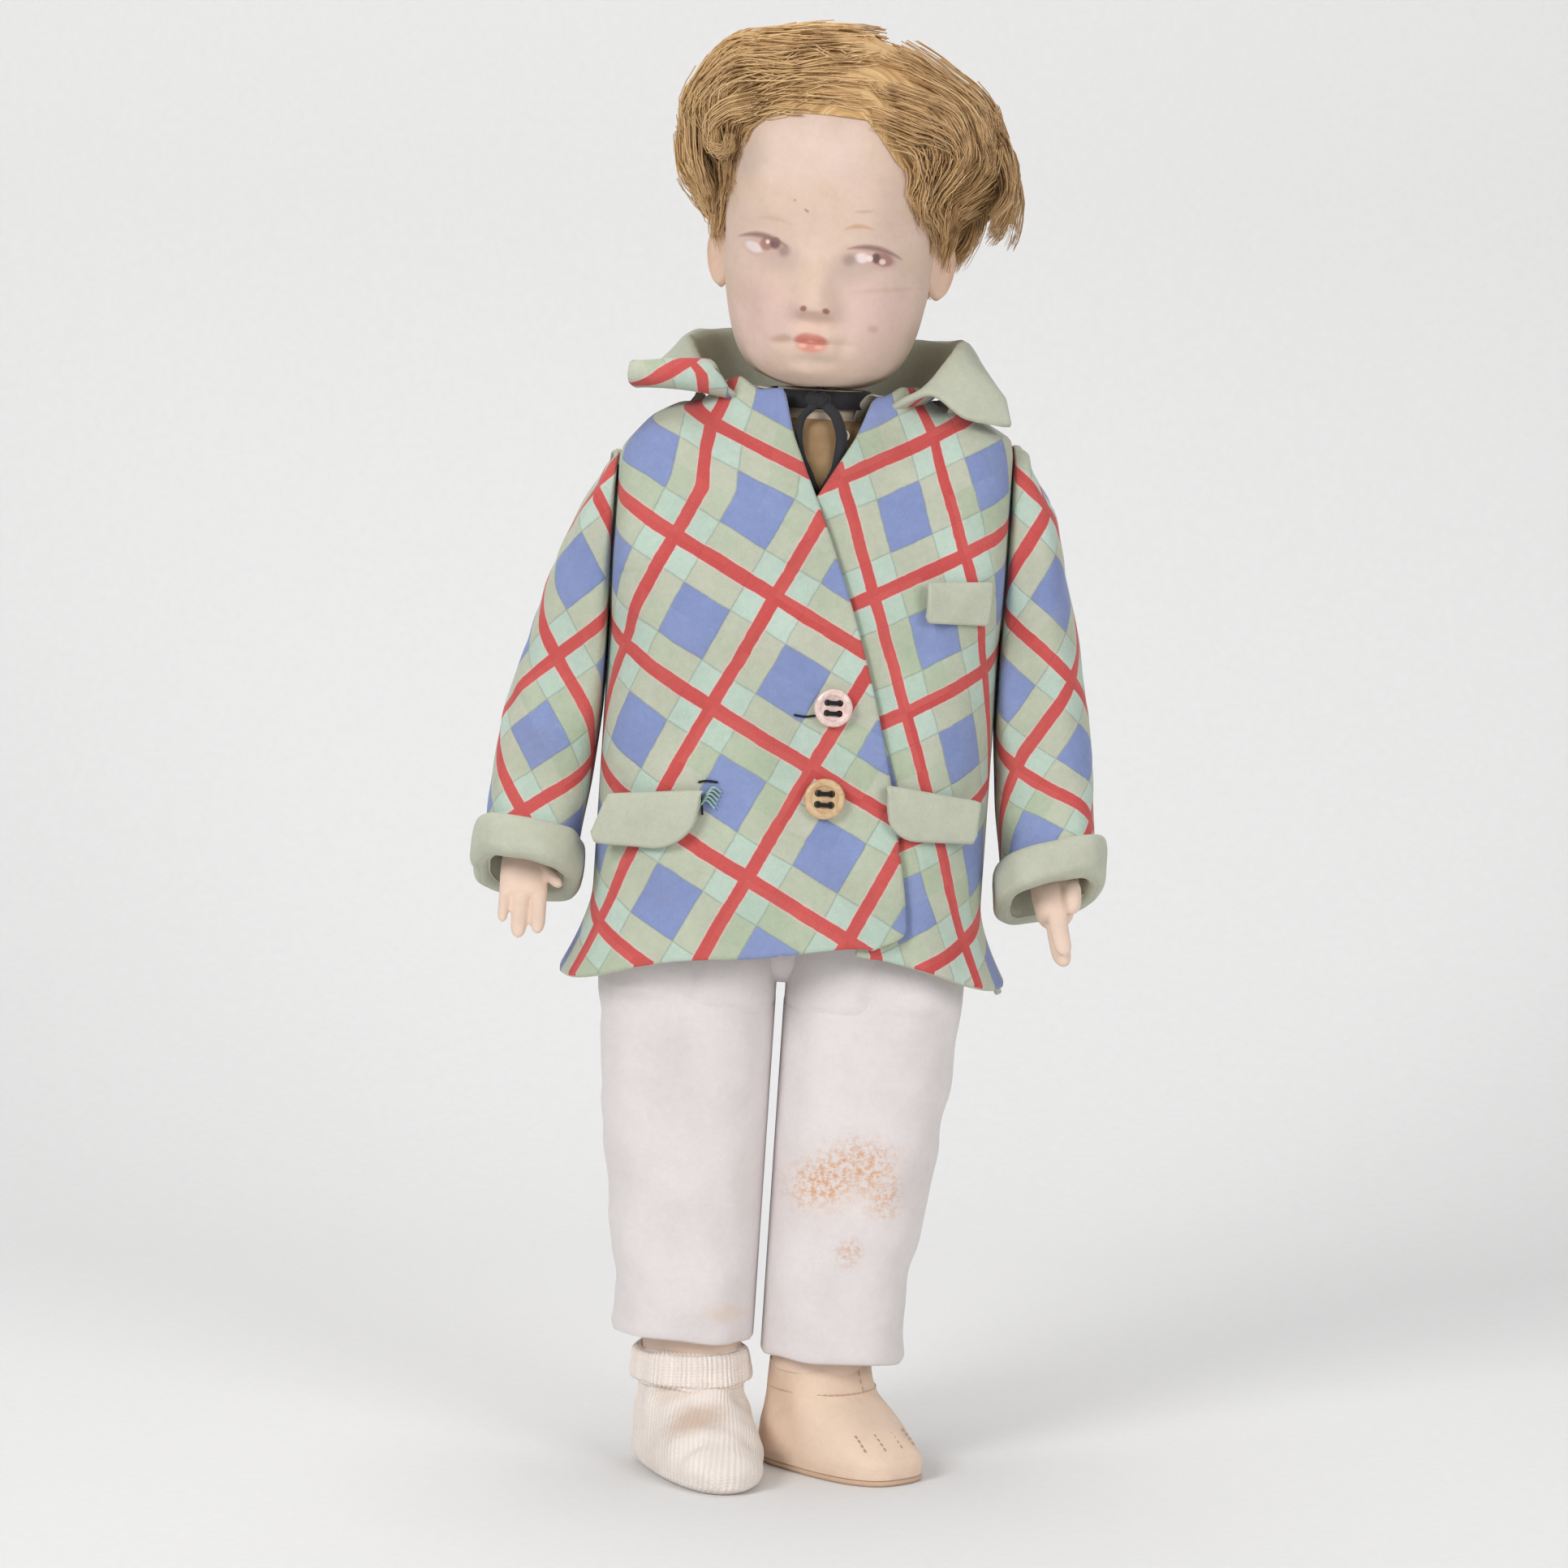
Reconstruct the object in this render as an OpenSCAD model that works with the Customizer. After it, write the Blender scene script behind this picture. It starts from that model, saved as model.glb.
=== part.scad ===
// Felt boy doll in a check jacket: stuffed felt limbs on pinned disc joints, standing with a slight lean.
// The doll faces minus Y, plus X is the doll's left and the floor is at z = 0. All lengths are in mm.

/* [Stance] */
// Sideways lean of the body over its feet, in degrees
lean = 3.8; // [0:0.2:5]
// Turn of the socked right foot towards the doll's left, in degrees
right_foot_turn = 14; // [0:1:30]
// Turn of the bare left foot towards the doll's left, in degrees
left_foot_turn = 30; // [0:1:45]
// Shift that brings the whole figure over the origin, front to back
stand_y = -4; // [-10:0.5:10]

/* [Torso] */
// Height of the hip pins above the floor
hip_z = 160; // [156:1:164]
// Height of the shoulder pins above the floor
shoulder_z = 283; // [281:1:285]
// Width of the torso at the shoulder pins
torso_w = 88; // [84:1:92]
// Depth of the torso at the belly
torso_d = 54; // [48:1:56]
// Width of the torso's block between the two legs
hip_block_w = 25; // [23:1:27]
// Diameter of the felt neck
neck_d = 25; // [23:0.5:26]
// How far the neck stands in front of the torso's middle
neck_forward = 2; // [0:0.5:4]
// Thickness of the felt skin
skin = 1.6; // [1.2:0.1:2]
// Clearance between pieces that lie in or on each other
gap = 0.4; // [0.3:0.05:0.6]

/* [Joint hardware] */
// Diameter of the cotter pins
pin_d = 2.4; // [2:0.1:3]
// Radial running clearance of a pin in its limb disc
pin_clear = 0.05; // [0.02:0.01:0.1]
// Diameter of the heads of the pins
pin_head_d = 5; // [4:0.2:6]
// Thickness of the heads of the pins
pin_head_t = 1; // [0.8:0.1:1.5]
// Diameter of the fibre discs
disc_d = 16; // [12:0.5:16]
// Thickness of the fibre discs
disc_t = 2; // [1.5:0.1:2.5]

/* [Head] */
// Height of the underside of the chin
chin_z = 322.8; // [322:0.2:324]
// Height of the head from the chin to the crown
head_h = 99; // [95:0.5:102]
// Width of the head
head_w = 63; // [60:0.5:65]
// Reach of the face in front of the neck pin
face_reach = 35.5; // [34:0.5:36]
// Reach of the back of the head behind the neck pin
nape_reach = 40; // [38:0.5:42]
// How far the nose stands out
nose_out = 5; // [3:0.5:7]
// Height of an ear
ear_h = 18; // [15:0.5:20]
// How far an ear stands out
ear_out = 5; // [3:0.5:7]

/* [Wig] */
// Height of the hair above the crown
hair_top = 8; // [6:0.5:10]
// Fullness of the hair at the sides and back
hair_side = 11; // [8:0.5:13]
// Extra reach of the tuft at the doll's left
tuft_out = 10; // [4:0.5:12]

/* [Arms] */
// Diameter of the round shoulder of an arm
shoulder_d = 30; // [28:0.5:31]
// Length of the arm from the shoulder pin to the wrist
arm_len = 101; // [98:1:104]
// How much lower the left hand hangs
left_arm_drop = 0; // [0:0.5:4]
// Width of the arm at the elbow
arm_w = 19; // [16:0.5:20]
// Width of the wrist
wrist_w = 16; // [14:0.5:17]
// Distance of the wrist from the sleeve's inner wall
wrist_in = 9; // [7:0.5:10]
// How far the wrist hangs in front of the shoulder pin
wrist_forward = 14; // [12:0.5:16]
// Forward tilt of the forearms and hands, in degrees
hand_tilt = 25; // [15:1:30]
// Turn of the left hand about its wrist, in degrees
left_hand_turn = 40; // [0:1:45]
// Width of the palm
palm_w = 15; // [14:0.5:16]
// Length of the palm
palm_len = 13.5; // [12:0.5:15]
// Length of the middle fingers
finger_len = 10.5; // [9:0.5:12]
// Length of the hand's root inside the sleeve
hand_root = 3; // [2:0.5:4]
// Diameter of the thumb
thumb_d = 4.8; // [4.4:0.1:5.2]

/* [Legs] */
// Width of a thigh
thigh_w = 33; // [30:0.5:34]
// Depth of a thigh, front to back
thigh_d = 43; // [40:0.5:44]
// Width of an ankle
ankle_w = 29; // [26:0.5:30]
// Distance of an ankle from the doll's middle
ankle_x = 19.5; // [18.5:0.5:21]
// Height of the ankle seam
ankle_z = 30; // [28:0.5:31]
// Width of a foot at the ball
foot_w = 35; // [32:0.5:37]
// Reach of the toes in front of the ankle
toe_reach = 42; // [38:0.5:46]
// Reach of the heel behind the ankle
heel_reach = 17; // [16:0.5:18]
// Thickness of a sole
sole_t = 2; // [1.5:0.1:2.5]
// Thickness of the knitted sock
knit = 1.4; // [1:0.1:1.8]
// Height of the sock's folded cuff above the floor
sock_z = 36; // [34:0.5:37]
// Height of the sock's fold line below the cuff's top
sock_fold = 9; // [7:0.5:10]

/* [Jacket] */
// Thickness of the jacket and trouser felt
cloth = 2.2; // [1.6:0.1:2.4]
// Width of the jacket body
jacket_w = 115.4; // [114:0.2:117]
// Reach of the jacket's front from the middle
jacket_front = 38.5; // [37:0.5:40]
// Reach of the jacket's back from the middle
jacket_back = 37; // [36:0.5:39]
// Height of the hem above the floor
hem_z = 147; // [144:0.5:149]
// Rise of the hem at the middle of the front
hem_rise = 10; // [6:0.5:11]
// Flare of the hem on each side
hem_flare = 8.3; // [5:0.1:9]
// Height of the neck edge above the floor
neck_edge_z = 318; // [317:0.5:318.5]
// Height of the bottom of the front opening's V
v_z = 287; // [282:0.5:292]
// How far the right front laps past the middle at the hem
lap = 34; // [28:0.5:36]
// Width of the left front's underlap
underlap = 20; // [14:0.5:24]
// Diameter of the armholes
armhole_d = 34; // [33:0.5:35]
// Height of the collar above the neck edge
collar_h = 19; // [15:0.5:20]
// Reach of the collar's points from the middle
collar_point = 56.5; // [52:0.5:57]
// Width of a sleeve at its end
sleeve_w = 30; // [28:0.5:31]
// Extra width of a sleeve for its inner layer
sleeve_ease = 5; // [4:0.5:6]
// Height of a turned-up cuff
cuff_h = 12; // [10:0.5:14]
// Height of the seam between the fronts and their skirts above the hip pins
skirt_seam = 30; // [28.5:0.5:31]

/* [Jacket trim] */
// Width of a pocket flap
flap_w = 27; // [24:0.5:28]
// Height of a pocket flap
flap_h = 14; // [13:0.5:16.5]
// Height of the right flap's top edge above the floor
flap_z = 202.5; // [202:0.5:206]
// How much higher the left flap sits than the right one
flap_step = 4.5; // [0:0.5:5]
// Distance of the flaps' middles from the doll's middle
flap_x = 40; // [38:0.5:41]
// Radius of a flap's lower corners
flap_corner = 5; // [3:0.5:6]
// Turn of the flaps towards the sides, in degrees
flap_turn = 14; // [10:1:16]
// Width of the breast welt
welt_w = 19; // [15:0.5:20]
// Height of the breast welt
welt_h = 9; // [7:0.5:10]
// Radius of the welt's lower corners
welt_corner = 1; // [0.5:0.1:2]
// Distance of the middle of the breast welt from the doll's middle
welt_x = 43; // [40:0.5:43]
// Turn of the breast welt towards the side, in degrees
welt_turn = 19; // [15:1:21]
// Height of the middle of the breast welt
welt_z = 263; // [257:0.5:264]
// Diameter of the upper button
button_upper_d = 11.2; // [9:0.1:12]
// Diameter of the lower button
button_lower_d = 12; // [9:0.1:13]
// Thickness of a button
button_t = 2.4; // [2:0.1:3]
// Height of the upper button
button_upper_z = 231; // [226:0.5:233]
// Height of the lower button
button_lower_z = 204.5; // [199:0.5:206]
// Distance of the buttons from the doll's middle
button_x = 9.5; // [6:0.5:12]
// Diameter of the holes in a button
button_hole_d = 1.3; // [1:0.1:1.5]
// Diameter of the button thread
thread_d = 0.9; // [0.6:0.05:0.9]

/* [Trousers] */
// Height of the waist above the floor
waist_z = 208; // [204:1:212]
// Width of the trousers at the hips
seat_w = 109; // [107:0.5:109.5]
// Width of a trouser leg at its end
trouser_end_w = 43; // [41:0.5:45]
// Height of the right trouser hem above the floor
right_hem_z = 38.7; // [38.2:0.1:42]
// Distance of the trouser legs' inner edges from the doll's middle
inseam_x = 1.2; // [1:0.1:1.5]
// Height of the left trouser hem above the floor
left_hem_z = 32.5; // [32:0.1:36]

/* [Shirt and ribbon] */
// Thickness of the shirt cotton
cotton = 0.8; // [0.6:0.05:1]
// Height of the shirt's lower edge above the hip pins
shirt_drop = 56; // [50:1:64]
// Height of the shirt's neck collar
neck_collar_h = 9.5; // [8:0.5:10]
// Width of the ribbon
ribbon_w = 5; // [4:0.2:6]
// Thickness of the ribbon
ribbon_t = 0.7; // [0.5:0.05:0.9]
// Length of the ribbon's hanging loop
loop_len = 26; // [20:0.5:28]
// Distance of the shirt button from the doll's middle
shirt_button_x = 7.4; // [7.2:0.1:7.6]
// Height of the shirt button above the bottom of the V
shirt_button_up = 22; // [21.5:0.5:22.5]
// Backward slope of the chest under the shirt button, in degrees
chest_slope = 20; // [14:1:22]
// Thickness of the shirt button
shirt_button_t = 1.2; // [1:0.1:1.5]
// Diameter of the shirt button
shirt_button_d = 3.8; // [3.4:0.1:4]

/* [Hidden] */
$fn = 48;
pin_r = pin_d / 2;
disc_r = disc_d / 2;
trunk = shoulder_z - hip_z;
joint_x = torso_w / 2 + 2 * gap;
armhole_x = jacket_w / 2 + gap;
leg_x = hip_block_w / 2 + cloth + 2 * gap;
leg_seam_z = hip_z - 10;
neck_top_z = chin_z - gap;
jacket_h = neck_edge_z - hem_z;
skirt_z = hip_z + skirt_seam;
stand_x = -skirt_z * sin(lean);

// Shares of the torso between the hip pins and the shoulder pins: height, width, depth, squareness
TORSO = [[-0.11, 0.2, 0.36, 2], [-0.07, 0.27, 0.56, 3], [0.05, 0.284, 0.66, 4], [0.19, 0.284, 0.8, 4],
  [0.225, 0.8, 0.94, 2.4], [0.36, 0.91, 0.99, 2.4], [0.58, 0.94, 1, 2.4], [0.82, 0.98, 0.98, 2.4],
  [1, 1, 0.88, 2.4], [1.12, 0.9, 0.72, 2.2], [1.19, 0.62, 0.62, 2]];
// Shares of the head: height, width, face reach, nape reach
HEAD = [[0, 0.26, 0.46, 0.22], [0.016, 0.41, 0.69, 0.31], [0.045, 0.59, 0.84, 0.39],
  [0.095, 0.73, 0.925, 0.48], [0.155, 0.82, 0.95, 0.59], [0.225, 0.9, 0.965, 0.71], [0.31, 0.95, 0.98, 0.83],
  [0.41, 0.97, 0.965, 0.92],
  [0.53, 1, 0.995, 0.985], [0.66, 1.01, 1, 1], [0.78, 0.98, 0.94, 0.96], [0.875, 0.86, 0.79, 0.83],
  [0.945, 0.64, 0.58, 0.62], [0.985, 0.38, 0.34, 0.37], [1, 0.12, 0.11, 0.12]];
// Shares of the jacket's height with its width and its reach to the front and the back
JACKET = [[0, 1, 1.09, 1.08], [0.034, 1, 1.08, 1.07], [0.08, 1, 1.05, 1.05], [0.13, 1, 1.025, 1.03],
  [0.2, 1, 1.01, 1.01], [0.265, 1, 1, 1], [0.41, 1, 0.985, 0.985], [0.55, 1, 0.97, 0.97],
  [0.68, 1, 0.945, 0.945], [0.8, 1, 0.87, 0.89], [0.875, 1, 0.765, 0.8], [0.905, 0.985, 0.7, 0.74],
  [0.935, 0.85, 0.635, 0.69], [0.962, 0.69, 0.585, 0.65], [0.985, 0.555, 0.56, 0.62], [1, 0.511, 0.56, 0.61]];
// Squareness of the jacket's outline by share of its height: boxier at the armholes
BOXY = [[0, 3.2], [0.6, 3.4], [0.72, 6], [0.9, 6], [0.96, 3], [1, 2.6]];
// Points round a stuffed piece's skin, and round its inside and its stuffing
SKIN_POINTS = 18;
CORE_POINTS = 14;

function spow(v, p) = sign(v) * pow(abs(v), p);
function mixed(a, b, s) = a + (b - a) * s;
function clamp(s) = max(0, min(1, s));
function column(table, c) = [for (r = table) [r[0], r[c]]];
function arc_gap(a, b) = abs(((a - b) % 360 + 540) % 360 - 180);
function closed_curve(c, w, f, b, n, e) = [for (i = [0:n - 1]) let (t = 360 * i / n, s = sin(t))
  [c.x + w * spow(cos(t), 2 / e), c.y + (s < 0 ? f : b) * spow(s, 2 / e), c.z]];
function oval(x0, x1, d, c_y, z, n, e = 2.4) = closed_curve([(x0 + x1) / 2, c_y, z],
  (x1 - x0) / 2, d, d, n, e);
function tilted(ring, c, a) = [for (p = ring) [p.x, c.y + (p.y - c.y) * cos(a) - (p.z - c.z) * sin(a),
  c.z + (p.y - c.y) * sin(a) + (p.z - c.z) * cos(a)]];
function turned(ring, c, a) = [for (p = ring) [c.x + p.x * cos(a) - p.y * sin(a),
  c.y + p.x * sin(a) + p.y * cos(a), p.z]];
function standing(p) = [stand_x + p.x * cos(lean) + p.z * sin(lean), stand_y + p.y,
  p.z * cos(lean) - p.x * sin(lean)];
function flat(rows) = [for (r = rows) for (p = r) p];
function middle(ring) = [for (k = [0:2]) let (v = [for (p = ring) p[k]]) (min(v) + max(v)) / 2];

// Faces of a grid of m rows and n columns that starts at point o, turned over if flip is set
function grid_faces(m, n, o, wrap, flip) = [for (k = [0:m - 2]) for (i = [0:(wrap ? n - 1 : n - 2)])
  let (j = (i + 1) % n, a = o + k * n + i, b = a + n, c = o + (k + 1) * n + j, d = c - n)
  each flip ? [[a, c, b], [a, d, c]] : [[a, b, c], [a, c, d]]];

// Closed solid through a stack of rings
module loft(rings) {
  m = len(rings);
  n = len(rings[0]);
  lids = [for (i = [0:n - 1]) let (j = (i + 1) % n) each [[m * n, i, j],
    [m * n + 1, (m - 1) * n + j, (m - 1) * n + i]]];
  polyhedron(concat(flat(rings), [middle(rings[0]), middle(rings[m - 1])]),
    concat(grid_faces(m, n, 0, true, false), lids));
}

// Sheet of cloth between an outer and an inner grid; wrap joins its sides and lid closes its top row
module sheet(outer, inner, wrap = true, lid = false, floor_lid = false) {
  m = len(outer);
  n = len(outer[0]);
  q = m * n;
  ends = 2 * q;
  tops = [for (i = [0:(wrap ? n - 1 : n - 2)]) let (j = (i + 1) % n, a = (m - 1) * n + i, b = (m - 1) * n + j)
    each lid ? [[ends, b, a], [ends + 1, q + a, q + b]] : [[a, q + a, q + b], [a, q + b, b]]];
  feet = [for (i = [0:(wrap ? n - 1 : n - 2)]) let (j = (i + 1) % n)
    each floor_lid ? [[ends + 2, i, j], [ends + 3, q + j, q + i]] : [[i, j, q + j], [i, q + j, q + i]]];
  sides = wrap ? [] : [for (k = [0:m - 2]) let (a = k * n, b = a + n, c = a + n - 1, d = b + n - 1)
    each [[a, q + a, q + b], [a, q + b, b], [c, d, q + d], [c, q + d, q + c]]];
  lids = concat(lid ? [middle(outer[m - 1]), middle(inner[m - 1])] : [[0, 0, 0], [0, 0, 0]],
    floor_lid ? [middle(outer[0]), middle(inner[0])] : [[0, 0, 0], [0, 0, 0]]);
  polyhedron(concat(flat(outer), flat(inner), lid || floor_lid ? lids : []),
    concat(grid_faces(m, n, 0, wrap, false), grid_faces(m, n, q, wrap, true), tops, feet, sides));
}

module leaned() {
  translate([stand_x, stand_y, 0]) rotate([0, lean, 0]) children();
}

module across(x, z, d, len) {
  translate([x, 0, z]) rotate([0, 90, 0]) cylinder(h = len, d = d);
}

module upright(z, d, len) {
  translate([0, -neck_forward, z]) cylinder(h = len, d = d);
}

module both_sides() {
  children();
  mirror([1, 0, 0]) children();
}

// Torso
function torso_rings(off, n) = concat(
  [for (k = [0:len(TORSO) - 1]) let (r = TORSO[k], z = hip_z + r[0] * trunk + (k == 0 ? off : 0))
    closed_curve([0, 0, z], (k < 4 ? hip_block_w / 2 * r[1] / 0.284 : torso_w / 2 * r[1]) - off,
      torso_d / 2 * r[2] - off, torso_d / 2 * r[2] - off, n, r[3])],
  [for (z = [shoulder_z + 0.24 * trunk, neck_top_z - off])
    closed_curve([0, -neck_forward, z], neck_d / 2 - off, neck_d / 2 - off, neck_d / 2 - off, n, 2)]);
torso_disc_x = joint_x - 9;
hip_disc_x = hip_block_w / 2 - skin - gap - disc_t - pin_head_t - 1;
neck_disc_z = neck_top_z - skin - gap - disc_t;

module torso_pin_holes(d) {
  both_sides() {
    across(torso_disc_x, shoulder_z, d, joint_x);
    across(hip_disc_x, hip_z, d, leg_x);
  }
  upright(neck_disc_z, d, neck_d);
}

module torso_cover() {
  color([0.86, 0.72, 0.62]) leaned() difference() {
    loft(torso_rings(0, SKIN_POINTS));
    loft(torso_rings(skin, CORE_POINTS));
    torso_pin_holes(pin_d + 2 * gap);
  }
}

module torso_stuffing() {
  color([0.9, 0.87, 0.8]) leaned() difference() {
    loft(torso_rings(skin + gap, CORE_POINTS));
    both_sides() {
      across(torso_disc_x - gap - pin_head_t, shoulder_z, disc_d + 2 * gap, joint_x);
      across(hip_disc_x - gap - pin_head_t, hip_z, disc_d + 2 * gap, leg_x);
    }
    upright(neck_disc_z - gap - pin_head_t, disc_d + 2 * gap, neck_d);
  }
}

module torso_discs() {
  color([0.55, 0.42, 0.3]) leaned() difference() {
    union() {
      both_sides() {
        across(torso_disc_x, shoulder_z, disc_d, disc_t);
        across(hip_disc_x, hip_z, disc_d, disc_t);
      }
      upright(neck_disc_z, disc_d, disc_t);
    }
    torso_pin_holes(pin_d + pin_clear);
  }
}

arm_disc_x = joint_x + skin + 2 * gap;
leg_face_x = leg_x + skin + gap;
leg_disc_x = leg_face_x + skin + 3 * gap;
head_disc_z = chin_z + skin + 2 * gap;

module pin_across(x0, x1, z) {
  across(x0, z, pin_d, x1 - x0);
  across(x0 - pin_head_t, z, pin_head_d, pin_head_t);
  across(x1, z, pin_head_d, pin_head_t);
}

module joint_pins() {
  color([0.6, 0.6, 0.62]) leaned() {
    both_sides() {
      pin_across(torso_disc_x - gap / 4, arm_disc_x + disc_t + gap, shoulder_z);
      pin_across(hip_disc_x - gap / 4, leg_disc_x + disc_t + gap, hip_z);
    }
    upright(neck_disc_z - gap / 4, pin_d, head_disc_z + disc_t + gap - neck_disc_z + gap / 4);
    upright(neck_disc_z - gap / 4 - pin_head_t, pin_head_d, pin_head_t);
    upright(head_disc_z + disc_t + gap, pin_head_d, pin_head_t);
  }
}

// Shirt and ribbon
function torso_point(z, t, off) = let (s = (z - hip_z) / trunk, w = torso_w / 2 * lookup(s, column(TORSO, 1)),
  d = torso_d / 2 * lookup(s, column(TORSO, 2))) [(w + off) * spow(cos(t), 2 / 2.3),
  (d + off) * spow(sin(t), 2 / 2.3), z];
shirt_top_z = hip_z + 1.18 * trunk;
shirt_low_z = hip_z + shirt_drop;
function shirt_grid(off) = [for (k = [0:8]) [for (i = [0:10])
  torso_point(mixed(shirt_low_z, shirt_top_z, k / 8), mixed(212, 328, i / 10), off)]];

module shirt_front() {
  color([0.62, 0.5, 0.36]) leaned() sheet(shirt_grid(2 * gap + cotton), shirt_grid(2 * gap), false);
}

function neck_arc(r, z, a0, a1, n) = [for (i = [0:n]) let (t = mixed(a0, a1, i / n))
  [r * cos(t), -neck_forward + r * sin(t), z]];
neck_collar_r = neck_d / 2 + gap;
neck_collar_z = neck_top_z - gap - neck_collar_h;
// The neck collar runs round the back, from one side of the throat to the other
function neck_collar_grid(off) = [for (s = [0, 0.5, 1]) neck_arc(neck_collar_r + off + s * gap,
  neck_collar_z + s * neck_collar_h, -74, 254, 24)];

module shirt_collar() {
  color([0.85, 0.76, 0.66]) leaned() sheet(neck_collar_grid(cotton), neck_collar_grid(0), false);
}

shirt_button_z = v_z + shirt_button_up;
shirt_button_y = torso_point(shirt_button_z, 270, 3 * gap + cotton).y;
shirt_button_hole = 0.16 * shirt_button_d;

module shirt_button() {
  color([0.86, 0.8, 0.72]) leaned() translate([shirt_button_x, shirt_button_y, shirt_button_z])
    rotate([90 - chest_slope, 0, 0]) difference() {
      cylinder(h = shirt_button_t, d = shirt_button_d);
      for (x = [-1, 1]) translate([x * shirt_button_hole, 0, -shirt_button_t])
        cylinder(h = 3 * shirt_button_t, d = shirt_button_hole);
    }
}

ribbon_r = neck_collar_r + cotton + 2 * gap;
ribbon_z = neck_top_z - gap - ribbon_w;
knot_y = -neck_forward - ribbon_r - ribbon_t - gap;

module ribbon_band() {
  color([0.06, 0.06, 0.07]) leaned() translate([0, -neck_forward, ribbon_z]) rotate_extrude()
    translate([ribbon_r, 0]) square([ribbon_t, ribbon_w]);
}

module ribbon_knot() {
  color([0.06, 0.06, 0.07]) leaned() translate([0, knot_y, ribbon_z + ribbon_w / 2]) rotate([90, 0, 0])
    loft([for (s = [[0, 0.7], [0.35, 1], [0.7, 0.9], [1, 0.45]])
      closed_curve([0, 0, s[0] * 0.7 * ribbon_w], 0.85 * ribbon_w * s[1], 0.55 * ribbon_w * s[1],
        0.55 * ribbon_w * s[1], 12, 2.4)]);
}

// The loop hangs from the knot to the bottom of the V: two strands that meet at its lower end
loop_top_z = ribbon_z - gap;
function strand(side, off) = [for (k = [0:6]) let (s = k / 6, z = loop_top_z - loop_len * (1 - s),
  c = side * ribbon_w * (0.55 + 0.4 * sin(180 * s)), w = ribbon_w * 0.2,
  y = min(torso_point(z, 270, 3 * gap + cotton).y, -neck_forward - ribbon_r * s) - 2.6 * gap - off)
  [[c - w, y, z], [c + w, y - gap, z]]];

module ribbon_loop() {
  color([0.06, 0.06, 0.07]) leaned() for (side = [-1, 1])
    sheet(strand(side, ribbon_t), strand(side, 0), false);
}

// Jacket body
function jacket_share(z) = (z - hem_z) / jacket_h;
function jacket_half(z) = jacket_w / 2 * lookup(jacket_share(z), column(JACKET, 1))
  + hem_flare * pow(clamp(1 - jacket_share(z) / 0.14), 1.5);
function jacket_reach(z, front) = front ? jacket_front * lookup(jacket_share(z), column(JACKET, 2))
  : jacket_back * lookup(jacket_share(z), column(JACKET, 3));
function boxy(z) = lookup(jacket_share(z), BOXY);
function hem_lift(z, t) = hem_rise * clamp((skirt_z - z) / (skirt_z - hem_z)) * pow(max(0, -sin(t)), 4);
function jacket_point(z, t, off) = let (s = sin(t), e = boxy(z))
  [(jacket_half(z) - off) * spow(cos(t), 2 / e), (jacket_reach(z, s < 0) - off) * spow(s, 2 / e),
    z + hem_lift(z, t)];
function jacket_y(x, z, off) = -(jacket_reach(z, true) - off)
  * pow(1 - pow(abs(x) / (jacket_half(z) - off), boxy(z)), 1 / boxy(z));
// Angle of the point of the front at a given x
function front_angle(x, z) = 270 + sign(x) * asin(pow(abs(x) / jacket_half(z), boxy(z) / 2));
// Angle that a side edge keeps from the side seam round the armhole
function side_angle(z, front) = let (h = armhole_d / 2, u = z - shoulder_z,
  y = (abs(u) < h ? sqrt(h * h - u * u) : 0) + gap) asin(pow(y / jacket_reach(z, front), boxy(z) / 2));
function v_share(z) = clamp((z - v_z) / (neck_edge_z - v_z));
function lap_edge(z) = z > v_z ? mixed(0, -0.37 * lap, v_share(z)) + 1
  : 1 + lap * (1 - pow((z - hem_z) / (v_z - hem_z), 1.8));
function left_edge(z) = z > v_z ? mixed(0, 0.5 * lap, v_share(z)) + 1 : lap_edge(z);
function hem_corner(z) = 9 * pow(clamp(1 - (z - hem_z) / 12), 2);
JACKET_LEVELS = [0.32, 0.4, 0.5, 0.6, 0.68, 0.705, 0.74, 0.8, 0.855, 0.885, 0.905, 0.935, 0.962, 0.985, 1];
upper_z = concat([skirt_z + gap], [for (s = JACKET_LEVELS) hem_z + s * jacket_h]);
skirt_levels = [for (s = [0, 0.12, 0.3, 0.5, 0.75, 1]) mixed(hem_z, skirt_z, s)];
back_z = concat([for (s = [0, 0.12, 0.3, 0.6]) mixed(hem_z, skirt_z, s)], upper_z);

function back_grid(off) = [for (z = back_z) let (a = side_angle(z, false)) [for (i = [0:12])
  jacket_point(z, mixed(a, 180 - a, i / 12), off)]];
function right_grid(levels, off) = [for (z = levels) let (a = 180 + side_angle(z, true),
  b = front_angle(lap_edge(z) - hem_corner(z), z))
  [for (i = [0:10]) jacket_point(z, mixed(a, b, i / 10), off)]];
// The left front slips under the right one: its first columns lie one layer deeper
function left_grid(levels, off) = [for (z = levels) let (e = left_edge(z), b = 360 - side_angle(z, true),
  u = 1.5 + underlap * clamp((v_z - z) / 20), a = front_angle(e + 4, z))
  concat([for (x = [e - u, e - u / 2, e + 0.5]) jacket_point(z, front_angle(x, z), off + cloth + gap)],
    [for (i = [0:8]) jacket_point(z, mixed(a, b, i / 8), off)])];

module jacket_back_panel() {
  color([0.6, 0.64, 0.74]) leaned() sheet(back_grid(0), back_grid(cloth), false);
}

module jacket_front_right() {
  color([0.6, 0.64, 0.74]) leaned() sheet(right_grid(upper_z, 0), right_grid(upper_z, cloth), false);
}

module jacket_front_left() {
  color([0.6, 0.64, 0.74]) leaned() sheet(left_grid(upper_z, 0), left_grid(upper_z, cloth), false);
}

module jacket_skirt_right() {
  color([0.6, 0.64, 0.74]) leaned()
    sheet(right_grid(skirt_levels, 0), right_grid(skirt_levels, cloth), false);
}

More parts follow.
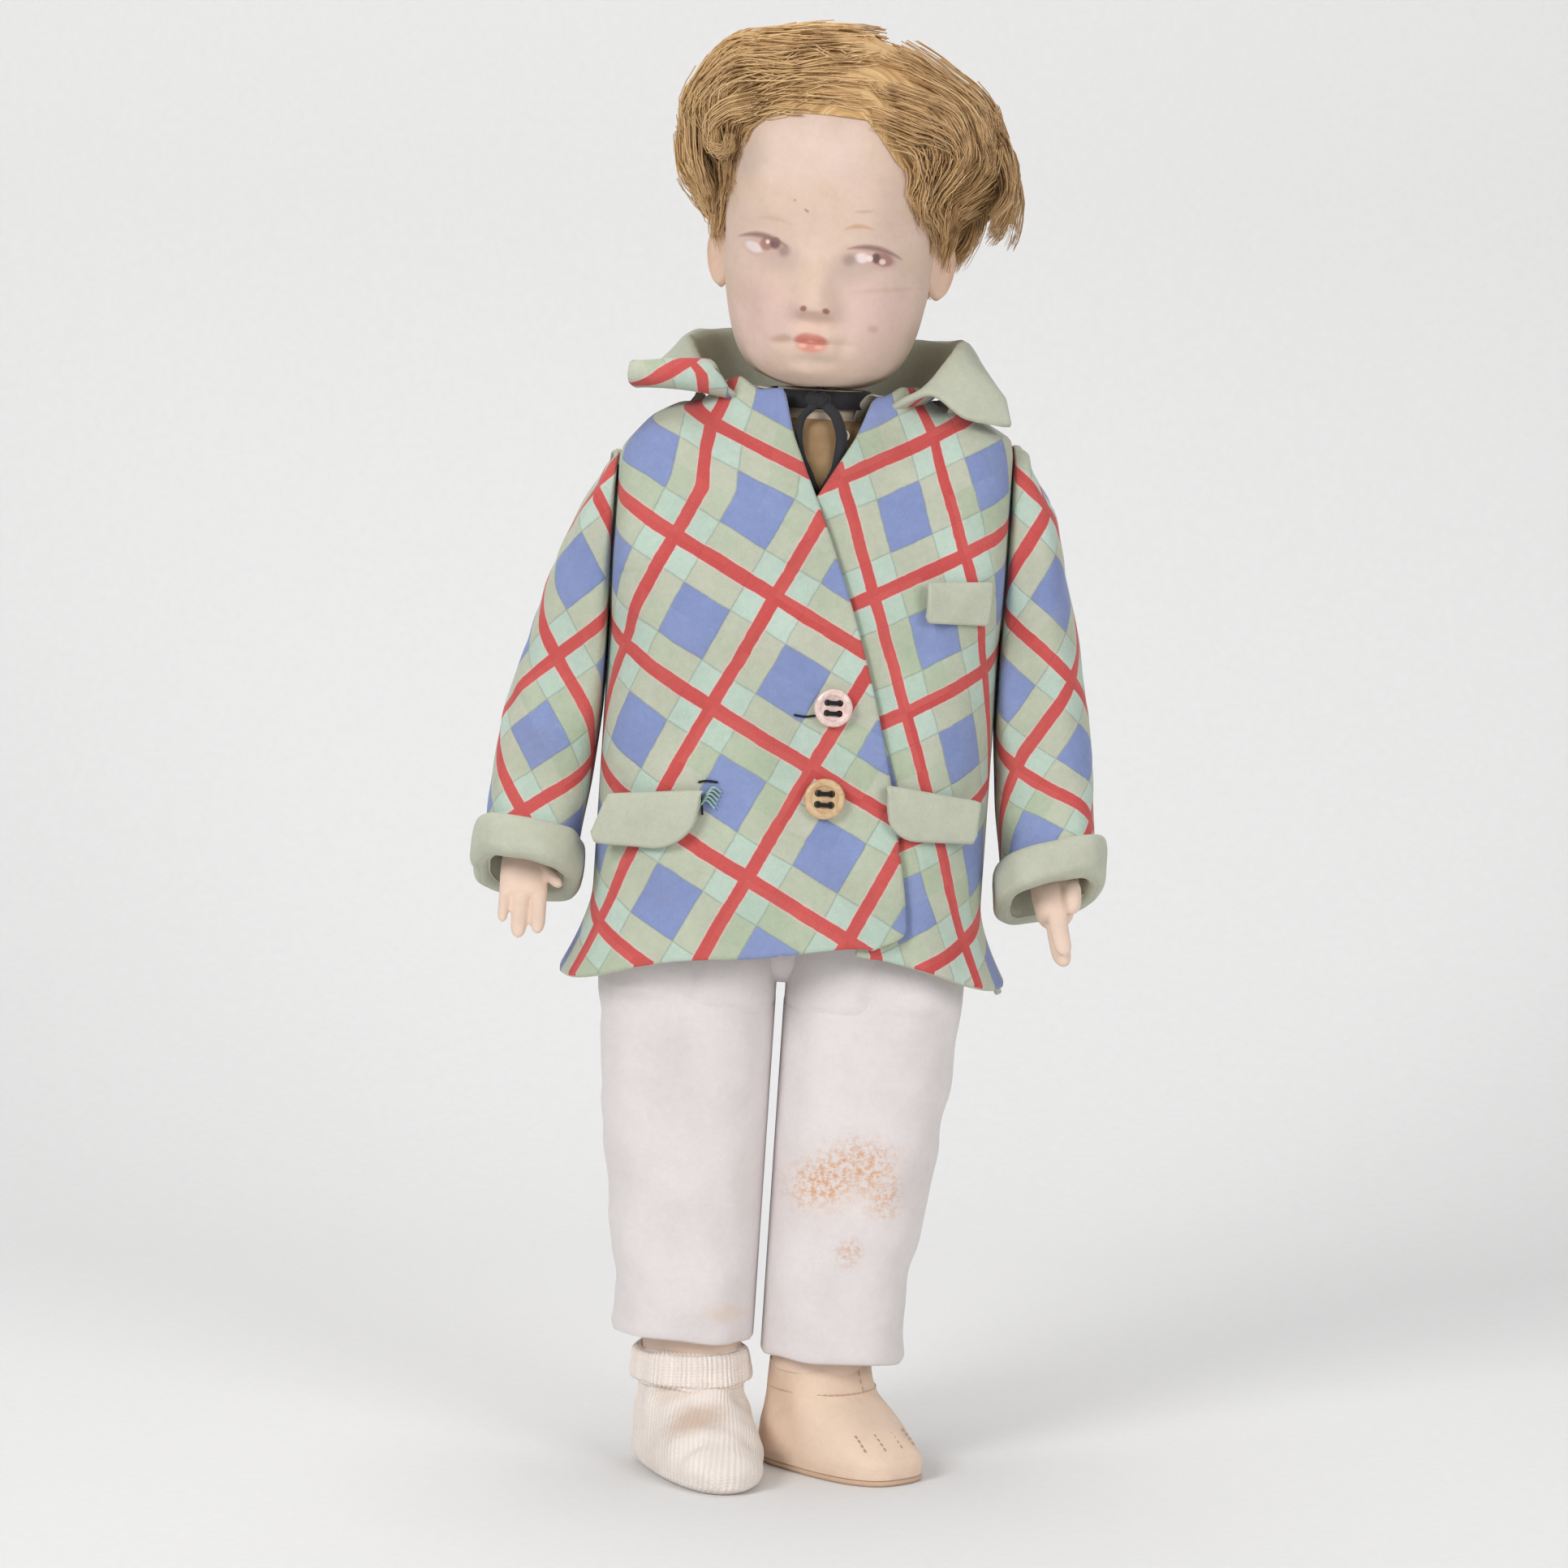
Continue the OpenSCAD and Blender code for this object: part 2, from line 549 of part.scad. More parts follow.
module jacket_skirt_left() {
  color([0.6, 0.64, 0.74]) leaned()
    sheet(left_grid(skirt_levels, 0), left_grid(skirt_levels, cloth), false);
}

// Collar, by the angle from the middle of the back: height and reach of its roll and of its leaf's edge
COLLAR = [[0, 1, 0.66, 0.3, 0.84], [50, 1.02, 0.67, 0.3, 0.87], [75, 0.95, 0.7, 0.34, 0.94],
  [92, 0.82, 0.72, 0.3, 1], [104, 0.6, 0.7, 0.12, 0.97], [120, 0.36, 0.62, 0.04, 0.84],
  [142, 0.2, 0.5, 0.06, 0.62]];
function collar_profile(t) = let (a = arc_gap(t, 90), low = jacket_point(neck_edge_z, t, cloth / 2),
  r = norm([low.x, low.y]), c = [for (k = [1:4]) lookup(a, column(COLLAR, k))], rise = collar_h * c[0],
  edge = collar_h * c[2], roll = collar_point * c[1], leaf = collar_point * c[3])
  [[r, gap], [mixed(r, roll, 0.7), 0.45 * rise], [mixed(r, roll, 0.97), 0.9 * rise], [roll + 1.5, rise],
    [mixed(roll, leaf, 0.3), mixed(rise, edge, 0.12)], [mixed(roll, leaf, 0.7), mixed(rise, edge, 0.55)],
    [leaf, edge]];
function collar_grid(off) = let (cols = [for (i = [0:24]) mixed(-50, 230, i / 24)],
  lines = [for (t = cols) collar_profile(t)]) [for (k = [0:6]) [for (i = [0:24])
    let (l = lines[i], d = l[min(6, k + 1)] - l[max(0, k - 1)], u = d / norm(d),
      p = l[k] + off * [u[1], -u[0]])
    [p[0] * cos(cols[i]), p[0] * sin(cols[i]), neck_edge_z + p[1]]]];

module jacket_collar() {
  color([0.76, 0.77, 0.69]) leaned() sheet(collar_grid(cloth / 2), collar_grid(-cloth / 2), false);
}

// Flat trim that lies on the front: flaps and welt
module rounded_plate(w, h, t, r) {
  rotate([90, 0, 0]) linear_extrude(t) hull() {
    translate([-w / 2, h - 1]) square([w, 1]);
    for (x = [r - w / 2, w / 2 - r]) translate([x, r]) circle(r);
  }
}

// Depth of a plate's middle at which its back just clears the front
function seat_y(x0, w, z0, z1, turn) = min([for (i = [-9:9]) for (z = [z0, (z0 + z1) / 2, z1])
  let (u = i * w / 18) jacket_y(x0 + u, z, 0) - u * tan(turn)]) - gap;
welt_y = seat_y(welt_x, welt_w, welt_z - welt_h / 2, welt_z + welt_h / 2, welt_turn);

// A flap with its top edge at a height, on the doll's left
module flap_plate(top) {
  translate([flap_x, seat_y(flap_x, flap_w, top - flap_h, top, flap_turn), top - flap_h])
    rotate([0, 0, flap_turn]) rounded_plate(flap_w, flap_h, cloth, flap_corner);
}

module pocket_flap_left() {
  color([0.76, 0.77, 0.69]) leaned() flap_plate(flap_z + flap_step);
}

module pocket_flap_right() {
  color([0.76, 0.77, 0.69]) leaned() mirror([1, 0, 0]) flap_plate(flap_z);
}

module breast_welt() {
  color([0.76, 0.77, 0.69]) leaned() translate([welt_x, welt_y, welt_z - welt_h / 2])
    rotate([0, 0, welt_turn]) rounded_plate(welt_w, welt_h, cloth, welt_corner);
}

// Buttons sit on the right front; their holes lie on a square
module at_button(z) {
  leaned() translate([button_x, jacket_y(button_x, z, 0) - gap, z]) rotate([90, 0, 0]) children();
}

function hole_x(d) = 0.13 * d;
dish_z = 0.65 * button_t;

module at_holes(d) {
  for (x = [-1, 1]) for (y = [-1, 1]) translate([x * hole_x(d), y * hole_x(d), 0]) children();
}

module button(d) {
  difference() {
    cylinder(h = button_t, d = d);
    translate([0, 0, dish_z]) cylinder(h = button_t, d = 0.72 * d);
    translate([0, 0, -button_t / 2]) at_holes(d) cylinder(h = 2 * button_t, d = button_hole_d);
  }
}

module button_upper() {
  color([0.86, 0.76, 0.72]) at_button(button_upper_z) button(button_upper_d);
}

module button_lower() {
  color([0.78, 0.66, 0.52]) at_button(button_lower_z) button(button_lower_d);
}

module thread(d) {
  for (x = [-1, 1]) translate([x * hole_x(d), 0, 0]) {
    for (y = [-1, 1]) translate([0, y * hole_x(d), 0])
      cylinder(h = dish_z + thread_d, d = thread_d, $fn = 12);
    translate([0, -hole_x(d), dish_z + thread_d / 2 + gap / 8]) rotate([-90, 0, 0])
      cylinder(h = 2 * hole_x(d), d = thread_d, $fn = 12);
  }
}

module button_threads() {
  color([0.08, 0.08, 0.09]) {
    at_button(button_upper_z) thread(button_upper_d);
    at_button(button_lower_z) thread(button_lower_d);
  }
}

// Trousers: the seat round the hips, and the gusset between the legs
// Shares of the seat's height with its width and its depth
SEAT = [[0, 1, 1], [0.2, 1, 1.03], [0.45, 0.99, 1.04], [0.75, 0.93, 1.06], [1, 0.86, 1.1]];
seat_depth = thigh_d / 2 + cloth + 3 * gap;
function seat_grid(off) = [for (s = SEAT) closed_curve([0, 0, mixed(leg_seam_z + gap, waist_z, s[0])],
  seat_w / 2 * s[1] - off, seat_depth * s[2] - off + cloth, seat_depth * s[2] - off + cloth, 28, 4)];
gusset_top_z = hip_z - 0.11 * trunk - gap;
gusset_low_z = gusset_top_z - 1.4 * cloth;

module trouser_seat() {
  color([0.87, 0.84, 0.84]) leaned() {
    sheet(seat_grid(0), seat_grid(cloth));
    loft([for (s = [[0, 0.5, 0.5], [0.3, 0.95, 0.9], [1, 1, 1]])
      closed_curve([0, 0, mixed(gusset_low_z, gusset_top_z, s[0])], hip_block_w / 2 * s[1],
        torso_d / 3 * s[2], torso_d / 3 * s[2], 16, 3)]);
  }
}

// Head
function head_point(z, t, off) = let (s = clamp((z - chin_z) / head_h), y = sin(t),
  w = head_w / 2 * lookup(s, column(HEAD, 1)), f = face_reach * lookup(s, column(HEAD, 2)),
  b = nape_reach * lookup(s, column(HEAD, 3)),
  n = nose_out * max(0, 1 - arc_gap(t, 270) / 16) * max(0, 1 - abs(s - 0.26) / 0.12))
  [(w + off) * spow(cos(t), 2 / 2.2), -neck_forward + ((y < 0 ? f : b) + off) * spow(y, 2 / 2.2)
    - (off < 0 ? 0 : n), z];
function head_rings(off, n) = [for (k = [0:len(HEAD) - 1]) let (z = chin_z + HEAD[k][0] * head_h,
  s = k == 0 ? -off : k == len(HEAD) - 1 ? off : 0) [for (i = [0:n - 1])
    let (p = head_point(z, 360 * i / n, off)) [p.x, p.y, p.z + s]]];

module head_shell() {
  color([0.87, 0.74, 0.66]) leaned() difference() {
    loft(head_rings(0, 26));
    loft(head_rings(-skin, SKIN_POINTS));
    upright(chin_z - skin, pin_d + 2 * gap, 4 * skin);
  }
}

module head_disc() {
  color([0.55, 0.42, 0.3]) leaned() difference() {
    upright(head_disc_z, disc_d, disc_t);
    upright(head_disc_z - 1, pin_d + 2 * pin_clear, disc_t + 2);
  }
}

ear_z = chin_z + 0.375 * head_h;
ear_rim = gap + 0.1;
function ear_grid(side, bulge) = [for (k = [0:6]) let (u = k / 3 - 1, z = ear_z + u * ear_h / 2,
  a = 3 + 11 * sqrt(max(0, 1 - u * u))) [for (i = [0:4]) let (v = i / 2 - 1, c = side > 0 ? 6 : 174,
    out = ear_rim + (ear_out - ear_rim) * sqrt(max(0, 1 - 0.95 * u * u)) * (1 - 0.5 * v * v))
    head_point(z, c + v * a, gap + (bulge ? out : 0))]];

module ear_right() {
  color([0.87, 0.72, 0.64]) leaned() sheet(ear_grid(-1, true), ear_grid(-1, false), false);
}

module ear_left() {
  color([0.87, 0.72, 0.64]) leaned() sheet(ear_grid(1, true), ear_grid(1, false), false);
}

// Hairline: share of the head's height by the angle from the front
HAIRLINE = [[0, 0.81], [28, 0.8], [48, 0.75], [62, 0.62], [72, 0.42], [79, 0.4], [84, 0.52], [100, 0.52],
  [112, 0.4], [125, 0.27], [150, 0.23], [180, 0.22]];
WIG_COLUMNS = 36;
function hairline(t) = lookup(arc_gap(t, 270), HAIRLINE);
function tuft(t, h) = exp(-pow(arc_gap(t, 350) / 30, 2)) * exp(-pow((h - 0.56) / 0.17, 2));
function wig_off(t, s, h) = 2 * gap + tuft_out * tuft(t, h) * clamp(4 * s)
  + hair_side * (0.2 + 0.8 * sqrt(sin(180 * clamp(0.12 + 0.7 * s)))) * (arc_gap(t, 270) < 60 ? 0.6 : 1);
// The cap under the hair clears the crown, where the head curves most between two rows
function cap_off(s) = gap * (2 + 4 * s * s);
function wig_grid(out) = [for (k = [0:8]) let (s = k / 8) [for (i = [0:WIG_COLUMNS - 1])
  let (t = 360 * i / WIG_COLUMNS, h = mixed(hairline(t), 0.985, pow(s, 0.85)),
    p = head_point(chin_z + h * head_h, t, out ? wig_off(t, s, h) : cap_off(s)))
  [p.x, p.y, p.z + (out ? 2 * gap + hair_top * s * s : 5 * gap * s * s)]]];

module wig() {
  color([0.66, 0.52, 0.3]) leaned() sheet(wig_grid(true), wig_grid(false), true, true);
}

// Arms, built for the left side: drop below the shoulder pin, inner and outer edge, half depth, squareness
ARM = [[-0.5, 0.09, 0, 0.28, 2.4], [-0.4, 0, 0.18, 0.62, 3], [-0.2, 0, 0.32, 0.9, 4], [0, 0, 0.41, 1, 4],
  [0.23, 0, 0.48, 0.9, 4], [0.4, 0, 0.52, 0.55, 3]];
// Below the shoulder: share of the arm's length, inner edge, width, half depth and forward reach
FOREARM = [[0.15, 0, 0.684, 0.553, 0], [0.366, 0, 0.95, 0.658, 0], [0.624, 0.333, 1, 0.579, 0.214],
  [0.839, 0.778, 0.93, 0.5, 0.571], [1, 1, 0, 0, 1]];
arm_x = armhole_x + cloth + gap;
function drop(k, side) = shoulder_z - k * (1 + (side > 0 ? left_arm_drop : 0) / arm_len * clamp(k / arm_len));
function forearm_ring(r, side, off, n) = let (x = arm_x + r[1] * wrist_in,
  w = r[0] < 1 ? arm_w * r[2] : wrist_w, d = r[0] < 1 ? arm_w * r[3] : wrist_w / 2,
  z = drop(r[0] * arm_len - (r[0] < 1 ? 0 : off), side))
  oval(x + off, x + w - off, d - off, -r[4] * wrist_forward, z, n);
function reversed(rings) = [for (k = [len(rings) - 1:-1:0]) rings[k]];
function arm_rings(side, off, n) = reversed(concat(
  [for (r = ARM) let (z = shoulder_z - r[0] * shoulder_d - (r[0] < -0.45 ? off : 0))
    oval(joint_x + r[1] * shoulder_d + off, armhole_x + r[2] * shoulder_d - off,
      r[3] * shoulder_d / 2 - off, 0, z, n, r[4])],
  [for (r = FOREARM) forearm_ring(r, side, off, n)]));

module arm_cover(side) {
  difference() {
    loft(arm_rings(side, 0, SKIN_POINTS));
    loft(arm_rings(side, skin, CORE_POINTS));
    across(joint_x - 1, shoulder_z, pin_d + 2 * gap, skin + 3);
  }
}

module arm_stuffing(side) {
  difference() {
    loft(arm_rings(side, skin + gap, CORE_POINTS));
    across(joint_x, shoulder_z, disc_d + 2 * gap, skin + 4 * gap + disc_t + pin_head_t + gap);
  }
}

module limb_disc(x, z) {
  difference() {
    across(x, z, disc_d, disc_t);
    across(x - 1, z, pin_d + 2 * pin_clear, disc_t + 2);
  }
}

// Hand: frame at the wrist, fingers along minus z, thumb towards the body
module at_wrist(side) {
  translate([arm_x + wrist_in + wrist_w / 2, -wrist_forward, drop(arm_len, side) - gap])
    rotate([-hand_tilt, 0, 0]) rotate([0, 0, side > 0 ? left_hand_turn : 0]) children();
}

// Place, width and depth of the fingers as shares of the palm's width, and their length
FINGERS = [[-0.35, 0.28, 0.34, 0.85], [0.02, 0.4, 0.36, 1], [0.37, 0.22, 0.3, 0.7]];
function finger(x, w, d, z0, z1) = [for (s = [[0, 0.5], [0.06, 0.8], [0.2, 1], [0.8, 1.04], [1, 0.9]])
  closed_curve([x, 0, mixed(z1, z0, s[0])], w / 2 * s[1], d / 2 * s[1], d / 2 * s[1], 10, 2)];

module hand(side) {
  at_wrist(side) {
    loft([for (s = [[1, 0.94, 0.36], [0.55, 1.04, 0.34], [0.2, 1, 0.38], [0, 0.84, 0.42]])
      closed_curve([0, 0, -s[0] * palm_len - hand_root], palm_w / 2 * s[1], palm_w * s[2], palm_w * s[2],
        14, 2.4)]);
    for (f = FINGERS) loft(finger(f[0] * palm_w, f[1] * palm_w, f[2] * palm_w, -palm_len - hand_root - gap,
      -palm_len - hand_root - f[3] * finger_len));
  }
}

// Length of the thumb by share, its width, and its lean away from the palm
THUMB = [[1, 0.45, 1.25], [0.9, 0.85, 1.2], [0.6, 1, 1.02], [0.32, 0.85, 0.62], [0.22, 0.5, 0.5]];

module thumb(side) {
  at_wrist(side) loft([for (s = THUMB) let (r = thumb_d / 2 * s[1])
    closed_curve([-0.54 * palm_w - thumb_d / 2 * s[2], 0, -hand_root - s[0] * 0.85 * palm_len],
      r, r, r, 10, 2)]);
}

// Sleeves: drop as a share of the arm's length, inner edge and outer edge, half depth, forward, tilt
SLEEVE = [[1.075, 0.56, 1, 0.585, 1.107, 1], [0.925, 0.38, 0.99, 0.585, 0.679, 0.76],
  [0.753, 0.13, 0.95, 0.6, 0.286, 0.44], [0.559, 0.02, 0.9, 0.63, 0.071, 0.16], [0.387, 0, 0.83, 0.65, 0, 0],
  [0.194, 0, 0.7, 0.66, 0, 0], [0.043, 0, 0.57, 0.64, 0, 0]];
// Above the shoulder pin the drop is a share of the shoulder's diameter
SLEEVE_HEAD = [[-0.2, 0, 0.45, 0.57, 0, 0], [-0.433, 0, 0.31, 0.43, 0, 0], [-0.553, 0, 0.17, 0.24, 0, 0]];
sleeve_end = 1.086;
function sleeve_z(k, side) = drop(k < 0 ? k * shoulder_d : k * arm_len, side);
function sleeve_ring(r, side, off, n) = let (z = sleeve_z(r[0], side) + (r[0] < -0.5 ? -off : 0),
  y = -r[4] * wrist_forward) tilted(oval(armhole_x + r[1] * wrist_in + off,
    armhole_x + r[2] * (sleeve_w + sleeve_ease) - off, r[3] * sleeve_w - off, y, z, n, 2.8),
    [0, y, z], -r[5] * hand_tilt);
function sleeve_rings(side, off) = [for (r = concat(SLEEVE, SLEEVE_HEAD)) sleeve_ring(r, side, off, 20)];
function sleeve_row(k) = concat([k], [for (c = [1:5]) lookup(k, column(reversed(SLEEVE), c))]);

module sleeve(side) {
  difference() {
    sheet(sleeve_rings(side, 0), sleeve_rings(side, cloth), true, true);
    across(joint_x, shoulder_z, armhole_d - gap, armhole_x - joint_x + 2 * cloth + 3 * gap);
  }
}

module cuff(side) {
  levels = [for (s = [0, 0.5, 1]) sleeve_row(sleeve_end - s * cuff_h / arm_len)];
  sheet([for (r = levels) sleeve_ring(r, side, -gap - cloth, 20)],
    [for (r = levels) sleeve_ring(r, side, -gap, 20)]);
}

module right_arm_cover() {
  color([0.87, 0.74, 0.64]) leaned() mirror([1, 0, 0]) arm_cover(-1);
}

module right_arm_stuffing() {
  color([0.9, 0.87, 0.8]) leaned() mirror([1, 0, 0]) arm_stuffing(-1);
}

module right_arm_disc() {
  color([0.55, 0.42, 0.3]) leaned() mirror([1, 0, 0]) limb_disc(arm_disc_x, shoulder_z);
}

module right_hand() {
  color([0.88, 0.76, 0.67]) leaned() mirror([1, 0, 0]) hand(-1);
}

module right_thumb() {
  color([0.88, 0.76, 0.67]) leaned() mirror([1, 0, 0]) thumb(-1);
}

module right_sleeve() {
  color([0.6, 0.64, 0.74]) leaned() mirror([1, 0, 0]) sleeve(-1);
}

module right_cuff() {
  color([0.76, 0.77, 0.69]) leaned() mirror([1, 0, 0]) cuff(-1);
}

module left_arm_cover() {
  color([0.87, 0.74, 0.64]) leaned() arm_cover(1);
}

module left_arm_stuffing() {
  color([0.9, 0.87, 0.8]) leaned() arm_stuffing(1);
}

module left_arm_disc() {
  color([0.55, 0.42, 0.3]) leaned() limb_disc(arm_disc_x, shoulder_z);
}

module left_hand() {
  color([0.88, 0.76, 0.67]) leaned() hand(1);
}

module left_thumb() {
  color([0.88, 0.76, 0.67]) leaned() thumb(1);
}

module left_sleeve() {
  color([0.6, 0.64, 0.74]) leaned() sleeve(1);
}

module left_cuff() {
  color([0.76, 0.77, 0.69]) leaned() cuff(1);
}

// Legs, built for the left side: height share from the ankle seam to the hip pin, width and depth as shares
LEG = [[0, 0, 1, 0.7], [0.12, 0, 1.06, 0.77], [0.27, 0.1, 1.16, 0.84], [0.45, 0.2, 1.18, 0.88],
  [0.6, 0.3, 1.2, 0.95], [0.72, 0.74, 1.01, 0.98], [0.84, 1, 1, 1], [0.98, 1, 1, 1], [1.06, 1, 1, 0.93],
  [1.115, 1, 0.867, 0.76], [1.15, 1, 0.584, 0.46], [1.163, 1, 0.23, 0.2]];
thigh_x = leg_face_x + thigh_w / 2;
function leg_ring(r, off, n) = let (thigh = r[0] > 0.7, w = (thigh ? thigh_w : ankle_w) * r[2],
  z = mixed(ankle_z + gap, hip_z, r[0]) + (r[0] == 0 ? off : r[0] > 1.16 ? -off : 0),
  c = mixed(ankle_x, thigh_x, r[1]))
  oval(c - w / 2 + off, c + w / 2 - off, thigh_d / 2 * r[3] - off, 0, z, n, thigh ? 3 : 2.3);
function leg_rings(off, n) = [for (r = LEG) leg_ring(r, off, n)];

module leg_cover() {
  difference() {
    loft(leg_rings(0, SKIN_POINTS));
    loft(leg_rings(skin, CORE_POINTS));
    across(leg_face_x - 1, hip_z, pin_d + 2 * gap, 2 * skin + 1);
  }
}

module leg_stuffing() {
  difference() {
    loft(leg_rings(skin + gap, CORE_POINTS));
    across(leg_face_x, hip_z, disc_d + 2 * gap, skin + 5 * gap + disc_t + pin_head_t);
  }
}

// Feet stand level on the floor; the top ring leans with the leg
FOOT = [[0, 0.9, 0.93, 0.9], [0.2, 1, 1, 1], [0.42, 0.99, 0.98, 1], [0.62, 0.94, 0.82, 0.97],
  [0.8, 0.88, 0.6, 0.94]];
function foot_at(side) = let (p = standing([side * ankle_x, 0, ankle_z])) [p.x, p.y, 0];
function foot_ring(side, r, z, off, n) = turned(closed_curve([0, 0, z], foot_w / 2 * r[1] + off,
  toe_reach * r[2] + off, heel_reach * r[3] + off, n, 2.2), foot_at(side),
  side > 0 ? left_foot_turn : right_foot_turn);
function ankle_ring(side, z, off, n) = let (c = side * ankle_x, w = ankle_w / 2 + off)
  [for (p = oval(c - w, c + w, thigh_d * 0.35 + off, 0, z, n)) standing(p)];
function foot_level(r, z0) = max(z0, r[0] * (ankle_z - 2));
function foot_rings(side, z0, off, n) = concat([for (r = FOOT) foot_ring(side, r, foot_level(r, z0), off, n)],
  [ankle_ring(side, ankle_z, off, n)]);
sole_bevel = 0.3 * sole_t;
function sole_z(side) = side > 0 ? 0 : knit + gap;
function foot_off(side) = side > 0 ? 0 : -knit - gap;

module foot(side) {
  loft(foot_rings(side, sole_z(side) + sole_t + gap / 2, foot_off(side), 20));
}

module sole(side) {
  loft([for (z = [0, 0.5, 1]) foot_ring(side, FOOT[0], sole_z(side) + z * sole_t,
    foot_off(side) + sole_bevel * (z - 1), 20)]);
}

module right_leg_cover() {
  color([0.87, 0.74, 0.64]) leaned() mirror([1, 0, 0]) leg_cover();
}

module right_leg_stuffing() {
  color([0.9, 0.87, 0.8]) leaned() mirror([1, 0, 0]) leg_stuffing();
}

module right_leg_disc() {
  color([0.55, 0.42, 0.3]) leaned() mirror([1, 0, 0]) limb_disc(leg_disc_x, hip_z);
}

module right_foot() {
  color([0.89, 0.77, 0.66]) foot(-1);
}

module right_sole() {
  color([0.8, 0.66, 0.54]) sole(-1);
}

// Sock: follows the foot and ends in a folded cuff
function sock_rings(off, base, fold) = let (a = off + knit + 2 * gap) concat(
  [for (r = FOOT) foot_ring(-1, r, foot_level(r, base), off, 20)],
  [ankle_ring(-1, sock_z - sock_fold + gap, a, 20), ankle_ring(-1, sock_z - sock_fold + 1, a + fold, 20),
    ankle_ring(-1, sock_z, a + fold, 20)]);

module right_sock() {
  color([0.92, 0.88, 0.81]) sheet(sock_rings(0, 0, knit), sock_rings(-knit, knit, 0), true, false, true);
}

module left_leg_cover() {
  color([0.87, 0.74, 0.64]) leaned() leg_cover();
}

module left_leg_stuffing() {
  color([0.9, 0.87, 0.8]) leaned() leg_stuffing();
}

module left_leg_disc() {
  color([0.55, 0.42, 0.3]) leaned() limb_disc(leg_disc_x, hip_z);
}

module left_foot() {
  color([0.89, 0.77, 0.66]) foot(1);
}

module left_sole() {
  color([0.8, 0.66, 0.54]) sole(1);
}

// Trouser legs: height share from the hem to the leg seam, inner edge share, outer edge share, depth share
TROUSER = [[0, 0, 0, 0.82], [0.12, 0, 0.04, 0.82], [0.35, 0, 0.36, 0.86], [0.6, 0, 0.72, 0.93],
  [0.8, 0, 0.9, 0.99], [0.915, 0, 0.98, 1], [0.945, 1, 0.99, 1.01], [1, 1, 1, 1.01]];
function trouser_grid(hem, off) = [for (r = TROUSER) let (x0 = mixed(inseam_x, leg_x - cloth - gap / 2, r[1]),
  x1 = mixed(trouser_end_w + inseam_x, seat_w / 2, r[2]))
  oval(x0 + off, x1 - off, seat_depth * r[3] - off + cloth, 0, mixed(hem, leg_seam_z, r[0]), 22, 2.6)];

module trouser_leg(hem) {
  sheet(trouser_grid(hem, 0), trouser_grid(hem, cloth));
}

module right_trouser_leg() {
  color([0.87, 0.84, 0.84]) leaned() mirror([1, 0, 0]) trouser_leg(right_hem_z);
}

module left_trouser_leg() {
  color([0.87, 0.84, 0.84]) leaned() trouser_leg(left_hem_z);
}

torso_cover();
torso_stuffing();
torso_discs();
joint_pins();
shirt_front();
shirt_collar();
shirt_button();
ribbon_band();
ribbon_knot();
ribbon_loop();
jacket_back_panel();
jacket_front_right();
jacket_front_left();
jacket_skirt_right();
jacket_skirt_left();
jacket_collar();
breast_welt();
button_upper();
button_lower();
button_threads();
trouser_seat();
pocket_flap_right();
pocket_flap_left();
head_shell();
ear_right();
ear_left();
wig();
head_disc();
right_arm_cover();
right_arm_stuffing();
right_arm_disc();
right_hand();
right_thumb();
right_sleeve();
right_cuff();
left_arm_cover();
left_arm_stuffing();
left_arm_disc();
left_hand();
left_thumb();
left_sleeve();
left_cuff();
right_leg_cover();
right_leg_stuffing();
right_leg_disc();
right_foot();
right_sole();
right_sock();
right_trouser_leg();
left_leg_cover();
left_leg_stuffing();
left_leg_disc();
left_foot();
left_sole();
left_trouser_leg();
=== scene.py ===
"""The felt doll as it looks: its stuffed, painted and sewn pieces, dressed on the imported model."""
import math
import bpy
import numpy as np
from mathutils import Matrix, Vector


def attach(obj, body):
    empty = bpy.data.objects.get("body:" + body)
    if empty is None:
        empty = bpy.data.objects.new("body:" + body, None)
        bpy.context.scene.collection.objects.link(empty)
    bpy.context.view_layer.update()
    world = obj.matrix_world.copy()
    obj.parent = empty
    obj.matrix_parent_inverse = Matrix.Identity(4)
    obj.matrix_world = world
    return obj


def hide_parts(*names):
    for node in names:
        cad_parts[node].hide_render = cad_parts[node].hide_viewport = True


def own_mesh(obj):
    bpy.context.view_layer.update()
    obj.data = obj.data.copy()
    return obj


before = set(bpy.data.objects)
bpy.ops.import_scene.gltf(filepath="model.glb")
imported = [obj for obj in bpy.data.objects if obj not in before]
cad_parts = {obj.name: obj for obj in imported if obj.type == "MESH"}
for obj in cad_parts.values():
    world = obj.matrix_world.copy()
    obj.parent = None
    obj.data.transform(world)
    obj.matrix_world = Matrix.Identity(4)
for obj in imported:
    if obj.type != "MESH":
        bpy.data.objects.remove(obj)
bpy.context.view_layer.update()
scene = bpy.context.scene
MM = 0.001
RIGHT, LEFT = -1, 1
SIDES = (RIGHT, LEFT)
SIDE_NAME = {RIGHT: "right", LEFT: "left"}

# Sizes in millimetres, in the doll's own upright frame: it faces -y and its left is +x.
LEAN = math.radians(3.8)
STAND_X = -190 * math.sin(LEAN)
STAND_Y = -4.0
CLOTH = 2.2
GAP = 0.4
NECK_Y = -2.0


def stand(p):
    """The doll's upright frame, leant and set down on its feet."""
    p = np.asarray(p, float)
    x, y, z = p[..., 0], p[..., 1], p[..., 2]
    c, s = math.cos(LEAN), math.sin(LEAN)
    return np.stack([STAND_X + x * c + z * s, STAND_Y + y, z * c - x * s], -1)


def on_table(p):
    """A piece that is drawn where it stands."""
    return np.asarray(p, float)


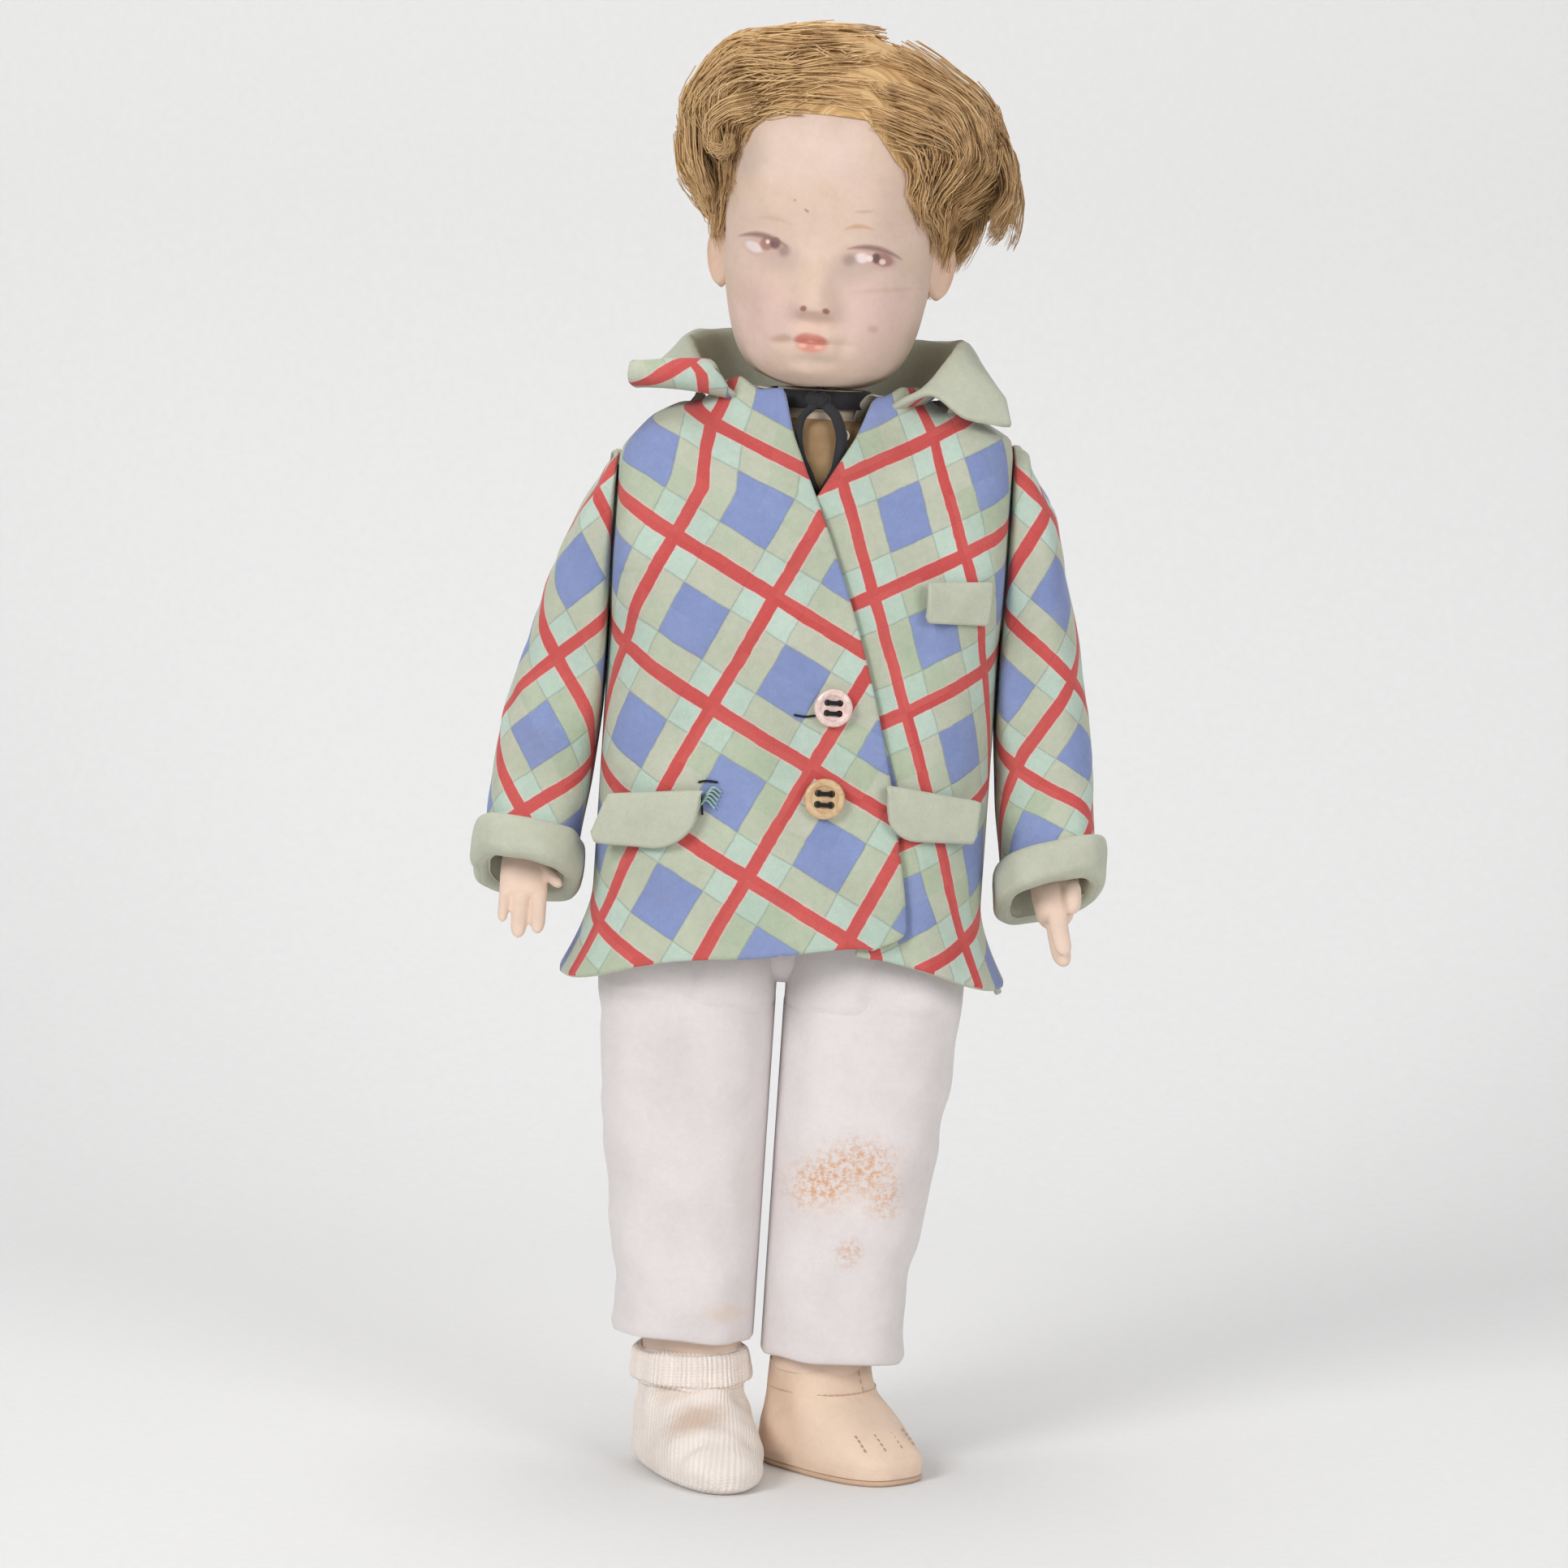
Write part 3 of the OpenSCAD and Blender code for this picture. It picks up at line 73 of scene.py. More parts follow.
def faired(rows, at):
    """A table of sizes read smoothly at any height, with no overshoot between its rows."""
    rows = np.array(rows, float)
    x, y = rows[:, 0], rows[:, 1:]
    h = np.diff(x)[:, None]
    d = np.diff(y, axis=0) / h
    m = np.zeros_like(y)
    m[0], m[-1] = d[0], d[-1]
    if len(x) > 2:
        w1, w2 = 2 * h[1:] + h[:-1], h[1:] + 2 * h[:-1]
        with np.errstate(all="ignore"):
            mean = (w1 + w2) / (w1 / d[:-1] + w2 / d[1:])
        m[1:-1] = np.where(d[:-1] * d[1:] > 0, np.nan_to_num(mean), 0)
    at = np.clip(np.asarray(at, float), x[0], x[-1])
    k = np.clip(np.searchsorted(x, at) - 1, 0, len(x) - 2)
    hk = (x[k + 1] - x[k])[..., None]
    t = (at - x[k])[..., None] / hk
    start = (1 + 2 * t) * (1 - t) ** 2 * y[k] + t * (1 - t) ** 2 * hk * m[k]
    return start + t * t * (3 - 2 * t) * y[k + 1] + t * t * (t - 1) * hk * m[k + 1]


def smooth(a, b, v):
    """0 before a, 1 after b, and an even curve between."""
    t = np.clip((np.asarray(v, float) - a) / (b - a), 0, 1)
    return t * t * (3 - 2 * t)


def spow(v, p):
    return np.sign(v) * np.abs(v) ** p


def ripple(p, size, seed):
    """A smooth uneven surface from about -1 to 1, with waves of the given size in mm."""
    rng = np.random.default_rng(seed)
    p = np.asarray(p, float)
    total = np.zeros(p.shape[:-1])
    for _ in range(7):
        way = rng.normal(size=3)
        way *= 2 * math.pi / size * rng.uniform(0.6, 1.5) / np.linalg.norm(way)
        total = total + np.sin(p @ way + rng.uniform(0, 6.28))
    return total / 3.2


def full_turn(n):
    """Angles at n equal steps round a circle."""
    return np.linspace(0, 2 * math.pi, n, endpoint=False)


def hump(off, wide):
    """A soft hump, 1 in its middle."""
    return np.exp(-(off / wide) ** 2)


def run_along(line):
    """How far along a line each of its points is."""
    return np.concatenate([[0], np.cumsum(np.linalg.norm(np.diff(line, axis=0), axis=1))])


def evenly(line, n):
    """A line of points drawn again as n points at equal steps."""
    line = np.asarray(line, float)
    run = run_along(line)
    at = np.linspace(0, run[-1], n)
    return np.stack([np.interp(at, run, line[:, k]) for k in range(line.shape[1])], -1)


def curve_through(points, n):
    """A smooth line through a few points, as n points at equal steps."""
    points = np.asarray(points, float)
    run = run_along(points)
    fine = faired(np.column_stack([run, points]), np.linspace(0, run[-1], 20 * len(points)))
    return evenly(fine, n)


def ring(cx, cy, z, half, front, back, square, n):
    """An even closed ring of n points round a limb, from its doll's-right side over the front."""
    t = math.pi + np.linspace(0, 2 * math.pi, 721)
    c, s = np.cos(t), np.sin(t)
    x = cx + half * spow(c, 2 / square)
    y = cy + np.where(s < 0, front, back) * spow(s, 2 / square)
    return evenly(np.stack([x, y, 0 * x + z], -1), n + 1)[:-1]


def normals_of(grid, wrap):
    """Outward directions of a grid of points, rows by columns."""
    across = np.gradient(grid, axis=1)
    if wrap:
        across = (np.roll(grid, -1, 1) - np.roll(grid, 1, 1)) / 2
    along = np.gradient(grid, axis=0)
    n = np.cross(across, along)
    return n / np.maximum(np.linalg.norm(n, axis=-1, keepdims=True), 1e-9)


def outward(grid, level=True):
    """Directions away from the middle of each closed ring, on the level unless told otherwise."""
    n = normals_of(grid, True)
    away = (grid - grid.mean(1, keepdims=True)) * np.array([1, 1, 0 if level else 1])
    facing = np.sign(np.einsum("ijk,ijk->ij", n, away))
    return n * np.where(facing == 0, 1, facing)[..., None]


def shown(name, data):
    """A new object in the scene."""
    obj = bpy.data.objects.new(name, data)
    scene.collection.objects.link(obj)
    return obj


def shade_smooth(mesh):
    mesh.polygons.foreach_set("use_smooth", np.ones(len(mesh.polygons), bool))


def worked_mesh(obj, **keep):
    """An object's mesh with its modifiers or its bevel worked in."""
    graph = bpy.context.evaluated_depsgraph_get()
    return bpy.data.meshes.new_from_object(obj.evaluated_get(graph), depsgraph=graph, **keep)


def drawn_lines(name, lines, place):
    """Some lines as one curve object."""
    data = bpy.data.curves.new(name + "_lines", "CURVE")
    data.dimensions = "3D"
    for line in lines:
        p = place(line) * MM
        s = data.splines.new("POLY")
        s.points.add(len(p) - 1)
        s.points.foreach_set("co", np.column_stack([p, np.ones(len(p))]).ravel())
    return shown(name + "_lines", data)


def new_piece(name, points, faces, body, mats, uv=None, uv_name="cloth", mat_of=None,
              replaces=(), slot=None, place=stand, sharp=62):
    """A finished mesh piece that rides on a body, faces outwards, place in its mesh."""
    v = place(points) * MM
    tri = [(f[0], f[k], f[k + 1]) for f in faces for k in range(1, len(f) - 1)]
    a, b, c = (v[[t[k] for t in tri]] for k in range(3))
    if np.sum(np.einsum("ij,ij->i", a, np.cross(b, c))) < 0:
        faces = [tuple(reversed(f)) for f in faces]
    mesh = bpy.data.meshes.new(name)
    mesh.from_pydata(v.tolist(), [], faces)
    for m in mats:
        mesh.materials.append(m)
    if mat_of is not None:
        mesh.polygons.foreach_set("material_index", np.asarray(mat_of, np.int32))
    if uv is not None:
        layer = mesh.uv_layers.new(name=uv_name)
        index = np.zeros(len(mesh.loops), np.int32)
        mesh.loops.foreach_get("vertex_index", index)
        layer.data.foreach_set("uv", np.asarray(uv, np.float32)[index].ravel())
    shade_smooth(mesh)
    mesh.set_sharp_from_angle(angle=math.radians(sharp))
    return dress(shown(name, mesh), body, replaces, slot)


def dress(obj, body, replaces=(), slot=None):
    """Sets a piece on its body and hides the model's nodes that it stands for; slot, the finish it stands
    for, is not used.
    """
    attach(obj, body)
    if replaces:
        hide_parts(*replaces)
    return obj


def grid_faces(rows, cols, wrap, start=0):
    """The four-sided faces of a grid whose points are numbered row by row."""
    last = cols if wrap else cols - 1
    return [(start + r * cols + c, start + r * cols + (c + 1) % cols,
             start + (r + 1) * cols + (c + 1) % cols, start + (r + 1) * cols + c)
            for r in range(rows - 1) for c in range(last)]


def closed_form(rings, start=0):
    """The points and faces of a form made of rings, with a point at each end."""
    rings = np.asarray(rings, float)
    rows, cols = rings.shape[:2]
    points = np.concatenate([rings.reshape(-1, 3), rings[:1].mean(1), rings[-1:].mean(1)])
    faces = grid_faces(rows, cols, True, start)
    low, last = start + rows * cols, start + (rows - 1) * cols
    faces += [(low, start + (c + 1) % cols, start + c) for c in range(cols)]
    faces += [(low + 1, last + c, last + (c + 1) % cols) for c in range(cols)]
    return points, faces


def stuffed(name, rings, body, mats, uv=None, **how):
    """A closed piece from rings."""
    points, faces = closed_form(rings)
    if uv is not None:
        uv = np.concatenate([uv.reshape(-1, 2), uv[:1].mean(1), uv[-1:].mean(1)])
    return new_piece(name, points, faces, body, mats, uv, **how)


RIM_BULGE = 0.36


def felt_sheet(name, outer, inner, body, mats, uv=None, wrap=False, cut=(), two_sided=False, **how):
    """A sheet of felt with its thickness: an outer and an inner grid, and rounded rims between.

    cut names the rims that are left square because another piece goes on from there: any of
    first_row, last_row, first_col and last_col.
    """
    rows, cols = outer.shape[:2]
    flat_uv = None if uv is None else uv.reshape(-1, 2)
    points = [outer.reshape(-1, 3), inner.reshape(-1, 3)]
    uvs = [flat_uv, flat_uv]
    count = rows * cols
    faces = grid_faces(rows, cols, wrap)
    kind = [0] * len(faces)
    back = [tuple(reversed(f)) for f in grid_faces(rows, cols, wrap, count)]
    under_kind = int(two_sided)
    kind += [under_kind] * len(back)
    faces += back
    index = np.arange(count).reshape(rows, cols)
    if wrap:
        rims = [[(i, "first_row") for i in index[0]], [(i, "last_row") for i in index[-1][::-1]]]
    else:
        line = [(i, "first_row") for i in index[0, :-1]]
        line += [(i, "last_col") for i in index[:-1, -1]]
        line += [(i, "last_row") for i in index[-1, :0:-1]]
        line += [(i, "first_col") for i in index[:0:-1, 0]]
        rims = [line]
    inward = {"first_row": (1, 0), "last_row": (-1, 0), "first_col": (0, 1), "last_col": (0, -1)}
    total = 2 * count
    for line in rims:
        n = len(line)
        mids = [[], []]
        for i, where in line:
            r, c = divmod(int(i), cols)
            o, n_in = outer[r, c], inner[r, c]
            dr, dc = inward[where]
            if not wrap and (r in (0, rows - 1)) and (c in (0, cols - 1)):
                dr, dc = (1 if r == 0 else -1), (1 if c == 0 else -1)
            nb = outer[np.clip(r + dr, 0, rows - 1), (c + dc) % cols]
            out = o - nb
            out = out / max(np.linalg.norm(out), 1e-9)
            bulge = 0.0 if where in cut else RIM_BULGE * np.linalg.norm(n_in - o)
            mids[0].append(o + 0.2 * (n_in - o) + out * bulge)
            mids[1].append(o + 0.8 * (n_in - o) + out * bulge)
        points += [np.array(m) for m in mids]
        if flat_uv is not None:
            uvs += [flat_uv[[int(i) for i, _ in line]]] * 2
        m0, m1 = total, total + n
        total += 2 * n
        for k in range(n):
            j = (k + 1) % n
            o0, o1 = int(line[k][0]), int(line[j][0])
            faces += [(o1, o0, m0 + k, m0 + j), (m0 + j, m0 + k, m1 + k, m1 + j),
                      (m1 + j, m1 + k, count + o0, count + o1)]
            kind += [0, under_kind, under_kind]
    uv = None if uv is None else np.concatenate(uvs)
    mat_of = kind if two_sided else None
    return new_piece(name, np.concatenate(points), faces, body, mats, uv, mat_of=mat_of, **how)


def area_of(grid, wrap=False):
    """The area of a grid of points, in square metres."""
    g = np.concatenate([grid, grid[:, :1]], 1) if wrap else grid
    a, b, c, d = g[:-1, :-1], g[:-1, 1:], g[1:, 1:], g[1:, :-1]
    return 0.5 * np.linalg.norm(np.cross(c - a, d - b), axis=-1).sum() * MM * MM


# The least side, in metres, and the least share of its box, that a sheet's worked-out size is given.
LEAST_SIDE, LEAST_SHARE = 0.0101, 0.32


def cut_sheet(obj, grid, wrap=False):
    """Works out a sheet's cut size from its own grid, so it follows what was built, and returns the object
    unchanged; the size is not kept.

    A ribbon is narrower than the least side, so its worked-out box is wider or shorter than the real strip.
    """
    g = np.concatenate([grid, grid[:, :1]], 1) if wrap else grid
    wide = np.linalg.norm(np.diff(g, axis=1), axis=-1).sum(1).max() * MM
    long = np.linalg.norm(np.diff(g, axis=0), axis=-1).sum(0).max() * MM
    area = area_of(grid, wrap)
    wide, long = max(wide, LEAST_SIDE), max(long, LEAST_SIDE)
    share = area / (wide * long)
    if share > 1:
        long *= share
    elif share < LEAST_SHARE:
        long *= share / LEAST_SHARE
    return obj


# Paints and finishes

def paint(r, g, b):
    """A colour as it is read off a screen, made linear for the shader."""
    lin = [c / 255 / 12.92 if c <= 10.31 else ((c / 255 + 0.055) / 1.055) ** 2.4 for c in (r, g, b)]
    return (*lin, 1.0)


def add(tree, kind, inputs=None, **props):
    """A node with its settings, and each input joined to a socket or given a value."""
    n = tree.nodes.new(kind)
    for key, value in props.items():
        setattr(n, key, value)
    for key, value in (inputs or {}).items():
        if isinstance(value, bpy.types.NodeSocket):
            tree.links.new(value, n.inputs[key])
        else:
            n.inputs[key].default_value = value
    return n


def calc(tree, op, a, b=0.0, clamp=False):
    return add(tree, "ShaderNodeMath", {0: a, 1: b}, operation=op, use_clamp=clamp).outputs[0]


def object_place(tree):
    return add(tree, "ShaderNodeTexCoord").outputs["Object"]


def vector(tree, op, a, b):
    return add(tree, "ShaderNodeVectorMath", {0: a, 1: b}, operation=op).outputs[0]


def scaled(tree, a, by):
    return add(tree, "ShaderNodeVectorMath", {0: a, "Scale": by}, operation="SCALE").outputs[0]


def blend_colours(tree, share, a, b):
    return add(tree, "ShaderNodeMix", {0: share, 6: a, 7: b}, data_type="RGBA").outputs[2]


def step_down(tree, value, edge, soft):
    """1 below the edge and 0 above it, with a soft border."""
    n = add(tree, "ShaderNodeMapRange",
            {"Value": value, "From Min": edge - soft, "From Max": edge + soft, "To Min": 1.0,
             "To Max": 0.0},
            interpolation_type="SMOOTHSTEP")
    return n.outputs["Result"]


def noise(tree, vector, scale, detail=2.0, rough=0.5):
    n = add(tree, "ShaderNodeTexNoise",
            {"Vector": vector, "Scale": scale, "Detail": detail, "Roughness": rough})
    return n.outputs[0]


def group(name, inputs, outputs):
    """An empty shader group with named sockets: its tree, its inputs' node and its outputs' node."""
    tree = bpy.data.node_groups.new(name, "ShaderNodeTree")
    for label, kind, value in inputs:
        s = tree.interface.new_socket(label, in_out="INPUT", socket_type="NodeSocket" + kind)
        if value is not None:
            s.default_value = value
    for label, kind in outputs:
        tree.interface.new_socket(label, in_out="OUTPUT", socket_type="NodeSocket" + kind)
    return tree, tree.nodes.new("NodeGroupInput").outputs, tree.nodes.new("NodeGroupOutput").inputs


def place_group(tree, made, inputs):
    return add(tree, "ShaderNodeGroup", inputs, node_tree=made).outputs


def felt_nap_group():
    """Felt: matted fibres, a cloudy dye and a little soiling."""
    t, i, o = group("felt_nap", [("Colour", "Color", None), ("Mottle", "Float", 0.12),
                                 ("Soil", "Float", 0.1), ("Fibre", "Float", 1500.0)],
                    [("Colour", "Color"), ("Height", "Float")])
    at = object_place(t)
    fibre = noise(t, at, i["Fibre"], 4.0, 0.65)
    matted = noise(t, at, 420.0, 3.0, 0.6)
    cloud = noise(t, at, 60.0, 3.0, 0.55)
    light = calc(t, "ADD", calc(t, "MULTIPLY", calc(t, "SUBTRACT", fibre, 0.5), 0.9),
                 calc(t, "MULTIPLY", calc(t, "SUBTRACT", matted, 0.5), 0.8))
    light = calc(t, "ADD", light, calc(t, "SUBTRACT", cloud, 0.5))
    gain = calc(t, "ADD", 1.0, calc(t, "MULTIPLY", light, i["Mottle"]))
    toned = scaled(t, i["Colour"], gain)
    dirty = calc(t, "MULTIPLY", step_down(t, noise(t, at, 34.0, 5.0, 0.62), 0.42, 0.1), i["Soil"])
    t.links.new(blend_colours(t, dirty, toned, paint(150, 128, 100)), o["Colour"])
    t.links.new(calc(t, "ADD", calc(t, "MULTIPLY", fibre, 0.6), calc(t, "MULTIPLY", matted, 0.7)),
                o["Height"])
    return t


FELT_NAP = felt_nap_group()


def finish(name, build, rough=0.9, sheen=0.0, coat=0.0, metal=0.0, bump=0.25, relief=0.0006, specular=0.3):
    """A material whose colour and height come from the nodes that build() makes."""
    mat = bpy.data.materials.new(name)
    mat.use_nodes = True
    t = mat.node_tree
    shader = t.nodes["Principled BSDF"]
    shader.inputs["Roughness"].default_value = rough
    shader.inputs["Sheen Weight"].default_value = sheen
    shader.inputs["Sheen Roughness"].default_value = 0.5
    shader.inputs["Coat Weight"].default_value = coat
    shader.inputs["Metallic"].default_value = metal
    shader.inputs["Specular IOR Level"].default_value = specular
    made_colour, made_height = build(t)
    t.links.new(made_colour, shader.inputs["Base Color"])
    if made_height is not None:
        b = add(t, "ShaderNodeBump", {"Strength": bump, "Distance": relief, "Height": made_height})
        t.links.new(b.outputs[0], shader.inputs["Normal"])
    return mat


def felt(name, colour, mottle=0.14, soil=0.08, fibre=1500.0, sheen=0.12, marks=None, bump=0.3):
    """A felt of one dye, with marks(tree, colour) for what is drawn or spilt on it."""
    def build(t):
        base = colour if marks is None else marks(t, colour)
        out = place_group(t, FELT_NAP, {"Colour": base, "Mottle": mottle, "Soil": soil, "Fibre": fibre})
        return out["Colour"], out["Height"]
    return finish(name, build, sheen=sheen, bump=bump)


def patchwork_group():
    """Windowpane check in felt: blue panes, sage bands with a red stripe, mint where bands cross.
    """
    t, i, o = group("patchwork_check", [("Cloth", "Vector", None), ("Stripe", "Float", 0.058),
                                        ("Band", "Float", 0.272)],
                    [("Colour", "Color"), ("Seam", "Float")])
    cut = add(t, "ShaderNodeTexNoise",
              {"Vector": i["Cloth"], "Scale": 3.2, "Detail": 3.0, "Roughness": 0.6})
    off = vector(t, "SUBTRACT", cut.outputs["Color"], (0.5, 0.5, 0.5))
    at = vector(t, "ADD", i["Cloth"], scaled(t, off, 0.034))
    part = add(t, "ShaderNodeSeparateXYZ", {0: at}).outputs
    far = []
    for axis in (0, 1):
        pane = calc(t, "FRACT", calc(t, "ADD", part[axis], 100.5))
        far.append(calc(t, "ABSOLUTE", calc(t, "SUBTRACT", pane, 0.5)))
    soft = 0.0035

    def within(value, edge):
        """1 where a point is nearer the stripe's middle than the edge."""
        n = add(t, "ShaderNodeMath", {0: calc(t, "SUBTRACT", edge, value), 1: 1 / (2 * soft), 2: 0.5},
                operation="MULTIPLY_ADD", use_clamp=True)
        return n.outputs[0]

    def beside(edge, wide, blur):
        """A line along the edges of the bands or of the stripes."""
        near = [calc(t, "ABSOLUTE", calc(t, "SUBTRACT", f, edge)) for f in far]
        return calc(t, "MAXIMUM", *[step_down(t, value, wide, blur) for value in near])

    stripes = [within(f, i["Stripe"]) for f in far]
    bands = [within(f, i["Band"]) for f in far]
    red = calc(t, "MAXIMUM", *stripes)
    any_band = calc(t, "MAXIMUM", *bands)
    corner = calc(t, "MULTIPLY", *bands)
    patch = add(t, "ShaderNodeTexWhiteNoise", noise_dimensions="2D")
    whole = vector(t, "MULTIPLY", at, (2.0, 2.0, 2.0))
    t.links.new(add(t, "ShaderNodeVectorMath", {0: whole}, operation="FLOOR").outputs[0],
                patch.inputs["Vector"])
    lot = patch.outputs["Value"]
    sage = blend_colours(t, calc(t, "MULTIPLY", lot, lot), paint(186, 189, 170), paint(172, 184, 158))
    mint = blend_colours(t, lot, paint(185, 203, 190), paint(178, 197, 181))
    blue = blend_colours(t, lot, paint(126, 140, 184), paint(134, 148, 190))
    colour = blend_colours(t, any_band, blue, sage)
    colour = blend_colours(t, corner, colour, mint)
    seam = beside(i["Band"], 0.006, 0.006)
    colour = blend_colours(t, calc(t, "MULTIPLY", seam, 0.42), colour, paint(128, 138, 132))
    halo = beside(i["Stripe"], 0.012, 0.008)
    colour = blend_colours(t, calc(t, "MULTIPLY", halo, calc(t, "MULTIPLY", any_band, 0.45)), colour,
                           paint(226, 190, 186))
    worn = blend_colours(t, lot, paint(192, 76, 74), paint(200, 90, 86))
    colour = blend_colours(t, red, colour, worn)
    t.links.new(colour, o["Colour"])
    t.links.new(seam, o["Seam"])
    return t


PATCHWORK = patchwork_group()


def check_felt():
    def build(t):
        cloth = add(t, "ShaderNodeUVMap", uv_map="cloth").outputs[0]
        check = place_group(t, PATCHWORK, {"Cloth": cloth})
        nap = place_group(t, FELT_NAP,
                          {"Colour": check["Colour"], "Mottle": 0.26, "Soil": 0.09, "Fibre": 1500.0})
        height = calc(t, "SUBTRACT", nap["Height"], calc(t, "MULTIPLY", check["Seam"], 0.8))
        return nap["Colour"], height
    return finish("check_felt_patchwork", build, sheen=0.12, bump=0.32)


def spot_group():
    """A painted or spilt spot: a turned oval with a soft edge."""
    t, i, o = group("spot", [("Map", "Vector", None), ("Centre", "Vector", None), ("Reach", "Vector", None),
                             ("Turn", "Float", 0.0), ("Soft", "Float", 0.2), ("Ragged", "Float", 0.0)],
                    [("Mask", "Float")])
    off = vector(t, "SUBTRACT", i["Map"], i["Centre"])
    turned = add(t, "ShaderNodeVectorRotate", {"Vector": off, "Angle": i["Turn"]}, rotation_type="Z_AXIS")
    share = vector(t, "DIVIDE", turned.outputs[0], i["Reach"])
    far = add(t, "ShaderNodeVectorMath", {0: share}, operation="LENGTH").outputs["Value"]
    rag = noise(t, i["Map"], 0.35, 4.0, 0.6)
    far = calc(t, "ADD", far, calc(t, "MULTIPLY", calc(t, "SUBTRACT", rag, 0.5), i["Ragged"]))
    low = calc(t, "SUBTRACT", 1.0, i["Soft"])
    high = calc(t, "ADD", 1.0, i["Soft"])
    n = add(t, "ShaderNodeMapRange",
            {"Value": far, "From Min": low, "From Max": high, "To Min": 1.0, "To Max": 0.0},
            interpolation_type="SMOOTHSTEP")
    t.links.new(n.outputs["Result"], o["Mask"])
    return t


def stroke_group():
    """A painted brush stroke: a bowed line that thins towards its ends."""
    t, i, o = group("brush_stroke",
                    [("Map", "Vector", None), ("Centre", "Vector", None), ("Half", "Float", 6.0),
                                     ("Bow", "Float", 1.0), ("Turn", "Float", 0.0), ("Thick", "Float", 0.5),
                                     ("Soft", "Float", 0.25)],
                    [("Mask", "Float")])
    off = vector(t, "SUBTRACT", i["Map"], i["Centre"])
    turned = add(t, "ShaderNodeVectorRotate", {"Vector": off, "Angle": i["Turn"]}, rotation_type="Z_AXIS")
    p = add(t, "ShaderNodeSeparateXYZ", {0: turned.outputs[0]}).outputs
    along = calc(t, "DIVIDE", p[0], i["Half"])
    square = calc(t, "MULTIPLY", along, along)
    line = calc(t, "MULTIPLY", calc(t, "SUBTRACT", 1.0, square), i["Bow"])
    thin = calc(t, "MULTIPLY", calc(t, "SUBTRACT", 1.0, square, True), i["Thick"])
    off_line = calc(t, "ABSOLUTE", calc(t, "SUBTRACT", p[1], line))
    edge = calc(t, "SUBTRACT", thin, off_line)
    n = add(t, "ShaderNodeMapRange", {"Value": edge, "From Min": calc(t, "MULTIPLY", i["Soft"], -1.0),
                                      "From Max": i["Soft"], "To Min": 0.0, "To Max": 1.0},
            interpolation_type="SMOOTHSTEP")
    inside = step_down(t, calc(t, "ABSOLUTE", along), 1.0, 0.08)
    t.links.new(calc(t, "MULTIPLY", n.outputs["Result"], inside), o["Mask"])
    return t


SPOT = spot_group()
STROKE = stroke_group()


def spot(t, at, x, y, rx, ry, turn=0.0, soft=0.25, ragged=0.0):
    return place_group(t, SPOT, {"Map": at, "Centre": (x, y, 0), "Reach": (rx, ry, 1.0),
                                 "Turn": -math.radians(turn), "Soft": soft, "Ragged": ragged})["Mask"]


def stroke(t, at, x, y, half, bow, thick, turn=0.0, soft=0.25):
    return place_group(t, STROKE, {"Map": at, "Centre": (x, y, 0), "Half": half, "Bow": bow,
                                   "Turn": -math.radians(turn), "Thick": thick, "Soft": soft})["Mask"]


def layers(t, base, *coats):
    """Coats of paint one over another: each a mask, a colour and how strongly it covers."""
    for mask, colour, strength in coats:
        base = blend_colours(t, calc(t, "MULTIPLY", mask, strength), base, colour)
    return base


# The head: pressed felt, painted

HEAD_LOW, HEAD_TALL = 322.8, 99.0
HEAD_HALF, HEAD_FRONT, HEAD_BACK, HEAD_SQUARE = 31.5, 35.5, 40.0, 2.2
HEAD_TURN = math.radians(-5.4)
HEAD = [[0, .28, .46, .22], [.016, .46, .69, .31], [.045, .64, .84, .39], [.095, .765, .925, .48],
        [.155, .845, .95, .59], [.225, .905, .965, .71], [.31, .95, .98, .83], [.41, .97, .965, .92],
        [.53, 1, .995, .985], [.66, 1.01, 1, 1], [.78, .98, .94, .96], [.875, .86, .79, .83],
        [.945, .64, .58, .62], [.985, .38, .34, .37], [1, .12, .11, .12]]
EYE_R, EYE_L = (-17.2, 363.0), (15.6, 361.6)
NOSE_Z, MOUTH_Z, CHIN_Z = 346.2, 335.6, 327.0


def on_head(p):
    """The head's own frame, glancing a little to the doll's right, then stood up."""
    p = np.array(p, float)
    c, s = math.cos(HEAD_TURN), math.sin(HEAD_TURN)
    x, y = p[..., 0], p[..., 1] - NECK_Y
    return stand(np.stack([x * c - y * s, NECK_Y + x * s + y * c, p[..., 2]], -1))


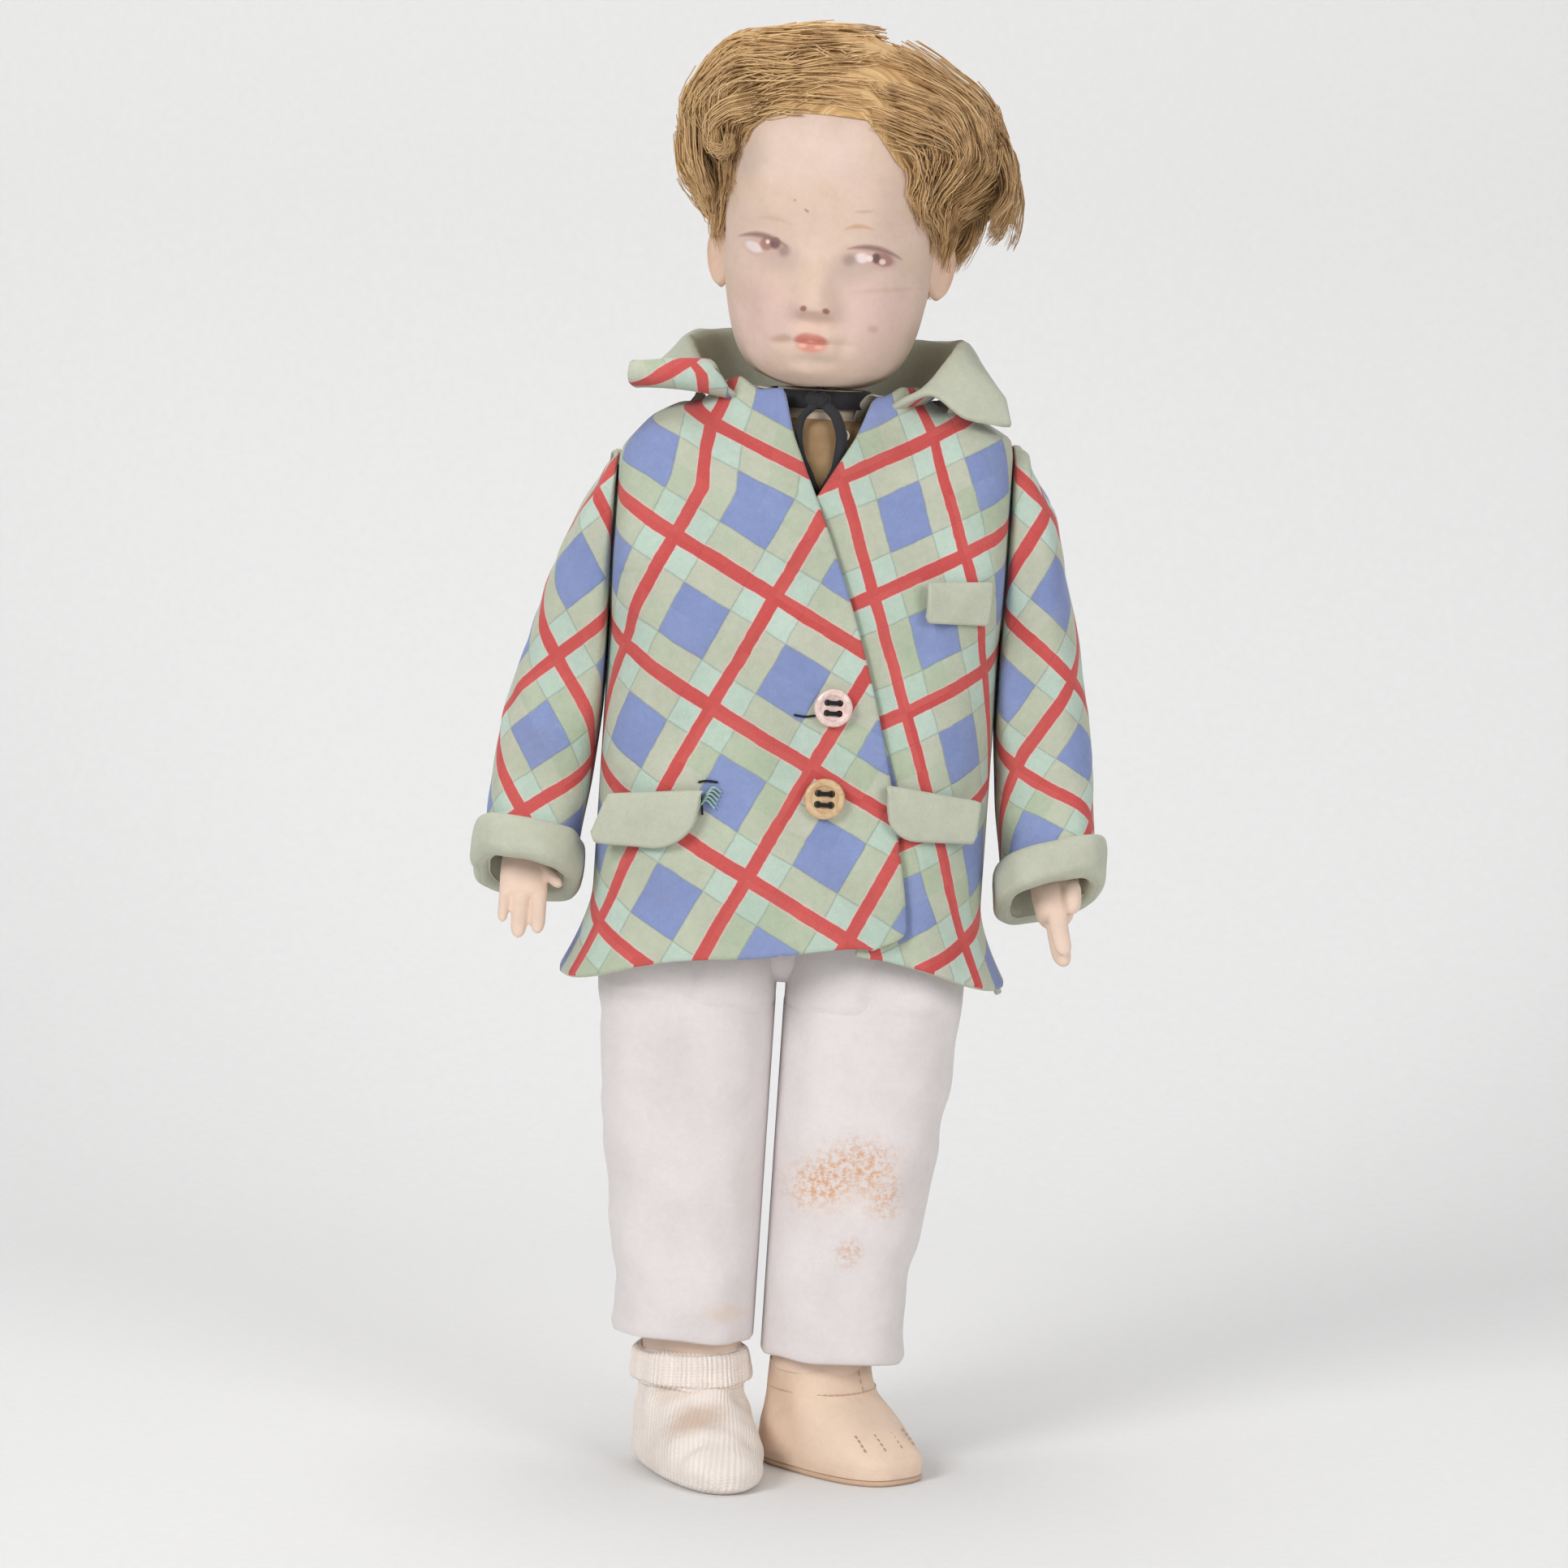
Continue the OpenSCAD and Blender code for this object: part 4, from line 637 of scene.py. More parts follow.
def face_relief(x, z):
    """How far the pressed felt stands out at the front: brows, nose, lips, cheeks and chin."""
    def lump(cx, cz, sx, sz, high):
        return high * np.exp(-((x - cx) / sx) ** 2 / 2 - ((z - cz) / sz) ** 2 / 2)
    out = 0 * x
    for ex, ez in (EYE_R, EYE_L):
        out = out + lump(ex, ez - 0.5, 8.5, 5.5, -2.3) + lump(ex, ez - 0.4, 5.2, 3.2, 1.5)
        out = out + lump(ex, ez - 5.5, 6, 1.6, 0.35) + lump(ex, ez + 9, 8, 3.2, 0.5)
    bridge = np.exp(-(x / 3.6) ** 2 / 2) * smooth(366, 349, z) * smooth(341.5, 345, z) * 4.2
    out = out + bridge + lump(0, NOSE_Z + 0.8, 4.4, 3.3, 2.7)
    for side in SIDES:
        out = out + lump(side * 4.6, NOSE_Z - 1.2, 2.0, 2.0, 1.7)
        out = out + lump(side * 14.5, 344, 8, 8.5, 2.0) + lump(side * 2.6, NOSE_Z - 3.6, 1.2, 0.9, -0.9)
        out = out + lump(side * 3.0, MOUTH_Z + 2.0, 2.6, 1.3, 0.9)
        out = out + lump(side * 8.6, MOUTH_Z - 0.2, 1.8, 1.8, -0.8)
    out = out + lump(0, MOUTH_Z + 1.5, 6.0, 2.0, 1.3) + lump(0, MOUTH_Z - 2.4, 4.8, 1.8, 2.0)
    out = out + lump(0, MOUTH_Z - 0.3, 6.0, 0.6, -1.0) + lump(0, MOUTH_Z + 5, 1.2, 2.0, -0.5)
    return out + lump(0, CHIN_Z, 6.5, 3.6, 1.6) + lump(0, MOUTH_Z - 5.6, 5.5, 1.2, -0.7)


def head_rings(heights, n):
    """The pressed head, ring by ring, with its face."""
    rings = np.array([ring(0, NECK_Y, HEAD_LOW + HEAD_TALL * s, HEAD_HALF * w, HEAD_FRONT * f,
                           HEAD_BACK * b,
                           HEAD_SQUARE, n) for s, (w, f, b) in zip(heights, faired(HEAD, heights))])
    x, y, z = rings[..., 0], rings[..., 1], rings[..., 2]
    rings[..., 1] -= face_relief(x, z) * smooth(0, -16, y - NECK_Y)
    return rings


def painted_face(t, base):
    """Side-glancing painted eyes, thin lids, small lips, a faint blush, the marks of age, painted shade
    under the eyes and painted shadow at their inner corners.
    """
    at = add(t, "ShaderNodeUVMap", uv_map="face").outputs[0]
    white, iris, glint = paint(232, 216, 212), paint(168, 124, 114), paint(246, 222, 214)
    # shade is the grey of the painted shade under the eyes
    dark, lid, shade = paint(104, 78, 80), paint(136, 104, 98), paint(160, 138, 138)
    rx, rz = EYE_R
    lx, lz = EYE_L
    aged = step_down(t, noise(t, at, 0.11, 4.0, 0.6), 0.47, 0.1)
    rosy = step_down(t, noise(t, at, 0.07, 3.0, 0.55), 0.5, 0.12)
    coats = [(aged, paint(212, 187, 162), 0.5), (rosy, paint(228, 198, 190), 0.25)]
    for cx in (-16.0, 16.0):
        coats.append((spot(t, at, cx, 344.5, 9.5, 8.5, 0, 0.8, 0.5), paint(228, 192, 186), 0.5))
    coats += [
        (spot(t, at, 0, NOSE_Z, 5, 5, 0, 0.7), paint(226, 192, 176), 0.35),
        (spot(t, at, -3, 392, 18, 9, 0, 0.8, 0.6), paint(228, 206, 194), 0.4),
        # painted shade under the doll's right eye
        (spot(t, at, rx + 5.5, rz - 3.6, 6.0, 4.2, -20, 0.7), shade, 0.34),
        (spot(t, at, rx + 0.4, rz - 0.7, 6.4, 2.9, -9, 0.35), paint(206, 172, 162), 0.8),
        (spot(t, at, rx - 2.6, rz - 0.9, 2.8, 1.35, -22, 0.35), white, 0.95),
        (spot(t, at, rx + 1.4, rz + 0.2, 2.0, 2.0, 0, 0.3), iris, 0.95),
        (spot(t, at, rx + 4.0, rz + 0.4, 1.55, 1.65, 0, 0.4), dark, 0.9),
        (spot(t, at, rx + 1.7, rz + 0.8, 0.6, 0.65, 0, 0.4), glint, 0.9),
        (stroke(t, at, rx - 0.1, rz + 0.7, 8.0, 1.8, 0.8, -9, 0.7), lid, 0.85),
        # painted shadow at the inner corner of the doll's right eye
        (spot(t, at, rx + 6.8, rz - 1.6, 1.7, 1.6, 20, 0.7), paint(120, 96, 98), 0.55),
        # painted shade under the doll's left eye
        (spot(t, at, lx - 5.5, lz - 3.2, 6.0, 4.2, 20, 0.7), shade, 0.34),
        (spot(t, at, lx + 0.2, lz - 0.8, 6.4, 2.8, -8, 0.35), paint(206, 172, 162), 0.8),
        (spot(t, at, lx - 3.4, lz - 0.8, 1.9, 1.4, 0, 0.35), white, 0.95),
        (spot(t, at, lx + 2.4, lz - 0.9, 2.9, 1.9, -8, 0.3), iris, 0.9),
        (spot(t, at, lx + 0.5, lz - 0.6, 1.15, 1.5, 0, 0.4), dark, 0.85),
        (spot(t, at, lx - 1.2, lz - 0.8, 0.8, 0.85, 0, 0.4), glint, 0.9),
        (spot(t, at, lx + 2.3, lz - 1.5, 0.85, 0.8, 0, 0.4), glint, 0.85),
        (stroke(t, at, lx - 0.1, lz + 0.5, 7.8, 1.7, 0.8, -7, 0.7), lid, 0.85),
        # painted shadow at the inner corner of the doll's left eye
        (spot(t, at, lx - 6.9, lz - 1.6, 1.9, 1.6, 0, 0.7), paint(140, 118, 118), 0.55),
        (stroke(t, at, lx - 4.8, lz + 7.0, 4.6, 1.1, 0.6, 4, 0.5), paint(196, 150, 112), 0.6),
        (stroke(t, at, rx + 3.6, rz + 6.6, 6.0, 0.8, 0.5, -8, 0.6), paint(200, 164, 138), 0.4),
        (spot(t, at, -2.9, NOSE_Z - 1.0, 1.0, 0.8, 12, 0.5), paint(146, 88, 74), 0.85),
        (spot(t, at, 3.6, NOSE_Z - 1.4, 1.0, 0.8, -12, 0.5), paint(146, 88, 74), 0.85),
        (spot(t, at, -2.9, MOUTH_Z + 1.1, 2.7, 1.4, 16, 0.45), paint(196, 112, 98), 0.85),
        (spot(t, at, 1.6, MOUTH_Z + 0.9, 2.7, 1.35, -16, 0.45), paint(196, 112, 98), 0.85),
        (spot(t, at, -0.6, MOUTH_Z - 1.3, 3.9, 1.6, -2, 0.45), paint(212, 138, 120), 0.85),
        (spot(t, at, -3.0, MOUTH_Z - 1.0, 1.2, 0.6, 0, 0.5), paint(240, 184, 168), 0.8),
        (spot(t, at, 1.7, MOUTH_Z - 1.2, 1.2, 0.6, 0, 0.5), paint(240, 184, 168), 0.8),
        (stroke(t, at, -0.6, MOUTH_Z + 0.1, 5.0, -0.3, 0.22, -3, 0.4), paint(160, 80, 70), 0.6),
        (spot(t, at, -9.6, MOUTH_Z + 0.6, 2.8, 1.2, 10, 0.6, 0.6), paint(178, 142, 116), 0.5),
        (spot(t, at, 16.6, 340.6, 1.4, 1.0, 0, 0.6, 0.6), paint(186, 150, 132), 0.5),
        (spot(t, at, -4.4, 373.2, 0.8, 0.4, -30, 0.4), paint(140, 112, 104), 0.6),
        (spot(t, at, -8, 376, 0.5, 0.4, 0, 0.5), paint(150, 124, 116), 0.5),
        (spot(t, at, 12, 374, 2.4, 0.5, 8, 0.6), paint(184, 156, 144), 0.5),
        (spot(t, at, -24, 386, 6, 4, 40, 0.8, 0.9), paint(194, 176, 164), 0.4),
        (spot(t, at, -14, 326, 7, 3.0, -14, 0.8, 0.6), paint(190, 160, 138), 0.4),
        (spot(t, at, 19, 352, 8, 0.6, 8, 0.9), paint(204, 172, 154), 0.45),
    ]
    return layers(t, base, *coats)


SKIN = felt("face_felt_painted", paint(218, 192, 174), mottle=0.15, soil=0.12, fibre=1900.0,
            sheen=0.08, marks=painted_face, bump=0.16)
HAND_FELT = felt("hand_felt", paint(232, 206, 187), mottle=0.1, soil=0.12, bump=0.25)

heights = np.concatenate([np.linspace(0, 0.05, 14), np.linspace(0.056, 0.5, 104), np.linspace(0.51, 1, 46)])
rings = head_rings(heights, 220)
rings += 0.25 * ripple(rings, 17, 3)[..., None] * normals_of(rings, True)
x, y, z = rings[..., 0], rings[..., 1], rings[..., 2]
behind = np.maximum(y - NECK_Y, 0)
face_map = np.stack([x + np.sign(x) * behind * 1.5 + (behind > 0) * np.sign(x) * 4, z], -1)
stuffed("head_felt", rings, "head", [SKIN], face_map, uv_name="face", place=on_head,
        replaces=("head_shell",), slot="skin_felt")


EAR_X, EAR_Z, EAR_OUT = 27.6, 360.5, 40.0


def ear(side):
    """A small cut felt ear with a rolled rim, standing off the head."""
    rows, cols = 13, 40
    t = full_turn(cols)
    share = np.linspace(0, 1, rows)[:, None]
    a = 5.6 * share * np.cos(t) * (1 + 0.12 * np.sin(t))
    b = 9.4 * share * np.sin(t) * (1 - 0.1 * np.sin(t))
    rim = hump(share - 0.86, 0.11) * (0.3 + 0.7 * smooth(-0.8, 0.6, np.cos(t - 0.5)))
    bowl = 1.5 * rim - 1.1 * hump(share, 0.55) + 0.7 * np.exp(-((a - 1) ** 2 + (b - 1.5) ** 2) / 7)
    thick = 1.8 * np.sqrt(np.clip(1 - share ** 4, 0, 1)) + 0.05
    out = math.radians(EAR_OUT)

    def set_on(a, b, h):
        p = np.stack([4.2 + h * math.cos(out) + a * math.sin(out),
                      2.6 - h * math.sin(out) + a * math.cos(out), EAR_Z + b + 0 * a], -1)
        p[..., 0] = side * (p[..., 0] + EAR_X)
        return p
    outer, inner = set_on(a, b, bowl + thick), set_on(a, b, bowl * 0.6 - thick)
    rings = np.concatenate([inner[1:], outer[:0:-1]])
    return stuffed(f"ear_{SIDE_NAME[side]}_felt", rings, "head", [EAR_FELT], place=on_head,
                   replaces=(f"ear_{SIDE_NAME[side]}",), slot="skin_felt")


EAR_FELT = felt("ear_felt", paint(226, 194, 172), mottle=0.1, soil=0.14, bump=0.25)
for side in SIDES:
    ear(side)

# The wig: mohair combed from a parting over the doll's left brow

WIG_MID = np.array([0, NECK_Y, 375.0])
HAIRLINE = {RIGHT: [[0, .784], [25, .786], [40, .767], [56, .7], [66, .64], [74, .62], [80, .615],
                    [87, .605], [100, .58], [112, .46], [125, .41], [150, .36], [180, .34]],
            LEFT: [[0, .784], [19, .777], [27, .725], [36, .665], [45, .63], [51, .6], [57, .58], [68, .57],
                   [84, .55], [100, .5], [112, .45], [125, .41], [150, .36], [180, .34]]}
FULLNESS = [[-40, 4], [-22, 5.5], [-8, 8], [3, 10], [16, 13], [28, 15], [37, 15.5], [46, 13.5], [58, 8.5],
            [75, 4], [91, 3],
            [106, 5.5], [119, 13], [140, 14.5], [162, 13.5], [175, 9.5], [188, 6.5], [205, 4], [220, 4]]
PART_X, LOCK_POINTS = 9.0, 13


def hairline_z(p):
    """The height of the hairline, by the angle from the front on each side."""
    angle = np.degrees(np.arctan2(np.abs(p[..., 0]), -(p[..., 1] - NECK_Y)))
    high = {side: np.interp(angle, *np.array(HAIRLINE[side]).T) for side in SIDES}
    return HEAD_LOW + HEAD_TALL * np.where(p[..., 0] < 0, high[RIGHT], high[LEFT])


def hair_rise(p):
    """How far the combed hair stands off the scalp: full at the temples, close at its edges."""
    x, y, z = p[..., 0], p[..., 1], p[..., 2]
    turn = np.degrees(np.arctan2(z - WIG_MID[2], x))
    full = faired(FULLNESS, np.where(turn < -90, turn + 360, turn))[..., 0]
    full = full * (0.3 + 0.7 * smooth(-36, -12, y)) * (1 - 0.45 * smooth(8, 32, y))
    return 1.0 + full * smooth(-1.5, 11, z - hairline_z(p))


def hair_map(p):
    """Millimetres along the comb from the parting, and across it."""
    x, y, z = p[..., 0], p[..., 1], p[..., 2]
    along = np.abs(x - PART_X) + 0.8 * (421 - z)
    behind = smooth(6, 26, y)
    across = y * (1 - behind) + (x + 20) * behind
    return along, across + (1.7 - 1.1 * behind) * np.sin(along / 6.0 + across / 8.0)


def scalp_axes(d):
    """The half lengths of the rounded scalp on the side that a direction points to."""
    ay = np.where(d[..., 1] < 0, HEAD_FRONT, HEAD_BACK)
    az = np.where(d[..., 2] > 0, 46.8, 66.0)
    return np.stack([0 * ay + 31.9, ay, az], -1)


def to_scalp(p):
    d = p - WIG_MID
    return WIG_MID + d / np.linalg.norm(d / scalp_axes(d), axis=-1, keepdims=True)


def scalp_out(p):
    d = p - WIG_MID
    n = d / scalp_axes(d) ** 2
    return n / np.linalg.norm(n, axis=-1, keepdims=True)


def comb(p):
    """The way the hair lies: left from the parting, down at the sides and the back."""
    x, y = p[:2]
    behind = smooth(2, 24, y)
    over = smooth(PART_X - 3, PART_X + 4, x)
    temple = smooth(16, 29, abs(x))
    front = smooth(-8, -30, y)
    left_way = np.array([-1.0, -0.22 * front, 0.1 * front]) * (1 - temple) + np.array([-0.1, 0.12,
                                                                                       -1.0]) * temple
    right_way = np.array([1.0, -0.05, -0.12]) * (1 - temple) + np.array([0.15, 0.1, -1.0]) * temple
    way = left_way * (1 - over) + right_way * over
    back_way = np.array([0.012 * x, 0.35, -1.0])
    return way * (1 - behind) + back_way * behind


def lock(root, long, lift, flip, wave, phase):
    """One combed lock from its root: a line that follows the scalp, waves, and ends at the hairline."""
    p, line = np.array(root, float), []
    for k in range(LOCK_POINTS):
        s = k / (LOCK_POINTS - 1)
        out = scalp_out(p)
        way = comb(p)
        way = way - out * (way @ out)
        way = way / max(np.linalg.norm(way), 1e-6)
        side = np.cross(out, way)
        calm = 1 - 0.85 * smooth(392, 408, p[2])
        rise = (lift * smooth(-0.1, 0.3, s) * (1 - 0.35 * smooth(0.7, 1, s)) + flip * s ** 3) * calm
        sway = wave * math.sin(phase + 6.28 * 1.6 * s) * smooth(0, 0.3, s)
        line.append(p + out * (hair_rise(p) + rise) + side * sway)
        p = to_scalp(p + way * long / (LOCK_POINTS - 1))
        low = hairline_z(p) - 4.0
        if p[2] < low and k > 4:
            break
    return evenly(np.array(line), LOCK_POINTS)


def wig_locks(count, seed, keep, long, lift, flip, wave, edge):
    """Locks rooted at random where keep() allows; with edge, every other one starts by the hairline."""
    rng = np.random.default_rng(seed)
    lines = []
    while len(lines) < count:
        d = rng.normal(size=3)
        p = to_scalp(WIG_MID + d / np.linalg.norm(d) * 30)
        over = p[2] - hairline_z(p)
        if over < 0.6 or not keep(p) or (edge and over > 8 and len(lines) % 2):
            continue
        phase = p[1] * 0.2 + p[2] * 0.1 + rng.normal() * 0.4
        lines.append(lock(p, long * rng.uniform(0.75, 1.15), lift * rng.uniform(0.55, 1.0),
                          flip * rng.uniform(0.2, 1.0) if rng.uniform() < 0.5 else 0.0,
                          wave * rng.uniform(0.5, 1.3), phase))
    return lines


def geometry_tree(name, inputs):
    """An empty geometry tree with named inputs: the tree, its inputs and its output socket."""
    tree = bpy.data.node_groups.new(name, "GeometryNodeTree")
    for label, kind, value in inputs:
        s = tree.interface.new_socket(label, in_out="INPUT", socket_type="NodeSocket" + kind)
        if value is not None:
            s.default_value = value
    tree.interface.new_socket("Geometry", in_out="OUTPUT", socket_type="NodeSocketGeometry")
    return tree, tree.nodes.new("NodeGroupInput").outputs, tree.nodes.new("NodeGroupOutput").inputs[0]


def mohair_tree():
    """Fills each combed lock with fine strands that spread at the root and gather at the tip."""
    t, i, out = geometry_tree("mohair_strands", [
        ("Locks", "Geometry", None), ("Strands", "Int", 30), ("Root Spread", "Float", 0.004),
        ("Tip Spread", "Float", 0.35), ("Frizz", "Float", 0.0012), ("Strand Width", "Float", 0.0002),
        ("Seed", "Int", 1), ("Finish", "Material", None)])
    many = add(t, "GeometryNodeDuplicateElements", {"Geometry": i["Locks"], "Amount": i["Strands"]},
               domain="SPLINE")
    number = add(t, "GeometryNodeInputIndex").outputs[0]
    spread = add(t, "FunctionNodeRandomValue",
                 {0: (-1, -1, -1), 1: (1, 1, 1), "ID": number, "Seed": i["Seed"]}, data_type="FLOAT_VECTOR")
    tint = add(t, "FunctionNodeRandomValue", {"ID": number, "Seed": i["Seed"]}, data_type="FLOAT")
    held = t.nodes.new("GeometryNodeCaptureAttribute")
    held.domain = "CURVE"
    held.capture_items.new("VECTOR", "spread")
    held.capture_items.new("FLOAT", "tint")
    t.links.new(many.outputs[0], held.inputs[0])
    t.links.new(spread.outputs[0], held.inputs[1])
    t.links.new(tint.outputs[1], held.inputs[2])
    along = add(t, "GeometryNodeSplineParameter").outputs["Factor"]
    gather = add(t, "ShaderNodeMapRange", {"Value": along, "To Min": 1.0, "To Max": i["Tip Spread"]})
    off = scaled(t, held.outputs[1], calc(t, "MULTIPLY", gather.outputs["Result"], i["Root Spread"]))
    place = vector(t, "ADD", add(t, "GeometryNodeInputPosition").outputs[0], off)
    curl = add(t, "ShaderNodeTexNoise", {"Vector": place, "Scale": 120.0, "Detail": 2.0})
    mid = vector(t, "SUBTRACT", curl.outputs["Color"], (0.5, 0.5, 0.5))
    frizz = scaled(t, mid, calc(t, "MULTIPLY", calc(t, "MULTIPLY", along, i["Frizz"]), 4.0))
    total = vector(t, "ADD", off, frizz)
    moved = add(t, "GeometryNodeSetPosition", {"Geometry": held.outputs[0], "Offset": total})
    kept = add(t, "GeometryNodeStoreNamedAttribute", {"Geometry": moved.outputs[0], "Name": "tint",
                                                      "Value": held.outputs[2]}, data_type="FLOAT",
                                                      domain="CURVE")
    taper = add(t, "ShaderNodeMapRange",
                {"Value": along, "From Min": 0.5, "From Max": 1.0, "To Min": 1.0, "To Max": 0.3})
    sized = add(t, "GeometryNodeSetCurveRadius",
                {"Curve": kept.outputs[0], "Radius": taper.outputs["Result"]})
    round_wire = add(t, "GeometryNodeCurvePrimitiveCircle", {"Resolution": 3, "Radius": i["Strand Width"]},
                     mode="RADIUS")
    strands = add(t, "GeometryNodeCurveToMesh",
                  {"Curve": sized.outputs[0], "Profile Curve": round_wire.outputs[0],
                                                 "Fill Caps": True})
    if "Scale" in strands.inputs:
        radius = add(t, "GeometryNodeInputRadius").outputs[0]
        t.links.new(radius, strands.inputs["Scale"])
    real = add(t, "GeometryNodeRealizeInstances", {"Geometry": strands.outputs[0]})
    done = add(t, "GeometryNodeSetMaterial", {"Geometry": real.outputs[0], "Material": i["Finish"]})
    t.links.new(done.outputs[0], out)
    return t


def stitch_tree():
    """Small sewn stitches laid end to end along a line."""
    t, i, out = geometry_tree("sewn_stitches", [
        ("Seam", "Geometry", None), ("Spacing", "Float", 0.003), ("Length", "Float", 0.0018),
        ("Thread", "Float", 0.0003), ("Finish", "Material", None)])
    steps = add(t, "GeometryNodeResampleCurve", {"Curve": i["Seam"], "Length": i["Spacing"]}, mode="LENGTH")
    bead = add(t, "GeometryNodeMeshUVSphere", {"Segments": 8, "Rings": 6, "Radius": 1.0})
    size = add(t, "ShaderNodeCombineXYZ",
               {0: i["Thread"], 1: i["Thread"], 2: calc(t, "MULTIPLY", i["Length"], 0.5)})
    way = add(t, "GeometryNodeInputTangent").outputs[0]
    turn = add(t, "FunctionNodeAlignRotationToVector", {"Vector": way}, axis="Z")
    laid = add(t, "GeometryNodeInstanceOnPoints", {"Points": steps.outputs[0], "Instance": bead.outputs[0],
                                                   "Rotation": turn.outputs[0], "Scale": size.outputs[0]})
    real = add(t, "GeometryNodeRealizeInstances", {"Geometry": laid.outputs[0]})
    even = add(t, "GeometryNodeSetShadeSmooth", {"Geometry": real.outputs[0]})
    done = add(t, "GeometryNodeSetMaterial", {"Geometry": even.outputs[0], "Material": i["Finish"]})
    t.links.new(done.outputs[0], out)
    return t


def grown(name, lines, tree, values, body, place, slot):
    """A geometry tree run along some lines and kept as a plain mesh piece."""
    source = drawn_lines(name, lines, place)
    mod = source.modifiers.new("grow", "NODES")
    mod.node_group = tree
    for item in tree.interface.items_tree:
        if item.in_out == "INPUT" and item.name in values:
            mod[item.identifier] = values[item.name]
    mesh = worked_mesh(source, preserve_all_data_layers=True)
    bpy.data.objects.remove(source)
    mesh.name = name
    return dress(shown(name, mesh), body, slot=slot)


MOHAIR_TREE, STITCH_TREE = mohair_tree(), stitch_tree()
HAIR_DARK, HAIR_MID, HAIR_LIGHT = paint(148, 106, 60), paint(194, 152, 97), paint(226, 191, 140)


def mohair_finish():
    def build(t):
        tint = add(t, "ShaderNodeAttribute", attribute_name="tint").outputs["Fac"]
        at = object_place(t)
        shade = noise(t, at, 110.0, 3.0, 0.6)
        base = blend_colours(t, tint, HAIR_MID, HAIR_LIGHT)
        dim = step_down(t, shade, 0.42, 0.08)
        return blend_colours(t, calc(t, "MULTIPLY", dim, 0.6), base, HAIR_DARK), noise(t, at, 2600.0)
    return finish("mohair_strand", build, rough=0.5, sheen=0.1, bump=0.1, specular=0.4)


def wig_mass_finish():
    """Combed mohair seen as a mass: streaks along the comb, read from the hair's own map."""
    def build(t):
        at = add(t, "ShaderNodeUVMap", uv_map="hair").outputs[0]
        fine = vector(t, "MULTIPLY", at, (0.03, 2.4, 0.0))
        broad = vector(t, "MULTIPLY", at, (0.03, 0.75, 0.0))
        streak, lock_tone = noise(t, fine, 1.0, 4.0, 0.65), noise(t, broad, 1.0, 3.0, 0.55)
        base = blend_colours(t, step_down(t, streak, 0.5, 0.16), HAIR_LIGHT, HAIR_MID)
        dim = calc(t, "MULTIPLY", step_down(t, lock_tone, 0.46, 0.12), 0.5)
        return blend_colours(t, dim, base, HAIR_DARK), streak
    return finish("mohair_mass", build, rough=0.65, bump=0.4, relief=0.0006)


MOHAIR, WIG_MASS = mohair_finish(), wig_mass_finish()

cap_rows, cap_cols = 60, 240
tt = np.radians(270) + full_turn(cap_cols)
edge_ways = np.stack([np.cos(tt), np.sin(tt), 0 * tt], -1)
edge_low = hairline_z(WIG_MID + edge_ways * 30) + 0.4
up = np.linspace(0, 1, cap_rows)
cap = np.zeros((cap_rows, cap_cols, 3))
for r, k in enumerate(up):
    z_aim = edge_low + (HEAD_LOW + HEAD_TALL - 0.02 - edge_low) * k
    w, f, b = faired(HEAD, (z_aim - HEAD_LOW) / HEAD_TALL).T
    slim = 1 - smooth(0.9, 1.0, k) * 0.9
    reach = np.where(np.sin(tt) < 0, HEAD_FRONT * f, HEAD_BACK * b) * slim
    cap[r] = np.stack([HEAD_HALF * w * slim * spow(np.cos(tt), 2 / HEAD_SQUARE),
                       NECK_Y + reach * spow(np.sin(tt), 2 / HEAD_SQUARE), z_aim], -1)
spare = np.linalg.norm(cap - WIG_MID, axis=-1) - np.linalg.norm(to_scalp(cap) - WIG_MID, axis=-1)
stand_off = np.maximum(hair_rise(cap) - spare, 0.8)
along, across = hair_map(cap)
comb_lines = 0.6 * np.sin(across * 2 * math.pi / 7.1) + 0.22 * np.sin(across * 2 * math.pi / 2.9 + 1)
comb_lines = comb_lines + 0.8 * ripple(cap, 14, 19)
stand_off = stand_off + comb_lines * smooth(1.0, 5.0, stand_off)
mass = cap + scalp_out(cap) * stand_off[..., None]
lining = cap + scalp_out(cap) * 0.3
felt_sheet("wig_combed_mass", mass, lining, "head", [WIG_MASS], np.stack([along, across], -1),
           uv_name="hair", wrap=True, cut=("last_row",), place=on_head, replaces=("wig",), slot="mohair")

# Each set of locks: how many, seed, where they root, length, lift, flip, wave, strands in a lock, their
# spread at the root in metres, and whether every other one starts by the hairline
LOCK_SETS = {
    "wig_locks_brow": (70, 11, lambda p: p[1] < 4 and p[0] < PART_X, 46, 0.9, 0.0, 2.2, 26, 0.0044, True),
    "wig_locks_left": (52, 12, lambda p: p[1] < 8 and p[0] >= PART_X - 2, 34, 1.6, 3.6, 2.8, 28, 0.0044,
                       True),
    "wig_locks_back": (58, 13, lambda p: p[1] >= 0, 40, 1.6, 1.5, 2.2, 28, 0.0044, True),
    "wig_locks_crown": (84, 14, lambda p: p[1] >= -4 and p[2] > hairline_z(p) + 12, 44, 0.9, 0.0, 1.8, 28,
                        0.0044, False),
    "wig_locks_parting": (44, 16,
                          lambda p: abs(p[0] - PART_X) < 13 and p[1] < 8 and p[2] > hairline_z(p) + 4,
                          40, 0.8, 0.0, 1.8, 28, 0.0024, False),
    "wig_locks_nape": (64, 15, lambda p: p[1] >= 8 and p[2] < 398, 34, 1.2, 0.0, 1.8, 28, 0.0044, False),
}
for name, (count, seed, keep, long, lift, flip, wave, per_lock, spread, edge) in LOCK_SETS.items():
    grown(name, wig_locks(count, seed, keep, long, lift, flip, wave, edge), MOHAIR_TREE,
          {"Strands": per_lock, "Root Spread": spread, "Tip Spread": 0.5, "Frizz": 0.0015,
           "Strand Width": 0.0002, "Seed": seed, "Finish": MOHAIR}, "head", place=on_head, slot="mohair")

